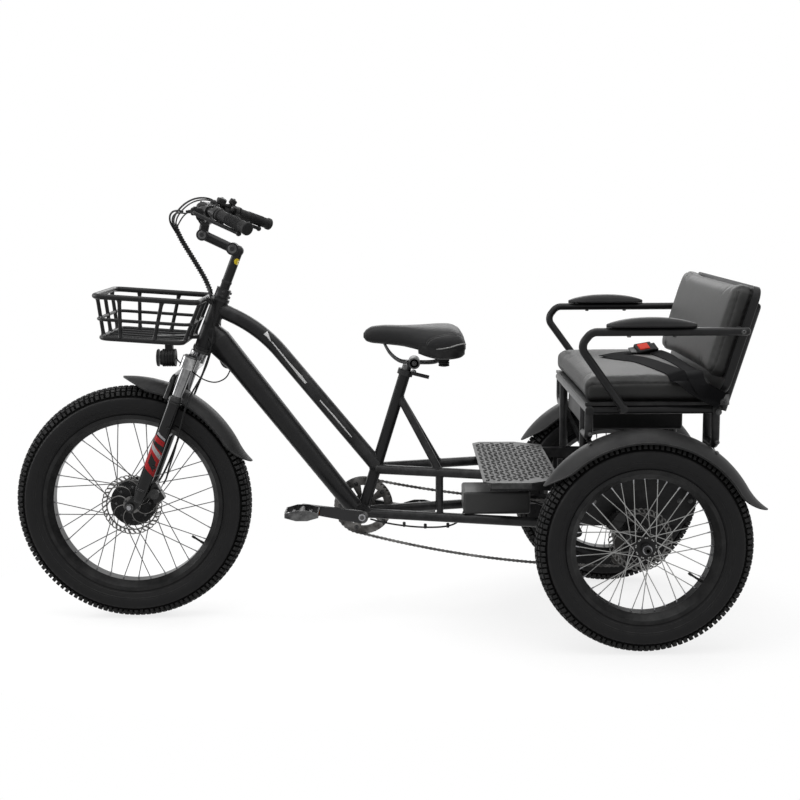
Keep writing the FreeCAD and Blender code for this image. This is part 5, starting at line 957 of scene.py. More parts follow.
def add_stitches(form, tree, seam, offset, gap=4.2, length=3.0, radius=0.45):
    """Rows of raised thread stitches laid on a surface on both sides of a seam."""
    places = even_points(seam, gap * MM)
    for way in (1, -1):
        for place, follow in zip(places, places[1:]):
            run = (follow - place).normalized()
            normal = tree.find_nearest(place)[1]
            side = run.cross(normal).normalized()
            spot, normal = tree.find_nearest(place + side * (way * offset * MM))[:2]
            half = run * (length * MM / 2)
            lift = normal * (radius * 0.5 * MM)
            line = [spot - half + lift * 0.2, spot - half * 0.5 + lift, spot + half * 0.5 + lift,
                    spot + half + lift * 0.2]
            add_tube(form, line, [radius * 0.5, radius, radius, radius * 0.5], 6)


def padded_piece(name, mesh, material, replaces):
    """Puts a soft cover on the chassis in place of the CAD parts it replaces."""
    piece = stand(name, mesh, [material], "chassis", replaces)


def on_surface(tree, points, per_run=1):
    """A line through points, laid on a surface."""
    line = smooth_path(points, per_run) if per_run > 1 else points
    return [tree.find_nearest(place)[0] for place in line]


BENCH_LOW = (1278, -360, 689)
BENCH_HIGH = (1640, 360, 751)
BENCH_ROUND = 21
BENCH_INSET = 4
BENCH_CROWN = 9
BENCH_PULL = 4
BENCH_SEAM = ((0.94, -0.80), (0.97, -0.2), (0.93, 0.42), (0.72, 0.74), (0.2, 0.84), (-0.4, 0.82),
              (-0.80, 0.68), (-0.95, 0.36), (-0.975, -0.2), (-0.93, -0.80))
COVER_VOXEL = 5.5
BENCH_SWELL = 9
BACK_SWELL = 8
SEAM_DEPTH = 2.6
SEAM_WIDTH = 4.5
STITCH_OFFSET = 3.2


def build_bench():
    """The bench cushion: a filled vinyl cover with a side panel sewn in at each end."""
    low, high = at(*BENCH_LOW), at(*BENCH_HIGH)
    middle = (low + high) / 2
    halves = (high - low) / 2 - mm(BENCH_INSET, BENCH_INSET, BENCH_INSET * 0.7)
    mesh = rounded_block(halves, (BENCH_ROUND - 3) * MM, 40)
    for vert in mesh.vertices:
        x, y, z = (part / half for part, half in zip(vert.co, halves))
        vert.co.x -= copysign(BENCH_PULL * MM, x) * (1 - y ** 4) * abs(x) ** 3
        vert.co.y -= copysign(BENCH_PULL * MM, y) * (1 - x ** 4) * abs(y) ** 3
        if z > 0:
            vert.co.z += BENCH_CROWN * MM * max(1 - x * x, 0) * max(1 - abs(y) ** 3, 0) * z
        vert.co += middle
    mesh = remesh(mesh, COVER_VOXEL)
    mesh = swell(mesh, BENCH_SWELL)
    floor = low.z + 0.2 * MM
    for vert in mesh.vertices:
        vert.co.z = max(vert.co.z, floor)
    mesh = divided(mesh)
    tree = surface_tree(mesh)
    seams = []
    for sign in (-1, 1):
        y = sign * (halves.y - 5 * MM)
        ring = [middle + Vector((halves.x * x, y, halves.z * z)) for x, z in BENCH_SEAM]
        seams.append(on_surface(tree, ring, 12))
    for x in (-1, 1):
        edge = [middle + Vector((x * (halves.x - 1 * MM), halves.y * step / 12, -halves.z * 0.72))
                for step in range(-11, 12)]
        seams.append(on_surface(tree, edge))
    sink_seams(mesh, seams, SEAM_DEPTH, SEAM_WIDTH)
    tree = surface_tree(mesh)
    padded_piece("bench_cushion", mesh, VINYL, ("seat_cushion",))
    thread = Form("bench_stitching")
    for seam in seams:
        add_stitches(thread, tree, seam, STITCH_OFFSET)
    thread.place("chassis", [VINYL_THREAD], "vinyl")
    return tree


BACK_FOOT = (1614, 0, 755)
BACK_LEAN = radians(17)
BACK_THICK = 56
BACK_HALF = 372
BACK_TALL = 272
BACK_CORNER = 38
BACK_INSET = 4
BACK_ROUND = 16
BACK_CROWN = 7
BACK_PULL = 3
BACK_SEAMS = ((6, 13), (BACK_THICK - 9, 3))
BACK_SHELL = (
    # depth behind the padding's face and inset from the outline
    (BACK_THICK - 13, 7), (BACK_THICK - 13, 1), (BACK_THICK - 1, 0), (BACK_THICK + 5, 0),
    (BACK_THICK + 8, 2.5), (BACK_THICK + 8, 14), (BACK_THICK + 6.5, 17),
)
SHELL_DROP = 28
SHELL_EXTRA = 26


def on_back(x, y, z):
    """A place in the backrest's own leaning frame: rearward, to the right and up it, in mm."""
    turned_x = x * cos(BACK_LEAN) + z * sin(BACK_LEAN)
    turned_z = z * cos(BACK_LEAN) - x * sin(BACK_LEAN)
    return at(BACK_FOOT[0] + turned_x, y, BACK_FOOT[2] + turned_z)


def corner_outline(half, tall, corner, steps=8):
    """A rectangle with round corners, as (across, up) points round it."""
    points = []
    for cx, cz, first in ((half - corner, tall - corner, 0), (corner - half, tall - corner, 90),
                          (corner - half, corner, 180), (half - corner, corner, 270)):
        for step in range(steps + 1):
            turn = radians(first + 90 * step / steps)
            points.append((cx + corner * cos(turn), cz + corner * sin(turn)))
    return points


def build_backrest():
    """The padded backrest with its sewn border, and the black shell behind it."""
    halves = mm(BACK_THICK / 2 - BACK_INSET * 0.6, BACK_HALF - BACK_INSET, BACK_TALL / 2 - BACK_INSET)
    mesh = rounded_block(halves, BACK_ROUND * MM, 40)
    core_y = halves.y - BACK_CORNER * MM
    core_z = halves.z - BACK_CORNER * MM
    for vert in mesh.vertices:
        x, y, z = vert.co
        over_y = max(abs(y) - core_y, 0)
        over_z = max(abs(z) - core_z, 0)
        reach = hypot(over_y, over_z)
        if over_y > 0 and over_z > 0:
            square = max(over_y, over_z)
            y = copysign(core_y + over_y * square / reach, y)
            z = copysign(core_z + over_z * square / reach, z)
        share_y, share_z = y / halves.y, z / halves.z
        if x < 0:
            x -= BACK_CROWN * MM * max(1 - abs(share_y) ** 3, 0) * max(1 - share_z ** 2, 0)
        y -= copysign(BACK_PULL * MM, y) * (1 - share_z ** 4) * abs(share_y) ** 3
        z -= copysign(BACK_PULL * MM, z) * (1 - share_y ** 4) * abs(share_z) ** 3
        vert.co = on_back(BACK_THICK / 2 + x / MM, y / MM, BACK_TALL / 2 + z / MM)
    mesh = remesh(mesh, COVER_VOXEL)
    mesh = swell(mesh, BACK_SWELL)
    rearward = (on_back(1, 0, 0) - on_back(0, 0, 0)).normalized()
    limit = on_back(BACK_THICK - 0.2, 0, 0).dot(rearward)
    for vert in mesh.vertices:
        past = vert.co.dot(rearward) - limit
        if past > 0:
            vert.co -= rearward * past
    mesh = divided(mesh)
    tree = surface_tree(mesh)
    seams = []
    for depth, inward in BACK_SEAMS:
        outline = corner_outline(BACK_HALF - inward, BACK_TALL - 2 * inward, BACK_CORNER - inward * 0.5)
        line = [on_back(depth, y, z + inward) for y, z in outline]
        seams.append(on_surface(tree, line + line[:1]))
    sink_seams(mesh, seams, SEAM_DEPTH, SEAM_WIDTH)
    tree = surface_tree(mesh)
    padded_piece("backrest_padding", mesh, VINYL, ("backrest_cushion",))
    thread = Form("backrest_stitching")
    add_stitches(thread, tree, seams[0], STITCH_OFFSET)
    thread.place("chassis", [VINYL_THREAD], "vinyl")
    shell = Form("backrest_shell")
    points = []
    for depth, inward in BACK_SHELL:
        outline = corner_outline(BACK_HALF - 2 - inward, BACK_TALL + SHELL_EXTRA - 2 * inward,
                                 BACK_CORNER - inward * 0.6, 10)
        points += [on_back(depth, y, z + inward - SHELL_DROP) for y, z in outline]
    shell.add(points, grid_faces(len(BACK_SHELL), len(outline)))
    shell.place("chassis", [BACK_SHELL_HIGHLIT], "board_plastic", ("backrest_panel",), sharp=50)


PAD_X = (1332, 1570)
PAD_Y = 420
PAD_LOW = 897
PAD_HALF = 25
PAD_EDGE = 5.5
PAD_STEPS = 36
PAD_AROUND = 28


def build_arm_pads():
    """The moulded armrest pads: arched tops over a lip, with round ends."""
    for side, sign in SIDES:
        form = Form("armrest_pad_" + side)
        ring = []
        for step in range(PAD_STEPS + 1):
            x = PAD_X[0] + (PAD_X[1] - PAD_X[0]) * (0.5 - 0.5 * cos(pi * step / PAD_STEPS))
            along = abs(2 * (x - PAD_X[0]) / (PAD_X[1] - PAD_X[0]) - 1)
            half = PAD_HALF * max(1 - along ** 5, 0.004) ** 0.5
            high = 9 + 19 * max(1 - along ** 2.2, 0) ** 0.85
            for turn in turns(PAD_AROUND):
                across = copysign(abs(cos(turn)) ** 0.7, cos(turn)) * half
                up = sin(turn)
                if abs(across) > 4 and not -0.35 < up < 0.1:
                    across -= copysign(1.6, across)
                z = PAD_LOW + PAD_EDGE + (up ** 0.8 * (high - PAD_EDGE) if up > 0 else up * 5.2)
                ring.append(at(x, sign * PAD_Y + across, z))
        form.add(ring, grid_faces(PAD_STEPS + 1, PAD_AROUND))
        piece = form.place("chassis", [FOAM_PAD], "pad_rubber", ("armrest_pads",), sharp=60)
        piece.modifiers.new("finer", "SUBSURF").levels = 1


SADDLE_FRONT = 684
SADDLE_LENGTH = 296
SADDLE_TOP = 871
SADDLE_HALF = 116
SADDLE_HEIGHT = 96
SADDLE_STATIONS = (
    # along, half width, top, bottom, all as shares of the saddle
    (0.0, 0.14, 0.74, 0.60), (0.025, 0.22, 0.84, 0.50), (0.08, 0.26, 0.94, 0.44), (0.2, 0.29, 0.985, 0.40),
    (0.38, 0.38, 0.975, 0.34), (0.50, 0.55, 0.975, 0.26), (0.62, 0.80, 0.985, 0.17), (0.74, 0.96, 1.0, 0.12),
    (0.86, 1.0, 0.985, 0.12), (0.94, 0.93, 0.87, 0.14), (0.985, 0.80, 0.66, 0.19), (1.0, 0.66, 0.50, 0.26),
)
SADDLE_STEPS = 56
SADDLE_AROUND = 44
SADDLE_GROOVE = 2.5
GROOVE_WIDTH = 9
SADDLE_SEAM = ((0.955, 0.80, 0.80), (0.88, 0.86, 0.66), (0.78, 0.92, 0.56), (0.69, 0.965, 0.38),
               (0.635, 0.985, 0.12), (0.615, 0.99, -0.28))
SADDLE_PIPING = ((0.60, 0.93, -0.52), (0.70, 0.96, -0.45), (0.82, 0.97, -0.22), (0.92, 0.96, 0.05),
                 (0.975, 0.90, 0.25), (0.998, 0.5, 0.36), (1.0, 0.0, 0.38))
SADDLE_SHELL = ((-0.97, 26), (-0.95, 6), (-0.82, -6), (-0.4, -9), (0.4, -9), (0.82, -6),
                (0.95, 6), (0.97, 26))
SHELL_STEPS = 20
SHELL_ARCH = 3.6
BUMPER_RIBS = 5
SADDLE_RAIL = ((SADDLE_FRONT + SADDLE_LENGTH * 0.20, 9, 818), (762, 20, 786), (790, 24, 764), (826, 25, 760),
               (880, 25, 759), (905, 27, 766), (936, 33, 790), (948, 36, 806))
SADDLE_CLAMP = (832, 31, 759)
CLAMP_PROFILE = ((0, 13), (1, 15), (14, 15), (15, 12), (47, 12), (48, 15), (61, 15), (62, 13))


def saddle_at(share):
    """The saddle's half width, top and bottom at a share of its length, in mm."""
    table = SADDLE_STATIONS
    for index in range(len(table) - 1):
        if share <= table[index + 1][0] or index == len(table) - 2:
            break
    rows = [table[max(index - 1, 0)], table[index], table[index + 1], table[min(index + 2, len(table) - 1)]]
    t = (share - rows[1][0]) / (rows[2][0] - rows[1][0])
    sizes = []
    for column in (1, 2, 3):
        a, b, c, d = (row[column] for row in rows)
        square, cube = 2 * a - 5 * b + 4 * c - d, 3 * b - a - 3 * c + d
        sizes.append(0.5 * (2 * b + (c - a) * t + square * t * t + cube * t ** 3))
    half, top, bottom = sizes
    foot = SADDLE_TOP - SADDLE_HEIGHT
    return SADDLE_HALF * half, foot + SADDLE_HEIGHT * top, foot + SADDLE_HEIGHT * bottom


def saddle_point(share, side, up):
    """A point of the saddle's cover: side and up run from -1 to 1 round a section."""
    half, top, bottom = saddle_at(share)
    middle = bottom + (top - bottom) * 0.42
    reach = (top - middle) if up > 0 else (middle - bottom)
    fade = sin(pi * min(max(share * 1.1 - 0.1, 0), 1))
    groove = SADDLE_GROOVE * exp(-(side * half / GROOVE_WIDTH) ** 2) * max(up, 0) * fade
    return at(SADDLE_FRONT + SADDLE_LENGTH * share, half * side, middle + reach * up - groove)


def saddle_lines(tree, places):
    """A line laid on the saddle's cover, on its left and on its right."""
    return [on_surface(tree, [saddle_point(share, sign * side, up) for share, side, up in places], 8)
            for sign in (-1, 1)]


def build_saddle():
    """The sprung saddle: sewn cover, pale piping, black lower shell, rails, clamp and bumpers."""
    form = Form("saddle")
    points = []
    for step in range(SADDLE_STEPS + 1):
        share = 0.5 - 0.5 * cos(pi * step / SADDLE_STEPS)
        for turn in turns(SADDLE_AROUND):
            side = copysign(abs(cos(turn)) ** 0.72, cos(turn))
            up = copysign(abs(sin(turn)) ** 0.86, sin(turn))
            points.append(saddle_point(share, side, up))
    form.add(points, grid_faces(SADDLE_STEPS + 1, SADDLE_AROUND))
    mesh = divided(form.mesh())
    tree = surface_tree(mesh)
    seams = saddle_lines(tree, SADDLE_SEAM)
    pipes = saddle_lines(tree, SADDLE_PIPING)
    sink_seams(mesh, seams, 1.6, 3.0)
    tree = surface_tree(mesh)
    padded_piece("saddle_cover", mesh, SADDLE_VINYL, ("saddle",))
    trim = Form("saddle_trim")
    for seam in seams:
        add_stitches(trim, tree, seam, 2.4, 3.4, 2.5, 0.5)
    for pipe in pipes:
        add_tube(trim, even_points(pipe, 4 * MM), 2.0, 8, 1)
    trim.place("chassis", [THREAD, SILVER_TRIM], "vinyl")
    build_saddle_underside()


def build_saddle_underside():
    """The saddle's lower shell, its ribbed rubber bumpers, two rails and their clamp."""
    under = Form("saddle_underside")
    points = []
    for step in range(SHELL_STEPS + 1):
        share = 0.54 + 0.45 * step / SHELL_STEPS
        half, bottom = saddle_at(share)[::2]
        level = bottom - SHELL_ARCH * sin(pi * step / SHELL_STEPS)
        for across, depth in SADDLE_SHELL:
            points.append(at(SADDLE_FRONT + SADDLE_LENGTH * share, half * across, level + depth))
    under.add(points, grid_faces(SHELL_STEPS + 1, len(SADDLE_SHELL)))
    bumper = [(0, 8)]
    for index in range(BUMPER_RIBS):
        bumper += [(2 + index * 7, 16), (6 + index * 7, 16), (7 + index * 7, 13)]
    bumper.append((37, 12))
    clamp_x, clamp_y, clamp_z = SADDLE_CLAMP
    for sign in (-1, 1):
        foot = at(SADDLE_FRONT + SADDLE_LENGTH * 0.79, sign * 42, SADDLE_TOP - SADDLE_HEIGHT - 24)
        add_spun(under, foot, UP, bumper, 20, 2)
        rail = smooth_path([at(x, sign * y, z) for x, y, z in SADDLE_RAIL], 6)
        add_tube(under, rail, 3.5, 10, 1)
        add_bolt(under, at(clamp_x, sign * clamp_y, clamp_z), Y_AXIS * sign, 5, 6, 1)
    add_spun(under, at(clamp_x, -clamp_y, clamp_z), Y_AXIS, CLAMP_PROFILE, 20, 1)
    under.place("chassis", [PLASTIC, DARK_STEEL, GRIP], "board_plastic", sharp=45)


STRAP_THICK = 1.7
STRAP_HEM = 1.12
STRAP_SHAPE = (
    # share of the width, height as a share of the thickness
    (-0.5, 0.0), (-0.49, 0.9), (-0.44, STRAP_HEM), (-0.42, 0.94), (-0.2, 1.0), (0.2, 1.0), (0.42, 0.94),
    (0.44, STRAP_HEM), (0.49, 0.9), (0.5, 0.0),
)
BUCKLE_STRAP = ((1407, 44), (1440, -20), (1480, -83), (1506, -190), (1528, -285), (1540, -335))
BUCKLE_STRAP_END = ((1552, -366, 744), (1588, -377, 722), (1648, -371, 694))
FOLDED_STRAP = ((1396, 32), (1424, 68), (1452, 100), (1482, 126), (1510, 142))
LONG_STRAP = ((1562, 144, 9.0), (1572, 100, 3.4), (1582, 30, 2.4), (1590, -60, 1.4), (1592, -170, 0.8),
              (1590, -250, 1.6), (1586, -320, 2.6))
LONG_STRAP_END = ((1590, -364, 742), (1606, -379, 722), (1652, -374, 696))
BUCKLE_BLOCKS = (
    # along the strap, above it, half sizes, paint and chamfer
    (0, 0, (28, 21, 9.5), 0, 0.35), (-4, 5, (17, 14, 7.5), 1, 0.3), (33, 0, (8, 16, 4.5), 0, 0.3),
    (-36, 0, (11, 15, 2.0), 2, 0.2),
)
BELT_ANCHOR = (1655, -366, 692)


def draped(tree, point, gap):
    """The point, raised where the cushion under it leaves less than the gap."""
    spot = tree.ray_cast(Vector((point.x, point.y, 0.9)), -UP)[0]
    if spot and spot.z + gap * MM > point.z:
        return Vector((point.x, point.y, spot.z + gap * MM))
    return point


def add_strap(form, tree, line, across, width, rest=0.4, lean=0.0):
    """Flat webbing along a line, with its hems, laid over the cushion with one edge leaning up."""
    gone = 0.0
    points = []
    for index, middle in enumerate(line):
        ahead = line[min(index + 1, len(line) - 1)]
        behind = line[max(index - 1, 0)]
        run = (ahead - behind).normalized()
        side = (across - run * across.dot(run)).normalized()
        up = side.cross(run).normalized()
        if index:
            gone += (middle - behind).length
        for share, height in STRAP_SHAPE:
            point = middle + side * (share * width * MM) + up * (height * STRAP_THICK * MM)
            layer = height if up.z > 0 else STRAP_HEM - height
            points.append(draped(tree, point, rest + layer * STRAP_THICK + lean * (share + 0.5) * width))
            form.strap_uv.append((gone, share * width * MM))
    form.add(points, grid_faces(len(line), len(STRAP_SHAPE)))


def lay_on(tree, x, y, lift):
    """The place on the cushion under x and y, raised by lift."""
    spot = tree.ray_cast(at(x, y, 900), -UP)[0]
    return spot + mm(0, 0, lift) if spot else at(x, y, 753 + lift)


def build_belt(tree):
    """The lap belt: a long strap across the cushion, a folded one and its buckle."""
    form = Form("lap_belt_webbing")
    form.strap_uv = []
    line = [lay_on(tree, x, y, 0.5) for x, y in BUCKLE_STRAP] + [at(*place) for place in BUCKLE_STRAP_END]
    add_strap(form, tree, smooth_path(line), Vector((1, 0.35, 0)), 46, lean=0.22)
    line = [lay_on(tree, x, y, 3.6) for x, y in FOLDED_STRAP]
    add_strap(form, tree, smooth_path(line), Vector((0.75, -0.6, 0)), 44, rest=3.0)
    line = [lay_on(tree, *place) for place in LONG_STRAP] + [at(*place) for place in LONG_STRAP_END]
    add_strap(form, tree, smooth_path(line), Vector((1, 0.1, 0)), 44, lean=0.25)
    piece = form.place("chassis", [WEBBING], "belt_webbing", ("lap_belt",), sharp=60)
    layer = piece.data.uv_layers.new(name="strap")
    for loop in piece.data.loops:
        layer.data[loop.index].uv = form.strap_uv[loop.vertex_index]
    hard = Form("lap_belt_buckle")
    middle = lay_on(tree, 1530, 140, 15)
    run = Vector((0.93, 0.30, 0.12)).normalized()
    side = Vector((-0.28, 0.80, 0.53)).normalized()
    side = (side - run * side.dot(run)).normalized()
    up = run.cross(side).normalized()
    for along, rise, halves, paint, chamfer in BUCKLE_BLOCKS:
        place = middle + run * (along * MM) + up * (rise * MM)
        add_block(hard, place, (run, side, up), halves, paint, chamfer)
    anchor = at(*BELT_ANCHOR)
    add_bolt(hard, anchor + mm(0, -9, 0), -Y_AXIS, 6, 4, 2)
    add_block(hard, anchor + mm(0, -6, 6), SQUARE, (16, 1.5, 14), 2)
    hard.place("chassis", [HOSE, RED, DARK_STEEL], "belt_webbing")


# Chain and sprocket teeth

def pitch_r(teeth):
    """The radius at which a chain's pins run round a sprocket, in mm."""
    return CHAIN_PITCH / 2 / sin(pi / teeth)


def leave_and_meet(first, second):
    """Where the chain leaves one wheel and meets the next; each is x, z, radius and sense."""
    dx = second[0] - first[0]
    dz = second[1] - first[1]
    offset = second[3] * second[2] - first[3] * first[2]
    heading = atan2(dz, dx) - asin(offset / hypot(dx, dz))
    out_x, out_z = sin(heading), -cos(heading)
    return [(x + sense * radius * out_x, z + sense * radius * out_z)
            for x, z, radius, sense in (first, second)]


def chain_pins():
    """The places of the chain's pins round its loop, in metres."""
    cog_x, cog_z = REAR_AXLE["left"].x / MM, REAR_AXLE["left"].z / MM
    wheels = ((BB.x / MM, BB.z / MM, pitch_r(RING_TEETH), -1), (cog_x, cog_z, pitch_r(COG_TEETH), -1),
              (cog_x + GUIDE_PULLEY[0], cog_z + GUIDE_PULLEY[1], pitch_r(PULLEY_TEETH), 1),
              (cog_x + TENSION_PULLEY[0], cog_z + TENSION_PULLEY[1], pitch_r(PULLEY_TEETH), -1))
    path = []
    for index, sag in enumerate((UPPER_SAG, 0, 0, LOWER_SAG)):
        x, z, radius, sense = wheels[(index + 1) % 4]
        leave, meet = leave_and_meet(wheels[index], wheels[(index + 1) % 4])
        steps = 40 if sag else 1
        for step in range(steps + 1):
            t = step / steps
            path.append((leave[0] + (meet[0] - leave[0]) * t,
                         leave[1] + (meet[1] - leave[1]) * t - 4 * sag * t * (1 - t)))
        onward = leave_and_meet(wheels[(index + 1) % 4], wheels[(index + 2) % 4])[0]
        first = atan2(meet[1] - z, meet[0] - x)
        sweep = ((atan2(onward[1] - z, onward[0] - x) - first) * sense) % (TURN)
        steps = max(4, int(sweep / 0.1))
        for step in range(1, steps):
            turn = first + sense * sweep * step / steps
            path.append((x + radius * cos(turn), z + radius * sin(turn)))
    loop = [Vector((x * MM, CHAIN_Y * MM, z * MM)) for x, z in path]
    loop.append(loop[0])
    total = sum((b - a).length for a, b in zip(loop, loop[1:]))
    links = round(total / (CHAIN_PITCH * MM) / 2) * 2
    return even_points(loop, total / (links + 0.5))[:links]


PLATE_THICK = 0.9
PLATE_ROUND = 4.2
PLATE_WAIST = 2.6
PIN_HALF = 3.9
PIN_PROFILE = ((0, 1.5), (0.3, 1.8), (7.5, 1.8), (7.8, 1.5))
ROLLER_HALF = 1.5
ROLLER_PROFILE = ((0, 3.6), (3.0, 3.6))
TOOTH_SHAPE = (
    # height over the pitch circle, share of half a tooth's angle
    (-5.2, -1), (-5.2, 1), (-3.2, 0.72), (1.0, 0.30), (2.6, 0.10), (2.6, -0.10), (1.0, -0.30), (-3.2, -0.72),
)
RING_BOLTS = 5
RING_BOLT_R = 70
PULLEY_NUT_Y = 8.2
CRANK_CAP = ((0, 10.5), (1.6, 10.5), (2.2, 9.6), (2.2, 6.5), (0.6, 5.8))
CRANK_END = 100
PEDAL_PIN = ((0, 1.5), (2.4, 1.4), (2.8, 0.8))
PEDAL_REFLECTOR = (1.0, 21, 4.6)


def add_link(form, start, end, y, paint):
    """One side plate of a link: round ends and a narrow waist."""
    run = (end - start).normalized()
    up = Vector((-run.z, 0, run.x))
    length = (end - start).length / MM
    outline = []
    for centre, first in ((length, -90), (0, 90)):
        for step in range(5):
            turn = radians(first + 45 * step)
            outline.append((centre + PLATE_ROUND * cos(turn), PLATE_ROUND * sin(turn)))
        outline.append((length / 2, PLATE_WAIST if first < 0 else -PLATE_WAIST))
    points = []
    for level in (-PLATE_THICK / 2, PLATE_THICK / 2):
        for x, z in outline:
            place = start + run * (x * MM) + up * (z * MM)
            points.append(Vector((place.x, (y + level) * MM, place.z)))
    form.add(points, grid_faces(2, len(outline)), paint)


def build_chain():
    """The roller chain: outer and inner plates in turn, with pins and rollers."""
    form = Form("roller_chain")
    pins = chain_pins()
    for index, start in enumerate(pins):
        end = pins[(index + 1) % len(pins)]
        offset, paint = (3.0, 0) if index % 2 else (2.0, 1)
        for side in (-1, 1):
            add_link(form, start, end, CHAIN_Y + side * offset, paint)
        for half, profile in ((PIN_HALF, PIN_PROFILE), (ROLLER_HALF, ROLLER_PROFILE)):
            add_spun(form, Vector((start.x, (CHAIN_Y - half) * MM, start.z)), Y_AXIS, profile, 8, 1)
    form.place("chassis", [CHAIN_STEEL, DARK_STEEL], "chain_steel", ("chain",), sharp=30)


def add_teeth(form, centre, teeth, thick, turn=0.0, paint=0):
    """A toothed rim between a sprocket's body and the chain's rollers."""
    for middle in turns(teeth, 0.5):
        points = []
        for level in (-thick / 2, thick / 2):
            for height, share in TOOTH_SHAPE:
                angle = turn + middle + pi / teeth * share
                points.append(wheel_point(centre, pitch_r(teeth) + height, CHAIN_Y + level, angle))
        form.add(points, grid_faces(2, len(TOOTH_SHAPE)), paint)


def build_drive_details():
    """Teeth, crank bolts and the pedals' pins and reflectors."""
    ring = Form("chainring_teeth")
    centre = Vector((BB.x, 0, BB.z))
    first_pin = chain_pins()[0]
    add_teeth(ring, centre, RING_TEETH, 2.0, atan2(first_pin.z - BB.z, first_pin.x - BB.x))
    for turn in turns(RING_BOLTS, 0.5):
        add_bolt(ring, wheel_point(centre, RING_BOLT_R, 69, turn), Y_AXIS, 4.6, 3.2, 1)
        add_bolt(ring, wheel_point(centre, RING_BOLT_R, 58.4, turn), -Y_AXIS, 4.6, 2.6, 1)
    ring.place("crank", [CHAIN_STEEL, DARK_STEEL], "chain_steel")
    rear = Form("cog_teeth")
    cog = Vector((REAR_AXLE["left"].x, 0, REAR_AXLE["left"].z))
    add_teeth(rear, cog, COG_TEETH, 1.8)
    for x, z in (GUIDE_PULLEY, TENSION_PULLEY):
        add_teeth(rear, cog + mm(x, 0, z), PULLEY_TEETH, 2.4, paint=1)
        for sign in (1, -1):
            add_hex(rear, cog + mm(x, CHAIN_Y + sign * PULLEY_NUT_Y, z), Y_AXIS * sign, 4.6, 4)
    rear.place("chassis", [CHAIN_STEEL, PLASTIC], "chain_steel")
    cranks = Form("crank_bolts")
    for sign in (-1, 1):
        add_spun(cranks, centre + mm(0, sign * CRANK_END, 0), Y_AXIS * sign, CRANK_CAP, 24)
    cranks.place("crank", [STEEL], "bearing_steel")
    for side, sign in SIDES:
        low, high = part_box("pedal_" + side)
        middle = (low + high) / 2
        half_x, half_y = (high.x - low.x) / 2, (high.y - low.y) / 2
        form = Form("pedal_fittings_" + side)
        for way_x in (-1, 1):
            for way_y in (-1, -0.4, 0.4, 1):
                place = middle + Vector((way_x * half_x * 0.94, way_y * half_y * 0.86, 0))
                for up in (-1, 1):
                    add_spun(form, place + mm(0, 0, up * 5), UP * up, PEDAL_PIN, 8)
            place = middle + Vector((way_x * (half_x + 0.6 * MM), 0, 0))
            # Two reflectors in one place shade each other, which keeps the amber dark.
            add_block(form, place, SQUARE, PEDAL_REFLECTOR, 1, 0.3)
            add_block(form, place, SQUARE, PEDAL_REFLECTOR, 1, 0.3)
        form.place("pedal_" + side, [DARK_STEEL, AMBER], "bearing_steel")


# Fork, bars and controls

FORK_Y = 80
LEG_R = 20
LEG_FORWARD = 14
FORK_DECALS = (
    # low and high end, first and last angle, slant, paint, lift off the leg
    (122, 197, -66, 66, 26, 0, 0.35), (178, 192, -60, 52, 30, 1, 0.55), (137, 166, -34, 30, 22, 2, 0.55),
    (211, 226, -50, 58, 14, 0, 0.35), (229, 236, -44, 40, 14, 1, 0.35),
)
DECAL_ROWS = 10
DECAL_COLUMNS = 14
LEG_SEAL = ((0, 20.6), (1, 22.4), (4, 22.4), (5, 20.6))
LEG_BEAD = ((0, 20.1), (0.7, 20.8), (1.4, 20.1))
LEG_RINGS = (
    # height up the axis, profile, sides and paint of each turned part on a leg
    (343, LEG_SEAL, 32, 1), (335, LEG_SEAL, 32, 1), (60, LEG_BEAD, 32, 1), (64, LEG_BEAD, 32, 1),
    (352, ((0, 19), (2.5, 18.6), (5, 16.9), (6, 16.2)), 32, 1),
    (476.5, ((0, 19), (3, 19), (5, 17.5), (5, 9), (9, 8), (11, 6)), 28, 2),
)
AXLE_CAP = ((0, 6.4), (3.6, 6.2), (4.6, 4.0))
CROWN_RACES = ((488, 26.5), (491, 25.0), (494, 26.5))
MOTOR_SCREWS = 8
MOTOR_RIBS = 18


def leg_patch(form, sign, low, high, first, last, slant, paint, lift):
    """A decal wrapped on a fork leg, between two heights and two angles from its outer side."""
    points = []
    for row in range(DECAL_ROWS + 1):
        for column in range(DECAL_COLUMNS + 1):
            turn = radians(first + (last - first) * column / DECAL_COLUMNS)
            along = low + (high - low) * row / DECAL_ROWS + slant * (column / DECAL_COLUMNS - 0.5)
            side = sign * (FORK_Y + (LEG_R + lift) * cos(turn))
            points.append(steer_at(along, LEG_FORWARD + (LEG_R + lift) * sin(turn), side))
    form.add(points, grid_faces(DECAL_ROWS + 1, DECAL_COLUMNS + 1, strip=True), paint)


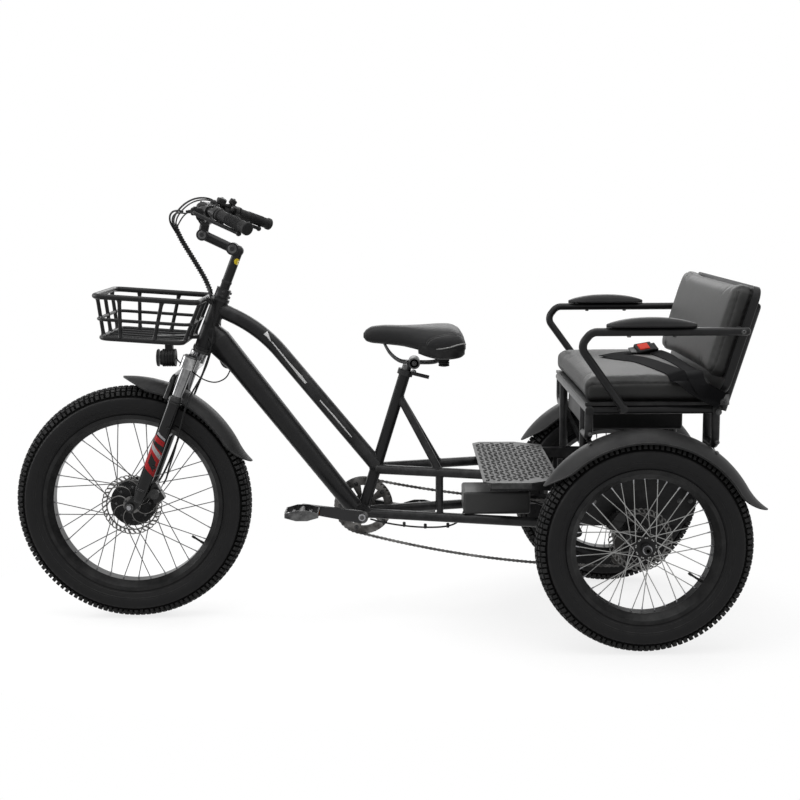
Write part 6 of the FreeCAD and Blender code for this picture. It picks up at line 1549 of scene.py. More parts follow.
def build_fork_details():
    """Decals without words, axle nuts, the fork's caps, bolts, seals and the motor's screws."""
    form = Form("fork_decals")
    for sign in (-1, 1):
        for decal in FORK_DECALS:
            leg_patch(form, sign, *decal)
    form.place("steering", [DECAL_RED, DECAL_WHITE, GLOSS], "fork_gloss", sharp=80)
    hard = Form("fork_fittings")
    for sign in (-1, 1):
        out = Y_AXIS * sign
        add_hex(hard, FRONT_AXLE + out * (90.2 * MM), out, 8.5, 8, 2)
        add_spun(hard, FRONT_AXLE + out * (96 * MM), out, AXLE_CAP, 16)
        for height, profile, sides, paint in LEG_RINGS:
            add_spun(hard, steer_at(height, LEG_FORWARD, sign * FORK_Y), STEER_UP, profile, sides, paint)
        add_bolt(hard, steer_at(338, LEG_FORWARD + 27, sign * 62), STEER_FORWARD, 3.6, 3.4)
    for height, radius in CROWN_RACES:
        profile = ((0, radius - 1), (0.8, radius), (1.8, radius), (2.4, radius - 1))
        add_spun(hard, steer_at(height), STEER_UP, profile, 36, 2)
    hard.place("steering", [STEEL, GLOSS, DARK_STEEL], "fork_steel")
    motor = Form("motor_fittings")
    for turn in turns(MOTOR_SCREWS):
        for sign in (1, -1):
            add_bolt(motor, wheel_point(FRONT_AXLE, 49, sign * 33.2, turn), Y_AXIS * sign, 3.0, 2.4)
    for turn in turns(MOTOR_RIBS):
        for sign in (-1, 1):
            rib = [wheel_point(FRONT_AXLE, r, sign * y, turn) for r, y in ((53, 31.2), (61, 27.4))]
            add_tube(motor, rib, 1.6, 6, 1)
    motor.place("front_wheel", [DARK_STEEL, MOTOR], "rim_black")


CONTROL_PODS = (
    # place, radius, height and direction of each pod on the right-hand side
    ((258, 158, 1228), 15.0, 22, (0.3, 0.1, 1)), ((290, 176, 1226), 11.5, 18, (0.7, 0.2, 1)),
    ((240, 120, 1222), 10.0, 20, (-0.4, 0, 1)),
)
CONTROL_STEMS = (((254, 160, 1204), (257, 158, 1222)), ((272, 180, 1202), (288, 176, 1222)),
                 ((240, 122, 1200), (240, 120, 1216)), ((262, 160, 1216), (286, 176, 1216)))
GRIP_INNER = (285, 200, 1199)
GRIP_OUTER = (385, 304, 1157)
BAR_CLAMP = (232, 0, 1180)


def build_grips():
    """Moulded grips: collars, rings of ribs and a round end."""
    for side, sign in SIDES:
        form = Form("grip_" + side)
        inner = at(GRIP_INNER[0], sign * GRIP_INNER[1], GRIP_INNER[2])
        outer = at(GRIP_OUTER[0], sign * GRIP_OUTER[1], GRIP_OUTER[2])
        along = (outer - inner).normalized()
        start = inner + along * (20 * MM)
        length = (outer - start).length / MM + 3
        profile = [(0, 12.5), (0, 17.2), (1.2, 18.5), (6.5, 18.5), (8, 17.2), (9.5, 15.4)]
        place = 12.0
        while place < length - 20:
            ribbed = 0.28 * length < place < 0.74 * length
            crest = 16.6 if ribbed else 15.7
            profile += [(place, 15.2), (place + 0.9, crest), (place + 2.2, crest), (place + 3.1, 15.2)]
            place += 4.2
        profile += [(length - 13, 15.2), (length - 11, 16.8), (length - 9, 18.3), (length - 2.4, 18.3),
                    (length - 0.6, 16.4), (length, 13.0), (length + 0.4, 6.0)]
        add_spun(form, start, along, profile, 36, 0)
        form.place("steering", [GRIP], "pad_rubber", ("grips",), sharp=28)


def add_pod(form, middle, radius, tall, tilt):
    """A round control pod: ribbed barrel, domed top and a screw."""
    out = Vector(tilt).normalized()
    add_spun(form, middle - out * (tall / 2 * MM), out, ((0, radius * 0.7), (tall * 0.12, radius * 0.95),
             (tall * 0.3, radius), (tall * 0.36, radius * 0.93), (tall * 0.44, radius), (tall * 0.8, radius),
             (tall * 0.93, radius * 0.86), (tall, radius * 0.5)), 22, 0)
    add_bolt(form, middle + out * (tall / 2 * MM), out, 3.2, 2.2, 2)


YELLOW_SPOT = (320, -60, 1056)
YELLOW_R = 8.0
YELLOW_RINGS = 5
YELLOW_SIDES = 20
FILM_LIFT = 0.35
DISPLAY_TILT = radians(30)
BUTTON = ((0, 2.9), (1.6, 2.9), (2.0, 2.2))
HOSE_BOOT = ((0, 6.4), (3, 6.4), (3, 5.0), (9, 5.0), (9, 4.0), (16, 3.6))
GRIP_COLLAR = ((0, 13), (0, 17.5), (1.5, 18.5), (13, 18.5), (15, 17.0), (15, 13))
BELL_DOME = ((0, 12.0), (0, 17.0), (1.0, 17.6), (5, 17.2), (10, 14.4), (13.4, 9.6), (14.8, 4.2), (15.0, 2.6),
             (17, 2.4), (17.4, 1.2))
BELL_BAND = ((0, 13), (0, 15), (12, 15), (12, 13))
STEM_CAPS = (
    # x, side, height and profile of the pivot caps on the stem
    (308, 17, 1093, ((0, 13), (1.4, 13), (2.2, 11.6), (2.2, 6.4), (0.8, 6.0))),
    (222, 19, 1134, ((0, 12), (1.4, 12), (2.2, 10.6), (2.2, 6.0), (0.8, 5.6))),
)
COLLAR_R = 21.9
TOP_CAP = ((0, 14.2), (1, 15.2), (7, 15.2), (8, 14.2))


def add_display(form):
    """The display's screen, a tab on its left and three keys on its right."""
    face = Vector((sin(DISPLAY_TILT), 0, cos(DISPLAY_TILT)))
    down = Vector((cos(DISPLAY_TILT), 0, -sin(DISPLAY_TILT)))
    axes = (down, Y_AXIS, face)
    middle = at(BAR_CLAMP[0] + 14, 36, BAR_CLAMP[2] + 30)
    add_block(form, middle + face * (6.9 * MM), axes, (19.5, 27, 1.0), 1, 0.2)
    add_block(form, middle + face * (6.6 * MM) + mm(0, -31.5, 0), axes, (10, 3.0, 1.6), 0, 0.4)
    for shift in (-7, 0, 7):
        add_spun(form, middle + face * (7.0 * MM) + mm(0, 31.6, 0) + down * (shift * MM), face, BUTTON, 14)


def add_lever_details(form, sign):
    """Screws and hose boot of one lever perch, the grip's collar and the thumb control under it."""
    start = at(240, sign * 150, 1206)
    end = at(GRIP_INNER[0], sign * GRIP_INNER[1], GRIP_INNER[2])
    ring = (start + end) / 2
    run = (end - start).normalized()
    perch = ring + mm(-24, -sign * 6, 0)
    add_bolt(form, perch + mm(8, 0, 11), UP, 3.2, 3.0, 2)
    add_bolt(form, perch + mm(-12, sign * 6, 11), UP, 4.4, 3.0, 2)
    add_spun(form, perch + mm(-22, 0, 0), AHEAD, HOSE_BOOT, 16)
    add_bolt(form, ring + mm(4, 0, -17), -UP, 3.0, 3.0, 2)
    outer = at(GRIP_OUTER[0], sign * GRIP_OUTER[1], GRIP_OUTER[2])
    add_spun(form, end + run * (2 * MM), outer - end, GRIP_COLLAR, 28)
    spot = end + mm(14, -sign * 2, -20)
    axes = (run, run.cross(UP).normalized(), UP)
    add_block(form, spot, axes, (9, 8, 12), 0, 0.4)
    if sign > 0:
        lever = smooth_path([spot + mm(-2, -6, 4), spot + mm(6, -22, -4), spot + mm(16, -34, -8)], 6)
        add_tube(form, lever, [5.5 - 0.12 * index for index in range(len(lever))], 10, 0, flat=0.6)
        return
    for height, paint in ((-6, 0), (0, 0), (6, 3)):
        add_block(form, spot + mm(7, 7, height), axes, (4, 4, 2.0), paint, 0.4)


def build_controls():
    """Display, thumb lever and keys, control pods, bell, lever screws and the stem's bolts."""
    form = Form("control_details")
    add_display(form)
    for sign in (-1, 1):
        add_lever_details(form, sign)
    for place, radius, tall, tilt in CONTROL_PODS:
        add_pod(form, at(*place), radius, tall, tilt)
    for start, end in CONTROL_STEMS:
        add_tube(form, even_points([at(*start), at(*end)], 4 * MM), 5.2, 10)
    add_spun(form, at(236, -92, 1214), Vector((-0.25, -0.1, 1)), BELL_DOME, 32)
    add_spun(form, at(232, -84, 1188), -Y_AXIS, BELL_BAND, 24)
    add_block(form, at(238, -90, 1202), SQUARE, (5, 5, 10), 0, 0.3)
    striker = (Vector((1, 0.2, 0)).normalized(), Vector((-0.2, 1, 0)).normalized(), UP)
    add_block(form, at(258, -98, 1215), striker, (12, 3, 2), 0, 0.4)
    for y in (-16, 16):
        for x in (-9, 9):
            add_bolt(form, at(BAR_CLAMP[0] + x, y, BAR_CLAMP[2] + 17), Vector((x * 0.02, 0, 1)), 3.0, 3.4, 2)
    for sign in (-1, 1):
        for x, y, z, profile in STEM_CAPS:
            add_spun(form, at(x, sign * y, z), Y_AXIS * sign, profile, 24, 2)
    for height in (668, 681):
        add_bolt(form, steer_at(height, -21.2, 5), -STEER_FORWARD, 3.4, 4.0, 2)
        add_bolt(form, steer_at(height, -3, -21.2), -Y_AXIS, 3.0, 3.0, 2)
    for height in (664, 687):
        profile = ((0, COLLAR_R - 1), (0.6, COLLAR_R), (1.6, COLLAR_R), (2.2, COLLAR_R - 1))
        add_spun(form, steer_at(height), STEER_UP, profile, 32)
    add_spun(form, steer_at(705), STEER_UP, TOP_CAP, 28)
    form.place("steering", [PLASTIC, SCREEN, DARK_STEEL, RED], "frame_black", sharp=32)


def build_yellow_spot():
    """A plain yellow sticker laid on the side of the stem."""
    sticker = Form("stem_sticker")
    stem = node_tree("stem")
    points = []
    for ring in range(YELLOW_RINGS):
        reach = YELLOW_R * (ring + 0.04) / (YELLOW_RINGS - 0.96) * MM
        for turn in turns(YELLOW_SIDES):
            start = at(*YELLOW_SPOT) + Vector((cos(turn), 0, sin(turn) * 1.15)) * reach
            spot, normal = stem.ray_cast(start, Y_AXIS)[:2]
            points.append(spot + normal * (FILM_LIFT * MM) if spot else start)
    sticker.add(points, grid_faces(YELLOW_RINGS, YELLOW_SIDES)[:-1])
    sticker.place("steering", [YELLOW], "frame_black")

# Cables and hoses

def settled(points):
    """The points of a smooth NURBS line through a cable's chosen places, given in mm."""
    curve = bpy.data.curves.new("route", "CURVE")
    curve.dimensions = "3D"
    curve.resolution_u = 12
    spline = curve.splines.new("NURBS")
    spline.points.add(len(points) - 1)
    for control, place in zip(spline.points, points):
        spot = at(*place)
        control.co = (spot.x, spot.y, spot.z, 1)
    spline.order_u = 3
    spline.use_endpoint_u = True
    line = evaluated(add_object("route", curve))
    places = [vert.co.copy() for vert in line.vertices]
    bpy.data.meshes.remove(line)
    bpy.data.curves.remove(curve)
    return places


WRAP_SIDES = 10
WRAP_CORD = 1.9


def add_wrap(form, line, radius, gap, paint):
    """A spiral wrap wound round a bundle of cables."""
    places = even_points(line, gap / WRAP_SIDES * MM)
    coil = []
    for index, (side, up) in enumerate(across_along(places)):
        turn = TURN * index / WRAP_SIDES
        coil.append(places[index] + (side * cos(turn) + up * sin(turn)) * (radius * MM))
    add_tube(form, coil, WRAP_CORD, 6, paint)


BUNDLE = ((149, -56, 1166), (160, -42, 1131), (183, -28, 1088), (209, -14, 1040), (231, -4, 998),
          (240.5, -1, 967))
LEFT_HOSE = ((192, -166, 1203), (176, -160, 1206), (156, -136, 1202), (143, -104, 1186), (143, -72, 1162),
             (157, -46, 1136))
RIGHT_HOSE = ((250, 152, 1214), (240, 144, 1230), (218, 122, 1240), (192, 88, 1239), (172, 44, 1228),
              (157, -2, 1210), (146, -36, 1188), (146, -54, 1164), (157, -46, 1138))
DISPLAY_WIRE = ((246, 34, 1196), (222, 26, 1206), (190, 0, 1204), (166, -30, 1186), (154, -46, 1154))
FRONT_HOSE = ((232, -8, 990), (243, -36, 962), (252, -40, 925), (254, -42, 862), (246, -42, 815),
              (228, -44, 765), (216, -58, 728), (200, -86, 700), (180, -101, 664), (158, -104, 590),
              (140, -105, 520), (121, -104, 468), (112, -98, 436), (104, -82, 424), (98, -66, 414))
MOTOR_CABLE = ((4, 96, 348), (24, 104, 352), (60, 106, 392), (98, 104, 470), (140, 103, 580), (164, 96, 640),
               (188, 72, 690), (204, 44, 722), (222, 40, 760), (240, 40, 830), (250, 38, 900), (246, 26, 950),
               (236, 6, 984))
CROSSING_WIRES = ((240, 0, 962), (262, 30, 930), (262, 40, 870), (252, 38, 800), (262, 32, 752),
                  (284, 20, 742), (296, 10, 748))
LAMP_WIRE = ((132, 0, 792), (134, 0, 772), (150, 0, 758), (178, 4, 736), (206, 26, 708), (240, 34, 696),
             (268, 30, 706), (284, 20, 722), (292, 10, 742))
UNDER_FRAME_WIRES = (
    ((700, -30, 296), (740, -44, 288), (800, -56, 281), (862, -62, 277), (928, -66, 280), (966, -62, 296),
     (978, -50, 330)),
    ((1166, -30, 350), (1200, -40, 342), (1240, -60, 330), (1290, -110, 318), (1340, -190, 322),
     (1368, -226, 360)),
)
WIRE_CLIPS = ((740, -47, 292), (800, -58, 286), (862, -64, 282), (928, -68, 285))


def add_cable(form, route, radius, sides, paint=0):
    """A cable along a smooth line through chosen places."""
    add_tube(form, settled(route), radius, sides, paint)


def build_cables():
    """Hoses, wires and their sleeve, each on the body that holds it."""
    form = Form("control_cables_wrapped")
    bundle = settled(BUNDLE)
    add_tube(form, bundle, 6.0, 12)
    add_wrap(form, bundle, 6.7, 8.0, 0)
    add_cable(form, LEFT_HOSE, 2.8, 10, 1)
    add_cable(form, RIGHT_HOSE, 2.8, 10, 1)
    add_cable(form, [(x + 6, y * 0.92, z - 6) for x, y, z in RIGHT_HOSE], 2.2, 8, 1)
    add_cable(form, [(x + 6, y + 6, z - 6) for x, y, z in LEFT_HOSE], 2.2, 8, 1)
    add_cable(form, DISPLAY_WIRE, 2.0, 8, 1)
    form.place("steering", [PLASTIC, HOSE], "frame_black", ("control_cables",), sharp=50)
    brake = Form("front_brake_hose")
    add_cable(brake, FRONT_HOSE, 2.6, 10)
    add_cable(brake, MOTOR_CABLE, 3.2, 10)
    piece = brake.place(None, [HOSE], "frame_black", sharp=50)
    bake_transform(piece)
    clips = Form("hose_clips")
    for height in (140, 262):
        spot = steer_at(height, LEG_FORWARD - 12, -FORK_Y - 19)
        add_block(clips, spot, (STEER_UP, Y_AXIS, STEER_FORWARD), (4, 5, 5), 0, 0.3)
    clips.place("steering", [HOSE], "frame_black", sharp=50)
    crossing = Form("crossing_wires")
    for shift in (-1, 0, 1):
        add_cable(crossing, [(x, y + shift * 4.2, z + shift * 1.5) for x, y, z in CROSSING_WIRES], 2.3, 8)
    piece = crossing.place(None, [HOSE], "frame_black", sharp=50)
    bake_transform(piece)
    frame_wires = Form("frame_wires")
    add_cable(frame_wires, LAMP_WIRE, 2.0, 8)
    for route in UNDER_FRAME_WIRES:
        add_cable(frame_wires, route, 2.6, 8)
    for clip in WIRE_CLIPS:
        add_block(frame_wires, at(*clip), SQUARE, (4.5, 5, 7), 1, 0.4)
    frame_wires.place("chassis", [HOSE, PLASTIC], "frame_black", sharp=50)


# Fenders

FENDER_DROP = 28
FENDER_HALF = 56
FENDER_THICK = 3
FENDER_TAIL_R = 190
FENDER_POINT = 92
FENDER_HEM = 3
FRONT_FENDER = ((-10, 0, 363), 358, 26, 92, 20)
FENDER_ARCH = (402, 41)
REAR_FENDER = (318, 30, 149, 26)
FENDER_STEPS = 110
FENDER_ACROSS = 24
FENDER_EDGE_R = 1.9


def outward(turn):
    """The direction at an angle about a wheel's axle."""
    return Vector((cos(turn), 0, sin(turn)))


def fender_station(centre, crown, start, tail, gone):
    """The middle of a fender's inner face and its outward direction, at a distance from its tail end."""
    tail_length = FENDER_TAIL_R * radians(tail)
    if gone < tail_length:
        out = outward(radians(start + tail) - gone / FENDER_TAIL_R)
        pivot = outward(radians(start)) * ((crown + FENDER_TAIL_R) * MM)
        return centre + pivot - out * (FENDER_TAIL_R * MM), out
    out = outward(radians(start) + (gone - tail_length) / crown)
    return centre + out * (crown * MM), out


def add_fender(form, centre, crown, start, end, tail):
    """A crowned mudguard with a flared tail, rounded ends and a rolled edge."""
    total = FENDER_TAIL_R * radians(tail) + crown * radians(end - start)
    outer, inner, left, right = [], [], [], []
    for station in range(FENDER_STEPS + 1):
        gone = total * (0.5 - 0.5 * cos(pi * station / FENDER_STEPS))
        spot, out = fender_station(centre, crown, start, tail, gone)
        near = min(gone, total - gone)
        share = min(near / FENDER_POINT, 1)
        half = FENDER_HALF * max(1 - (1 - share) ** 1.7, 0.0009) ** 0.62
        for step in range(FENDER_ACROSS + 1):
            y = half * (2 * step / FENDER_ACROSS - 1)
            fall = FENDER_DROP * (y / FENDER_HALF) ** 2 * (1 + 0.12 * (y / FENDER_HALF) ** 4)
            level = spot + Y_AXIS * (y * MM) - out * (fall * MM)
            outer.append(level + out * (FENDER_THICK * MM))
            inner.append(level)
        edge = spot - out * (FENDER_DROP * (half / FENDER_HALF) ** 2 * MM) + out * (1.2 * MM)
        inset = FENDER_HEM * max(1 - near / FENDER_HEM, 0) * MM
        edge += (Y_AXIS.cross(out) if gone < total / 2 else out.cross(Y_AXIS)) * -inset
        left.append(edge - Y_AXIS * (half * MM))
        right.append(edge + Y_AXIS * (half * MM))
    wide = FENDER_ACROSS + 1
    skin = len(outer)
    faces = []
    for a, b, c, d in grid_faces(FENDER_STEPS + 1, wide, strip=True):
        faces.append([a, b, c, d])
        faces.append([a + skin, d + skin, c + skin, b + skin])
    for row in range(FENDER_STEPS):
        for a in (row * wide, row * wide + FENDER_ACROSS):
            faces.append([a, a + wide, a + wide + skin, a + skin])
    for row in (0, FENDER_STEPS):
        for a in range(row * wide, row * wide + FENDER_ACROSS):
            faces.append([a, a + 1, a + 1 + skin, a + skin])
    form.add(outer + inner, faces)
    loop = even_points(left + right[::-1] + left[:1], 4 * MM)[:-1]
    add_tube(form, loop, FENDER_EDGE_R, 8, closed=True)


def build_fenders():
    """The three mudguards."""
    form = Form("front_fender_shell")
    place, crown, *sweep = FRONT_FENDER
    centre = at(*place)
    add_fender(form, centre, crown, *sweep)
    reach = steer_at(*FENDER_ARCH) - centre
    boss = ((0, 12), (2.4, 12), (2.4, 7), (reach.length / MM - crown - 9, 7))
    add_spun(form, centre + reach.normalized() * ((crown + 1.5) * MM), reach, boss, 20)
    form.place("steering", [FENDER], "fender_plastic", ("front_fender",), sharp=40)
    for side, sign in SIDES:
        form = Form("rear_fender_shell_" + side)
        add_fender(form, at(WHEELBASE, sign * HALF_TRACK, REAR_TYRE_R), *REAR_FENDER)
        form.place("chassis", [FENDER], "fender_plastic", ("rear_fender_" + side,), sharp=40)


# Frame trim

def node_tree(*names):
    """A search tree over one or more CAD nodes."""
    points, faces = [], []
    for name in names:
        mesh = frame["nodes"][name].data
        first = len(points)
        points += [vert.co.copy() for vert in mesh.vertices]
        faces += [[first + index for index in face.vertices] for face in mesh.polygons]
    return BVHTree.FromPolygons(points, faces)


def rippled(bead, count):
    """The changing thickness of a weld bead, laid in short steps."""
    return [bead * (0.82 + 0.28 * abs(sin(index * 0.9))) for index in range(count)]


WELD_STEPS = 72


def add_weld(form, start, direction, radius, tree, reach=0.3, bead=2.0):
    """A rippled weld bead where a round tube meets another surface."""
    run = direction.normalized()
    side = run.orthogonal().normalized()
    up = run.cross(side)
    line = []
    for turn in turns(WELD_STEPS):
        out = side * cos(turn) + up * sin(turn)
        spot = tree.ray_cast(start + out * (radius * MM), run, reach)[0]
        if spot:
            line.append(spot)
    if len(line) < WELD_STEPS / 6:
        return
    whole = len(line) >= WELD_STEPS - 2
    if whole:
        line.append(line[0])
    line = even_points(line, 1.2 * MM)
    if whole:
        line = line[:-1]
    add_tube(form, line, rippled(bead, len(line)), 6, closed=whole)


def add_square_weld(form, middle, half):
    """A bead round the end of a square tube."""
    corners = [middle + mm(x * half, 0, z * half) for x, z in ((-1, -1), (1, -1), (1, 1), (-1, 1), (-1, -1))]
    line = even_points(corners, 1.4 * MM)[:-1]
    add_tube(form, line, rippled(1.9, len(line)), 6, closed=True)


DOWN_TUBE = (566, (665.5, 0, 308))
TOP_TUBE = (628, (386, 0, 859))
SEAT_FOOT = (677.5, 0, 317)
SEAT_HIGH = (808, 0, 737)
POST_X = 905
SPREAD = (17, 155.5)
STRUT_RUN = (720, 1200)
LOW_RAIL_RUN = (677.5, 1274)


def spread_at(x, run):
    """How far to the side a rail that spreads between two places has come at x."""
    return SPREAD[0] + (SPREAD[1] - SPREAD[0]) * ((x - run[0]) / (run[1] - run[0]))


def build_welds():
    """Weld beads at the joints of the frame that show."""
    form = Form("weld_beads")
    head = node_tree("head_tube")
    seat = node_tree("seat_tube")
    rails = node_tree("upper_rails")
    lows = node_tree("lower_rails")
    down_start, foot = steer_at(DOWN_TUBE[0]), at(*DOWN_TUBE[1])
    add_weld(form, down_start.lerp(foot, 0.2), down_start - foot, 33, head)
    add_weld(form, down_start.lerp(foot, 0.85), foot - down_start, 27, seat, bead=2.4)
    top_start, bend = steer_at(TOP_TUBE[0]), at(*TOP_TUBE[1])
    add_weld(form, top_start.lerp(bend, 0.6), top_start - bend, 22, head)
    seat_foot, seat_high = at(*SEAT_FOOT), at(*SEAT_HIGH)
    top_end = seat_foot.lerp(seat_high, 0.323)
    add_weld(form, top_end + (bend - top_end).normalized() * (110 * MM), top_end - bend, 22, seat)
    strut_high = seat_foot.lerp(seat_high, 0.825)
    for sign in (-1, 1):
        strut_foot = at(POST_X, sign * spread_at(POST_X, STRUT_RUN), 444)
        add_weld(form, strut_high.lerp(strut_foot, 0.3), strut_high - strut_foot, 11, seat)
        add_weld(form, strut_high.lerp(strut_foot, 0.7), strut_foot - strut_high, 11, rails)
        low_foot = at(POST_X, sign * spread_at(POST_X, LOW_RAIL_RUN), 312)
        add_weld(form, low_foot.lerp(strut_foot, 0.5), strut_foot - low_foot, 9.5, rails)
        add_weld(form, low_foot.lerp(strut_foot, 0.5), low_foot - strut_foot, 9.5, lows)
        for x in (1055, 1640):
            add_square_weld(form, at(x, sign * 230, 444), 15)
    form.place("chassis", [PAINT], "frame_black", sharp=60)


TUBE_CAP = ((0, 11.6), (1.2, 11.6), (2.0, 10.2), (2.6, 6))
PAD_SCREW = ((-2, 5.4), (2.6, 5.4), (3.4, 4.2), (3.4, 2.6), (2.0, 2.4))
TUBE_CAPS = ((1300, 360, 668), (1642, 360, 668))
PAD_SCREWS = ((1392, PAD_Y, 875), (1512, PAD_Y, 875))
OUT_NUTS = (
    # x, side, height and size of the nuts that look outward
    (1388, 371, 674, 6.2), (1644, 371, 664, 6.2), (1290, 248.3, 394, 5.4), (1330, 248.3, 394, 5.4),
    (1570, 248.3, 394, 5.4), (1600, 248.3, 394, 5.4),
)
OUT_BOLTS = (
    # x, side, height, radius and head of the screws that look outward
    (1690, 432, 886, 5.0, 3.5), (1300, 372, 606, 4.4, 3.4), (1642, 372, 582, 4.4, 3.4),
)
SEAT_FOOT_NUTS = ((1300, 245, 466), (1642, 245, 466))
FOOTPLATE_BOLTS = ((1050, 205, 463.6), (1120, 205, 463.6), (1190, 205, 463.6))
BOX_SCREWS = ((984, -86, 389.2), (1152, -86, 389.2), (984, 22, 389.2), (1152, 22, 389.2))
BACK_BOLTS_Z = (20, 118, 205)
BACK_BOLTS_Y = 326
BACK_BOLTS_DEPTH = 64.4
BEARING_BOLTS = 4
BEARING_BOLT_R = 26
BEARING_FACE_Y = 258.2
FLANGE_BOLTS = 6
FLANGE_BOLT_R = 33
FLANGE_Y = 41.2
REAR_AXLE_END = ((0, 6.4), (3.2, 6.2), (4.0, 5.0))
FRONT_FENDER_BOLTS = ((118, -30, 692), (118, 30, 692))
REAR_FENDER_BOLT_R = 321


def by_rear_axle(r, y, turn):
    """A place at radius r and side y, turned about the line of the rear axles."""
    return at(WHEELBASE + r * cos(turn), y, REAR_TYRE_R + r * sin(turn))


def build_fasteners():
    """Bolts, caps and screws of the frame, the seats, the boxes, the axles and the fenders."""
    form = Form("frame_fasteners")
    for sign in (-1, 1):
        out = Y_AXIS * sign
        for x, y, z in TUBE_CAPS:
            add_spun(form, at(x, sign * y, z), out, TUBE_CAP, 20)
        for x, y, z in PAD_SCREWS:
            add_spun(form, at(x, sign * y, z), -UP, PAD_SCREW, 14, 1)
        for x, y, z, size in OUT_NUTS:
            add_hex(form, at(x, sign * y, z), out, size, 5, 1)
        for x, y, z, size, head in OUT_BOLTS:
            add_bolt(form, at(x, sign * y, z), out, size, head, 1)
        for x, y, z in SEAT_FOOT_NUTS:
            add_hex(form, at(x, sign * y, z), UP, 5.6, 5, 1)
        for x, y, z in FOOTPLATE_BOLTS:
            add_bolt(form, at(x, sign * y, z), UP, 3.6, 1.8, 1)
        for turn in turns(BEARING_BOLTS, 0.5):
            add_bolt(form, by_rear_axle(BEARING_BOLT_R, sign * BEARING_FACE_Y, turn), out, 3.4, 3.0, 1)
        for turn in turns(FLANGE_BOLTS, 0.5):
            add_bolt(form, by_rear_axle(FLANGE_BOLT_R, sign * FLANGE_Y, turn), out, 3.2, 3.0, 1)
        for z in BACK_BOLTS_Z:
            place = on_back(BACK_BOLTS_DEPTH, sign * BACK_BOLTS_Y, z)
            add_bolt(form, place, on_back(1, 0, 0) - on_back(0, 0, 0), 4.0, 2.6, 1)
    for place in BOX_SCREWS:
        add_bolt(form, at(*place), UP, 3.0, 1.8, 1)
    add_bolt(form, at(*SEAT_HIGH) + mm(24, 12, -8), Vector((0.2, 1, 0)), 4.4, 5, 1)
    form.place("chassis", [PLASTIC, DARK_STEEL], "bearing_steel", sharp=35)
    for side, sign in SIDES:
        out = Y_AXIS * sign
        nuts = Form("axle_nut_" + side)
        add_spun(nuts, at(WHEELBASE, sign * 419.8, REAR_TYRE_R), out, ((0, 13.4), (1.0, 13.4)), 24, 1)
        add_hex(nuts, at(WHEELBASE, sign * 420.4, REAR_TYRE_R), out, 9.6, 7)
        add_spun(nuts, at(WHEELBASE, sign * 426, REAR_TYRE_R), out, REAR_AXLE_END, 20)
        nuts.place("rear_wheel_" + side, [STEEL, DARK_STEEL], "bearing_steel")
    front = Form("fender_fasteners")
    for place in FRONT_FENDER_BOLTS:
        add_bolt(front, at(*place), Vector((-0.4, -0.2, 1)), 4.0, 3.0)
    front.place("steering", [STEEL], "fender_plastic")
    mounts = Form("rear_fender_fasteners")
    for side, sign in SIDES:
        for x in (1300, 1642):
            across = (x - WHEELBASE) / REAR_FENDER_BOLT_R
            rise = sin(acos(min(abs(across), 1)))
            for shift in (-30, 18):
                place = at(x, sign * (HALF_TRACK + shift), REAR_TYRE_R + REAR_FENDER_BOLT_R * rise)
                add_bolt(mounts, place, Vector((across, 0, rise)), 3.8, 2.2)
    mounts.place("chassis", [DARK_STEEL], "fender_plastic")


BASKET_TILT = radians(4.1)
BASKET_CORNER = (-69, 969)
BASKET_LONG = 294
BASKET_WIDE = 308
BASKET_DEEP = 117
TOP_FERRULE = ((6, 8.4), (9, 7.0), (14, 5.9), (20, 5.5))
FOOT_FERRULE = ((5, 7.6), (8, 6.6), (13, 5.8), (18, 5.5))
MIDDLE_FERRULE = ((-7, 5.5), (-3.4, 6.2), (3.4, 6.2), (7, 5.5))


def in_basket(x, y, z):
    """A place counted from the middle of the basket's front rim, along its tilted sides."""
    return at(BASKET_CORNER[0] + x * cos(BASKET_TILT) + z * sin(BASKET_TILT), y,
              BASKET_CORNER[1] - x * sin(BASKET_TILT) + z * cos(BASKET_TILT))


def basket_ring(share):
    """The basket's four corners at a share of its depth, where it has narrowed."""
    front, rear = 23 * share, BASKET_LONG - 40 * share
    y = (BASKET_WIDE - 10 * share) / 2
    z = -BASKET_DEEP * share
    return [Vector((front, -y, z)), Vector((rear, -y, z)), Vector((rear, y, z)), Vector((front, y, z))]


def build_basket_trim():
    """Flared joints where the basket's wires meet its rim, its middle ring and its floor."""
    form = Form("basket_joints")
    rim, floor = basket_ring(0), basket_ring(1)
    for edge in range(4):
        follow = (edge + 1) % 4
        for share in (0.17, 0.5, 0.83) if edge % 2 else (0.25, 0.66):
            if edge == 2:
                share = 1 - share
            top = in_basket(*rim[edge].lerp(rim[follow], share))
            foot = in_basket(*floor[edge].lerp(floor[follow], share))
            add_spun(form, top, foot - top, TOP_FERRULE, 16)
            add_spun(form, foot, top - foot, FOOT_FERRULE, 16)
            add_spun(form, top.lerp(foot, 0.55), foot - top, MIDDLE_FERRULE, 16)
    form.place("chassis", [PAINT], "frame_black", sharp=50)


LAMP_BEZEL = ((0, 22.6), (0, 25.6), (2, 25.8), (5.4, 24.4), (6.2, 22.2), (5.4, 21.4))
LAMP_LENS = ((0, 21.6), (4.4, 21.0), (5.8, 15), (6.2, 0.4))
LAMP_KNOB = ((-6, 4.0), (0, 4.0), (1, 6.4), (5, 7.0), (8, 5.6), (9, 3.0))


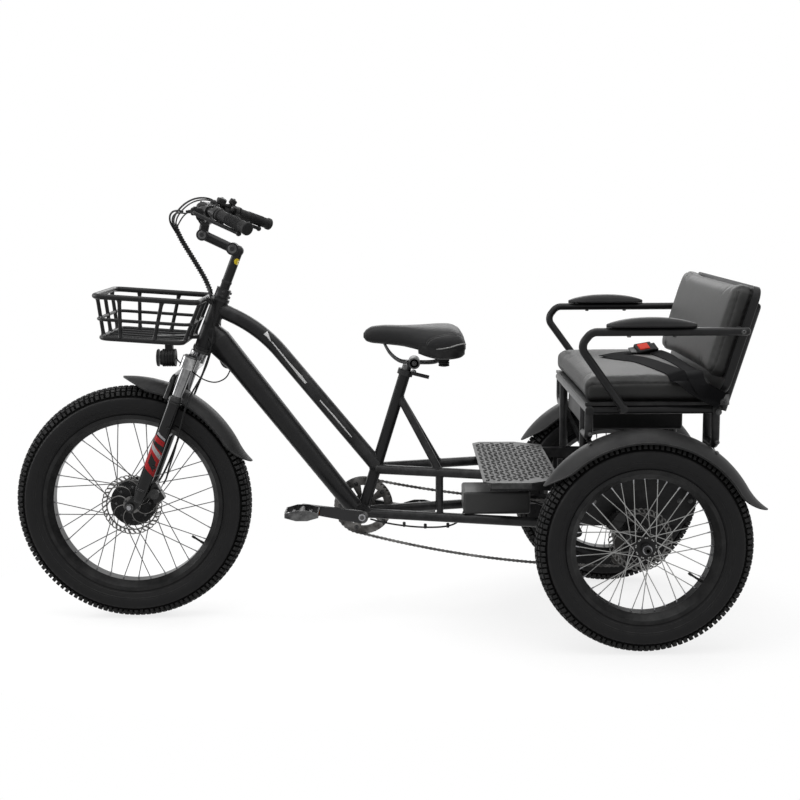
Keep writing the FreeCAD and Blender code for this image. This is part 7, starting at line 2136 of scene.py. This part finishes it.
def build_lamp():
    """The headlamp's clear front, its dark bezel and the small knob under its bracket."""
    low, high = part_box("headlamp")
    form = Form("lamp_front")
    middle = Vector((low.x, 0, low.z + 26 * MM))
    add_spun(form, middle + mm(7, 0, 0), AHEAD, LAMP_BEZEL, 36, 1)
    add_spun(form, middle + mm(6, 0, 0), AHEAD, LAMP_LENS, 36)
    add_spun(form, at(128, 0, high.z / MM - 54), Vector((0.2, 0, -1)), LAMP_KNOB, 18, 2)
    form.place("chassis", [LENS, PLASTIC, STEEL], "bearing_steel")


FOOTPLATE_X = (1018, 1232)
FOOTPLATE_TOP = 464.6
FOOTPLATE_HALF = 300
FOOTPLATE_REAR_HALF = 270
TREAD_ROWS = 13
TREAD_PITCH = 34
TREAD_WAVE = 4.2
TREAD_LONG = 24
TREAD_SIZES = [1.0, 2.4, 2.9, 3.0, 2.9, 2.4, 1.0]


def build_footplate_grip():
    """Raised wavy bars pressed in staggered rows on the footplate."""
    form = Form("footplate_tread")
    front_x, rear_x = FOOTPLATE_X
    last = len(TREAD_SIZES) - 1
    for row in range(TREAD_ROWS):
        x = front_x + 14 + (rear_x - front_x - 28) * row / (TREAD_ROWS - 1)
        half = FOOTPLATE_REAR_HALF - 14 if x > 1150 else FOOTPLATE_HALF - 8
        count = int(2 * half / TREAD_PITCH)
        for column in range(count):
            y = -half + (column + 0.5 + 0.25 * (1 if row % 2 else -1)) * (2 * half / count)
            lean = TREAD_WAVE if (row + column) % 2 else -TREAD_WAVE
            line = [at(x + lean * sin(TURN * step / last), y + TREAD_LONG * (step / last - 0.5),
                       FOOTPLATE_TOP - 0.9) for step in range(last + 1)]
            add_tube(form, line, TREAD_SIZES, 6)
    form.place("chassis", [FLOOR_PLATE], "footplate_texture", sharp=60)


STRIPE_BLADES = (
    (((396, 848), (394, 846)), ((405, 854), (404, 838)), ((415, 827), (413, 825))),
    (((418, 826), (416, 824)), ((464, 768), (462, 764)), ((503, 724), (496, 719)), ((518, 703), (512, 700))),
    (((556, 653), (554, 650)), ((600, 602), (597, 599)), ((648, 542), (646, 540))),
)
STRIPE_STEPS = 10
STRIPE_ACROSS = 6


def build_stripes():
    """The frame's light trim: a small triangle and long tapered blades on each side of the top tube."""
    form = Form("top_tube_stripe")
    tree = node_tree("top_tube", "head_tube", "down_tube")
    for sign in (-1, 1):
        for corners in STRIPE_BLADES:
            add_stripe(form, tree, corners, sign)
    form.place("chassis", [STRIPE], "frame_black", sharp=80)


def add_stripe(form, tree, rows, sign):
    """A film laid on the tube's side, from rows of an upper and a lower edge."""
    rows = [[Vector(corner) for corner in row] for row in rows]
    points = []
    for index in range(len(rows) - 1):
        for step in range(STRIPE_STEPS + (index == len(rows) - 2)):
            upper, lower = (start + (end - start) * (step / STRIPE_STEPS)
                            for start, end in zip(rows[index], rows[index + 1]))
            row = []
            for part in range(STRIPE_ACROSS + 1):
                x, z = upper + (lower - upper) * (part / STRIPE_ACROSS)
                spot, normal = tree.ray_cast(at(x, sign * 200, z), Y_AXIS * -sign)[:2]
                if spot:
                    row.append(spot + normal * (FILM_LIFT * MM))
            if len(row) > STRIPE_ACROSS:
                points += row
    wide = STRIPE_ACROSS + 1
    form.add(points, grid_faces(len(points) // wide, wide, strip=True))


# Scene

CAMERA_PLACE = (0.0764, -4.0644, 1.2467)
CAMERA_YAW = -0.090
CAMERA_PITCH = 8.391
CAMERA_ROLL = -0.337
CAMERA_LENS = 62.79


def place_camera():
    """The photograph's viewing angle."""
    yaw, pitch, roll = (radians(angle) for angle in (CAMERA_YAW, CAMERA_PITCH, CAMERA_ROLL))
    level = Vector((sin(yaw), cos(yaw), 0))
    right = Vector((cos(yaw), -sin(yaw), 0))
    onward = level * cos(pitch) - Vector((0, 0, sin(pitch)))
    up = level * sin(pitch) + Vector((0, 0, cos(pitch)))
    across = right * cos(roll) + up * sin(roll)
    top = up * cos(roll) - right * sin(roll)
    lens = bpy.data.cameras.new("camera")
    lens.sensor_width = 36
    lens.lens = CAMERA_LENS
    camera = add_object("camera", lens)
    turned = Matrix((across, top, -onward)).transposed().to_4x4()
    camera.matrix_world = Matrix.Translation(CAMERA_PLACE) @ turned
    bpy.context.scene.camera = camera


def add_lamp(name, place, target, size, power):
    """A soft square lamp aimed at a point."""
    data = bpy.data.lights.new(name, "AREA")
    data.shape = "RECTANGLE"
    data.size, data.size_y = size
    data.energy = power
    lamp = add_object(name, data)
    lamp.location = place
    lamp.rotation_euler = (Vector(target) - Vector(place)).to_track_quat("-Z", "Y").to_euler()


SURROUND_LOW = 0.05
SURROUND_TOP = 0.80
SURROUND_BACK = 0.75
FLOOR_BOUNCE = 0.30
FLOOR_LIFT = 0.80
FLOOR_REACH = 60
STUDIO_LAMPS = (
    ("overhead", (0.1, -0.5, 3.2), (0, 0, 0.4), (3.4, 2.2), 62),
    ("near left", (-2.8, -3.0, 2.6), (0, 0, 0.6), (1.6, 1.2), 14),
    ("near right", (3.0, -2.6, 2.0), (0.3, 0, 0.5), (1.2, 1.6), 7),
    ("front side", (-3.6, 0.3, 1.9), (0.4, 0, 0.6), (1.4, 1.8), 54),
    ("rear edge", (0.6, 3.0, 2.4), (0.2, 0, 0.6), (3.0, 1.2), 45),
)


def background_rays(tree):
    """One for the rays that show the white background: seen directly, in metal or through glass."""
    rays = node(tree, "LightPath")
    direct = math_node(tree, "MAXIMUM", rays.outputs["Is Camera Ray"], rays.outputs["Is Transmission Ray"])
    return math_node(tree, "MAXIMUM", direct, rays.outputs["Is Glossy Ray"])


def mix_shaders(tree, share, first, second, end):
    """Sends a mix of two shaders to the tree's surface."""
    mixed = node(tree, "MixShader")
    for index, source in enumerate((share, first.outputs[0], second.outputs[0])):
        tree.links.new(source, mixed.inputs[index])
    tree.links.new(mixed.outputs[0], tree.nodes[end].inputs["Surface"])


def soft_surround(tree):
    """White where it shows; as light, bright above and behind, and dim at the near side and below."""
    back = tree.nodes["Background"]
    seen = background_rays(tree)
    plain = node(tree, "Background", in_Color=(1, 1, 1, 1), in_Strength=1.0)
    apart = node(tree, "SeparateXYZ")
    tree.links.new(node(tree, "TexCoord").outputs["Generated"], apart.inputs[0])
    above = math_node(tree, "MULTIPLY", ramp(tree, apart.outputs["Z"], 0.05, 0.9), SURROUND_TOP)
    behind = math_node(tree, "MULTIPLY", ramp(tree, apart.outputs["Y"], 0.0, 0.8), SURROUND_BACK)
    back.inputs["Color"].default_value = (1, 1, 1, 1)
    light = math_node(tree, "ADD", math_node(tree, "MAXIMUM", above, behind), SURROUND_LOW)
    tree.links.new(light, back.inputs["Strength"])
    mix_shaders(tree, seen, back, plain, "World Output")


def pale_floor():
    """A floor that is white to the camera and carries only a faint shadow near the wheels."""
    pale = bpy.data.materials.new("pale floor")
    pale.use_nodes = True
    tree = pale.node_tree
    shader = tree.nodes["Principled BSDF"]
    shader.inputs["Roughness"].default_value = 0.9
    shader.inputs["Specular IOR Level"].default_value = 0.1
    shown = background_rays(tree)
    pale_colour = mix_colour(tree, shown, (FLOOR_BOUNCE,) * 3 + (1,), (0.94, 0.94, 0.94, 1))
    tree.links.new(pale_colour, shader.inputs["Base Color"])
    glow = node(tree, "Emission", in_Color=(1, 1, 1, 1), in_Strength=1.0)
    place = node(tree, "VectorMath", operation="MULTIPLY")
    tree.links.new(node(tree, "NewGeometry").outputs["Position"], place.inputs[0])
    place.inputs[1].default_value = (0.8, 1.3, 0)
    reach = node(tree, "VectorMath", operation="LENGTH")
    tree.links.new(place.outputs[0], reach.inputs[0])
    far = ramp(tree, reach.outputs["Value"], 0.35, 1.15)
    share = math_node(tree, "MULTIPLY", math_node(tree, "MAXIMUM", far, FLOOR_LIFT), shown)
    mix_shaders(tree, share, shader, glow, "Material Output")
    return pale


def build_studio():
    """A pale floor, a white surround and soft lamps."""
    scene = bpy.context.scene
    scene.view_settings.view_transform = "Standard"
    world = bpy.data.worlds.new("studio")
    scene.world = world
    world.use_nodes = True
    soft_surround(world.node_tree)
    floor = bpy.data.meshes.new("floor")
    corners = [(x * FLOOR_REACH, y * FLOOR_REACH, 0) for x, y in ((-1, -1), (1, -1), (1, 1), (-1, 1))]
    floor.from_pydata(corners, [], [(0, 1, 2, 3)])
    ground = add_object("floor", floor)
    ground.location.z = -0.5 * MM
    floor.materials.append(pale_floor())
    for lamp in STUDIO_LAMPS:
        add_lamp(*lamp)


place_camera()
build_studio()
dress_cad_nodes()
build_wheels()
build_brake_discs()
CUSHION = build_bench()
build_backrest()
build_arm_pads()
build_saddle()
build_belt(CUSHION)
build_fenders()
build_chain()
build_drive_details()
build_fork_details()
build_grips()
build_controls()
build_yellow_spot()
build_cables()
build_welds()
build_fasteners()
build_basket_trim()
build_lamp()
build_footplate_grip()
build_stripes()
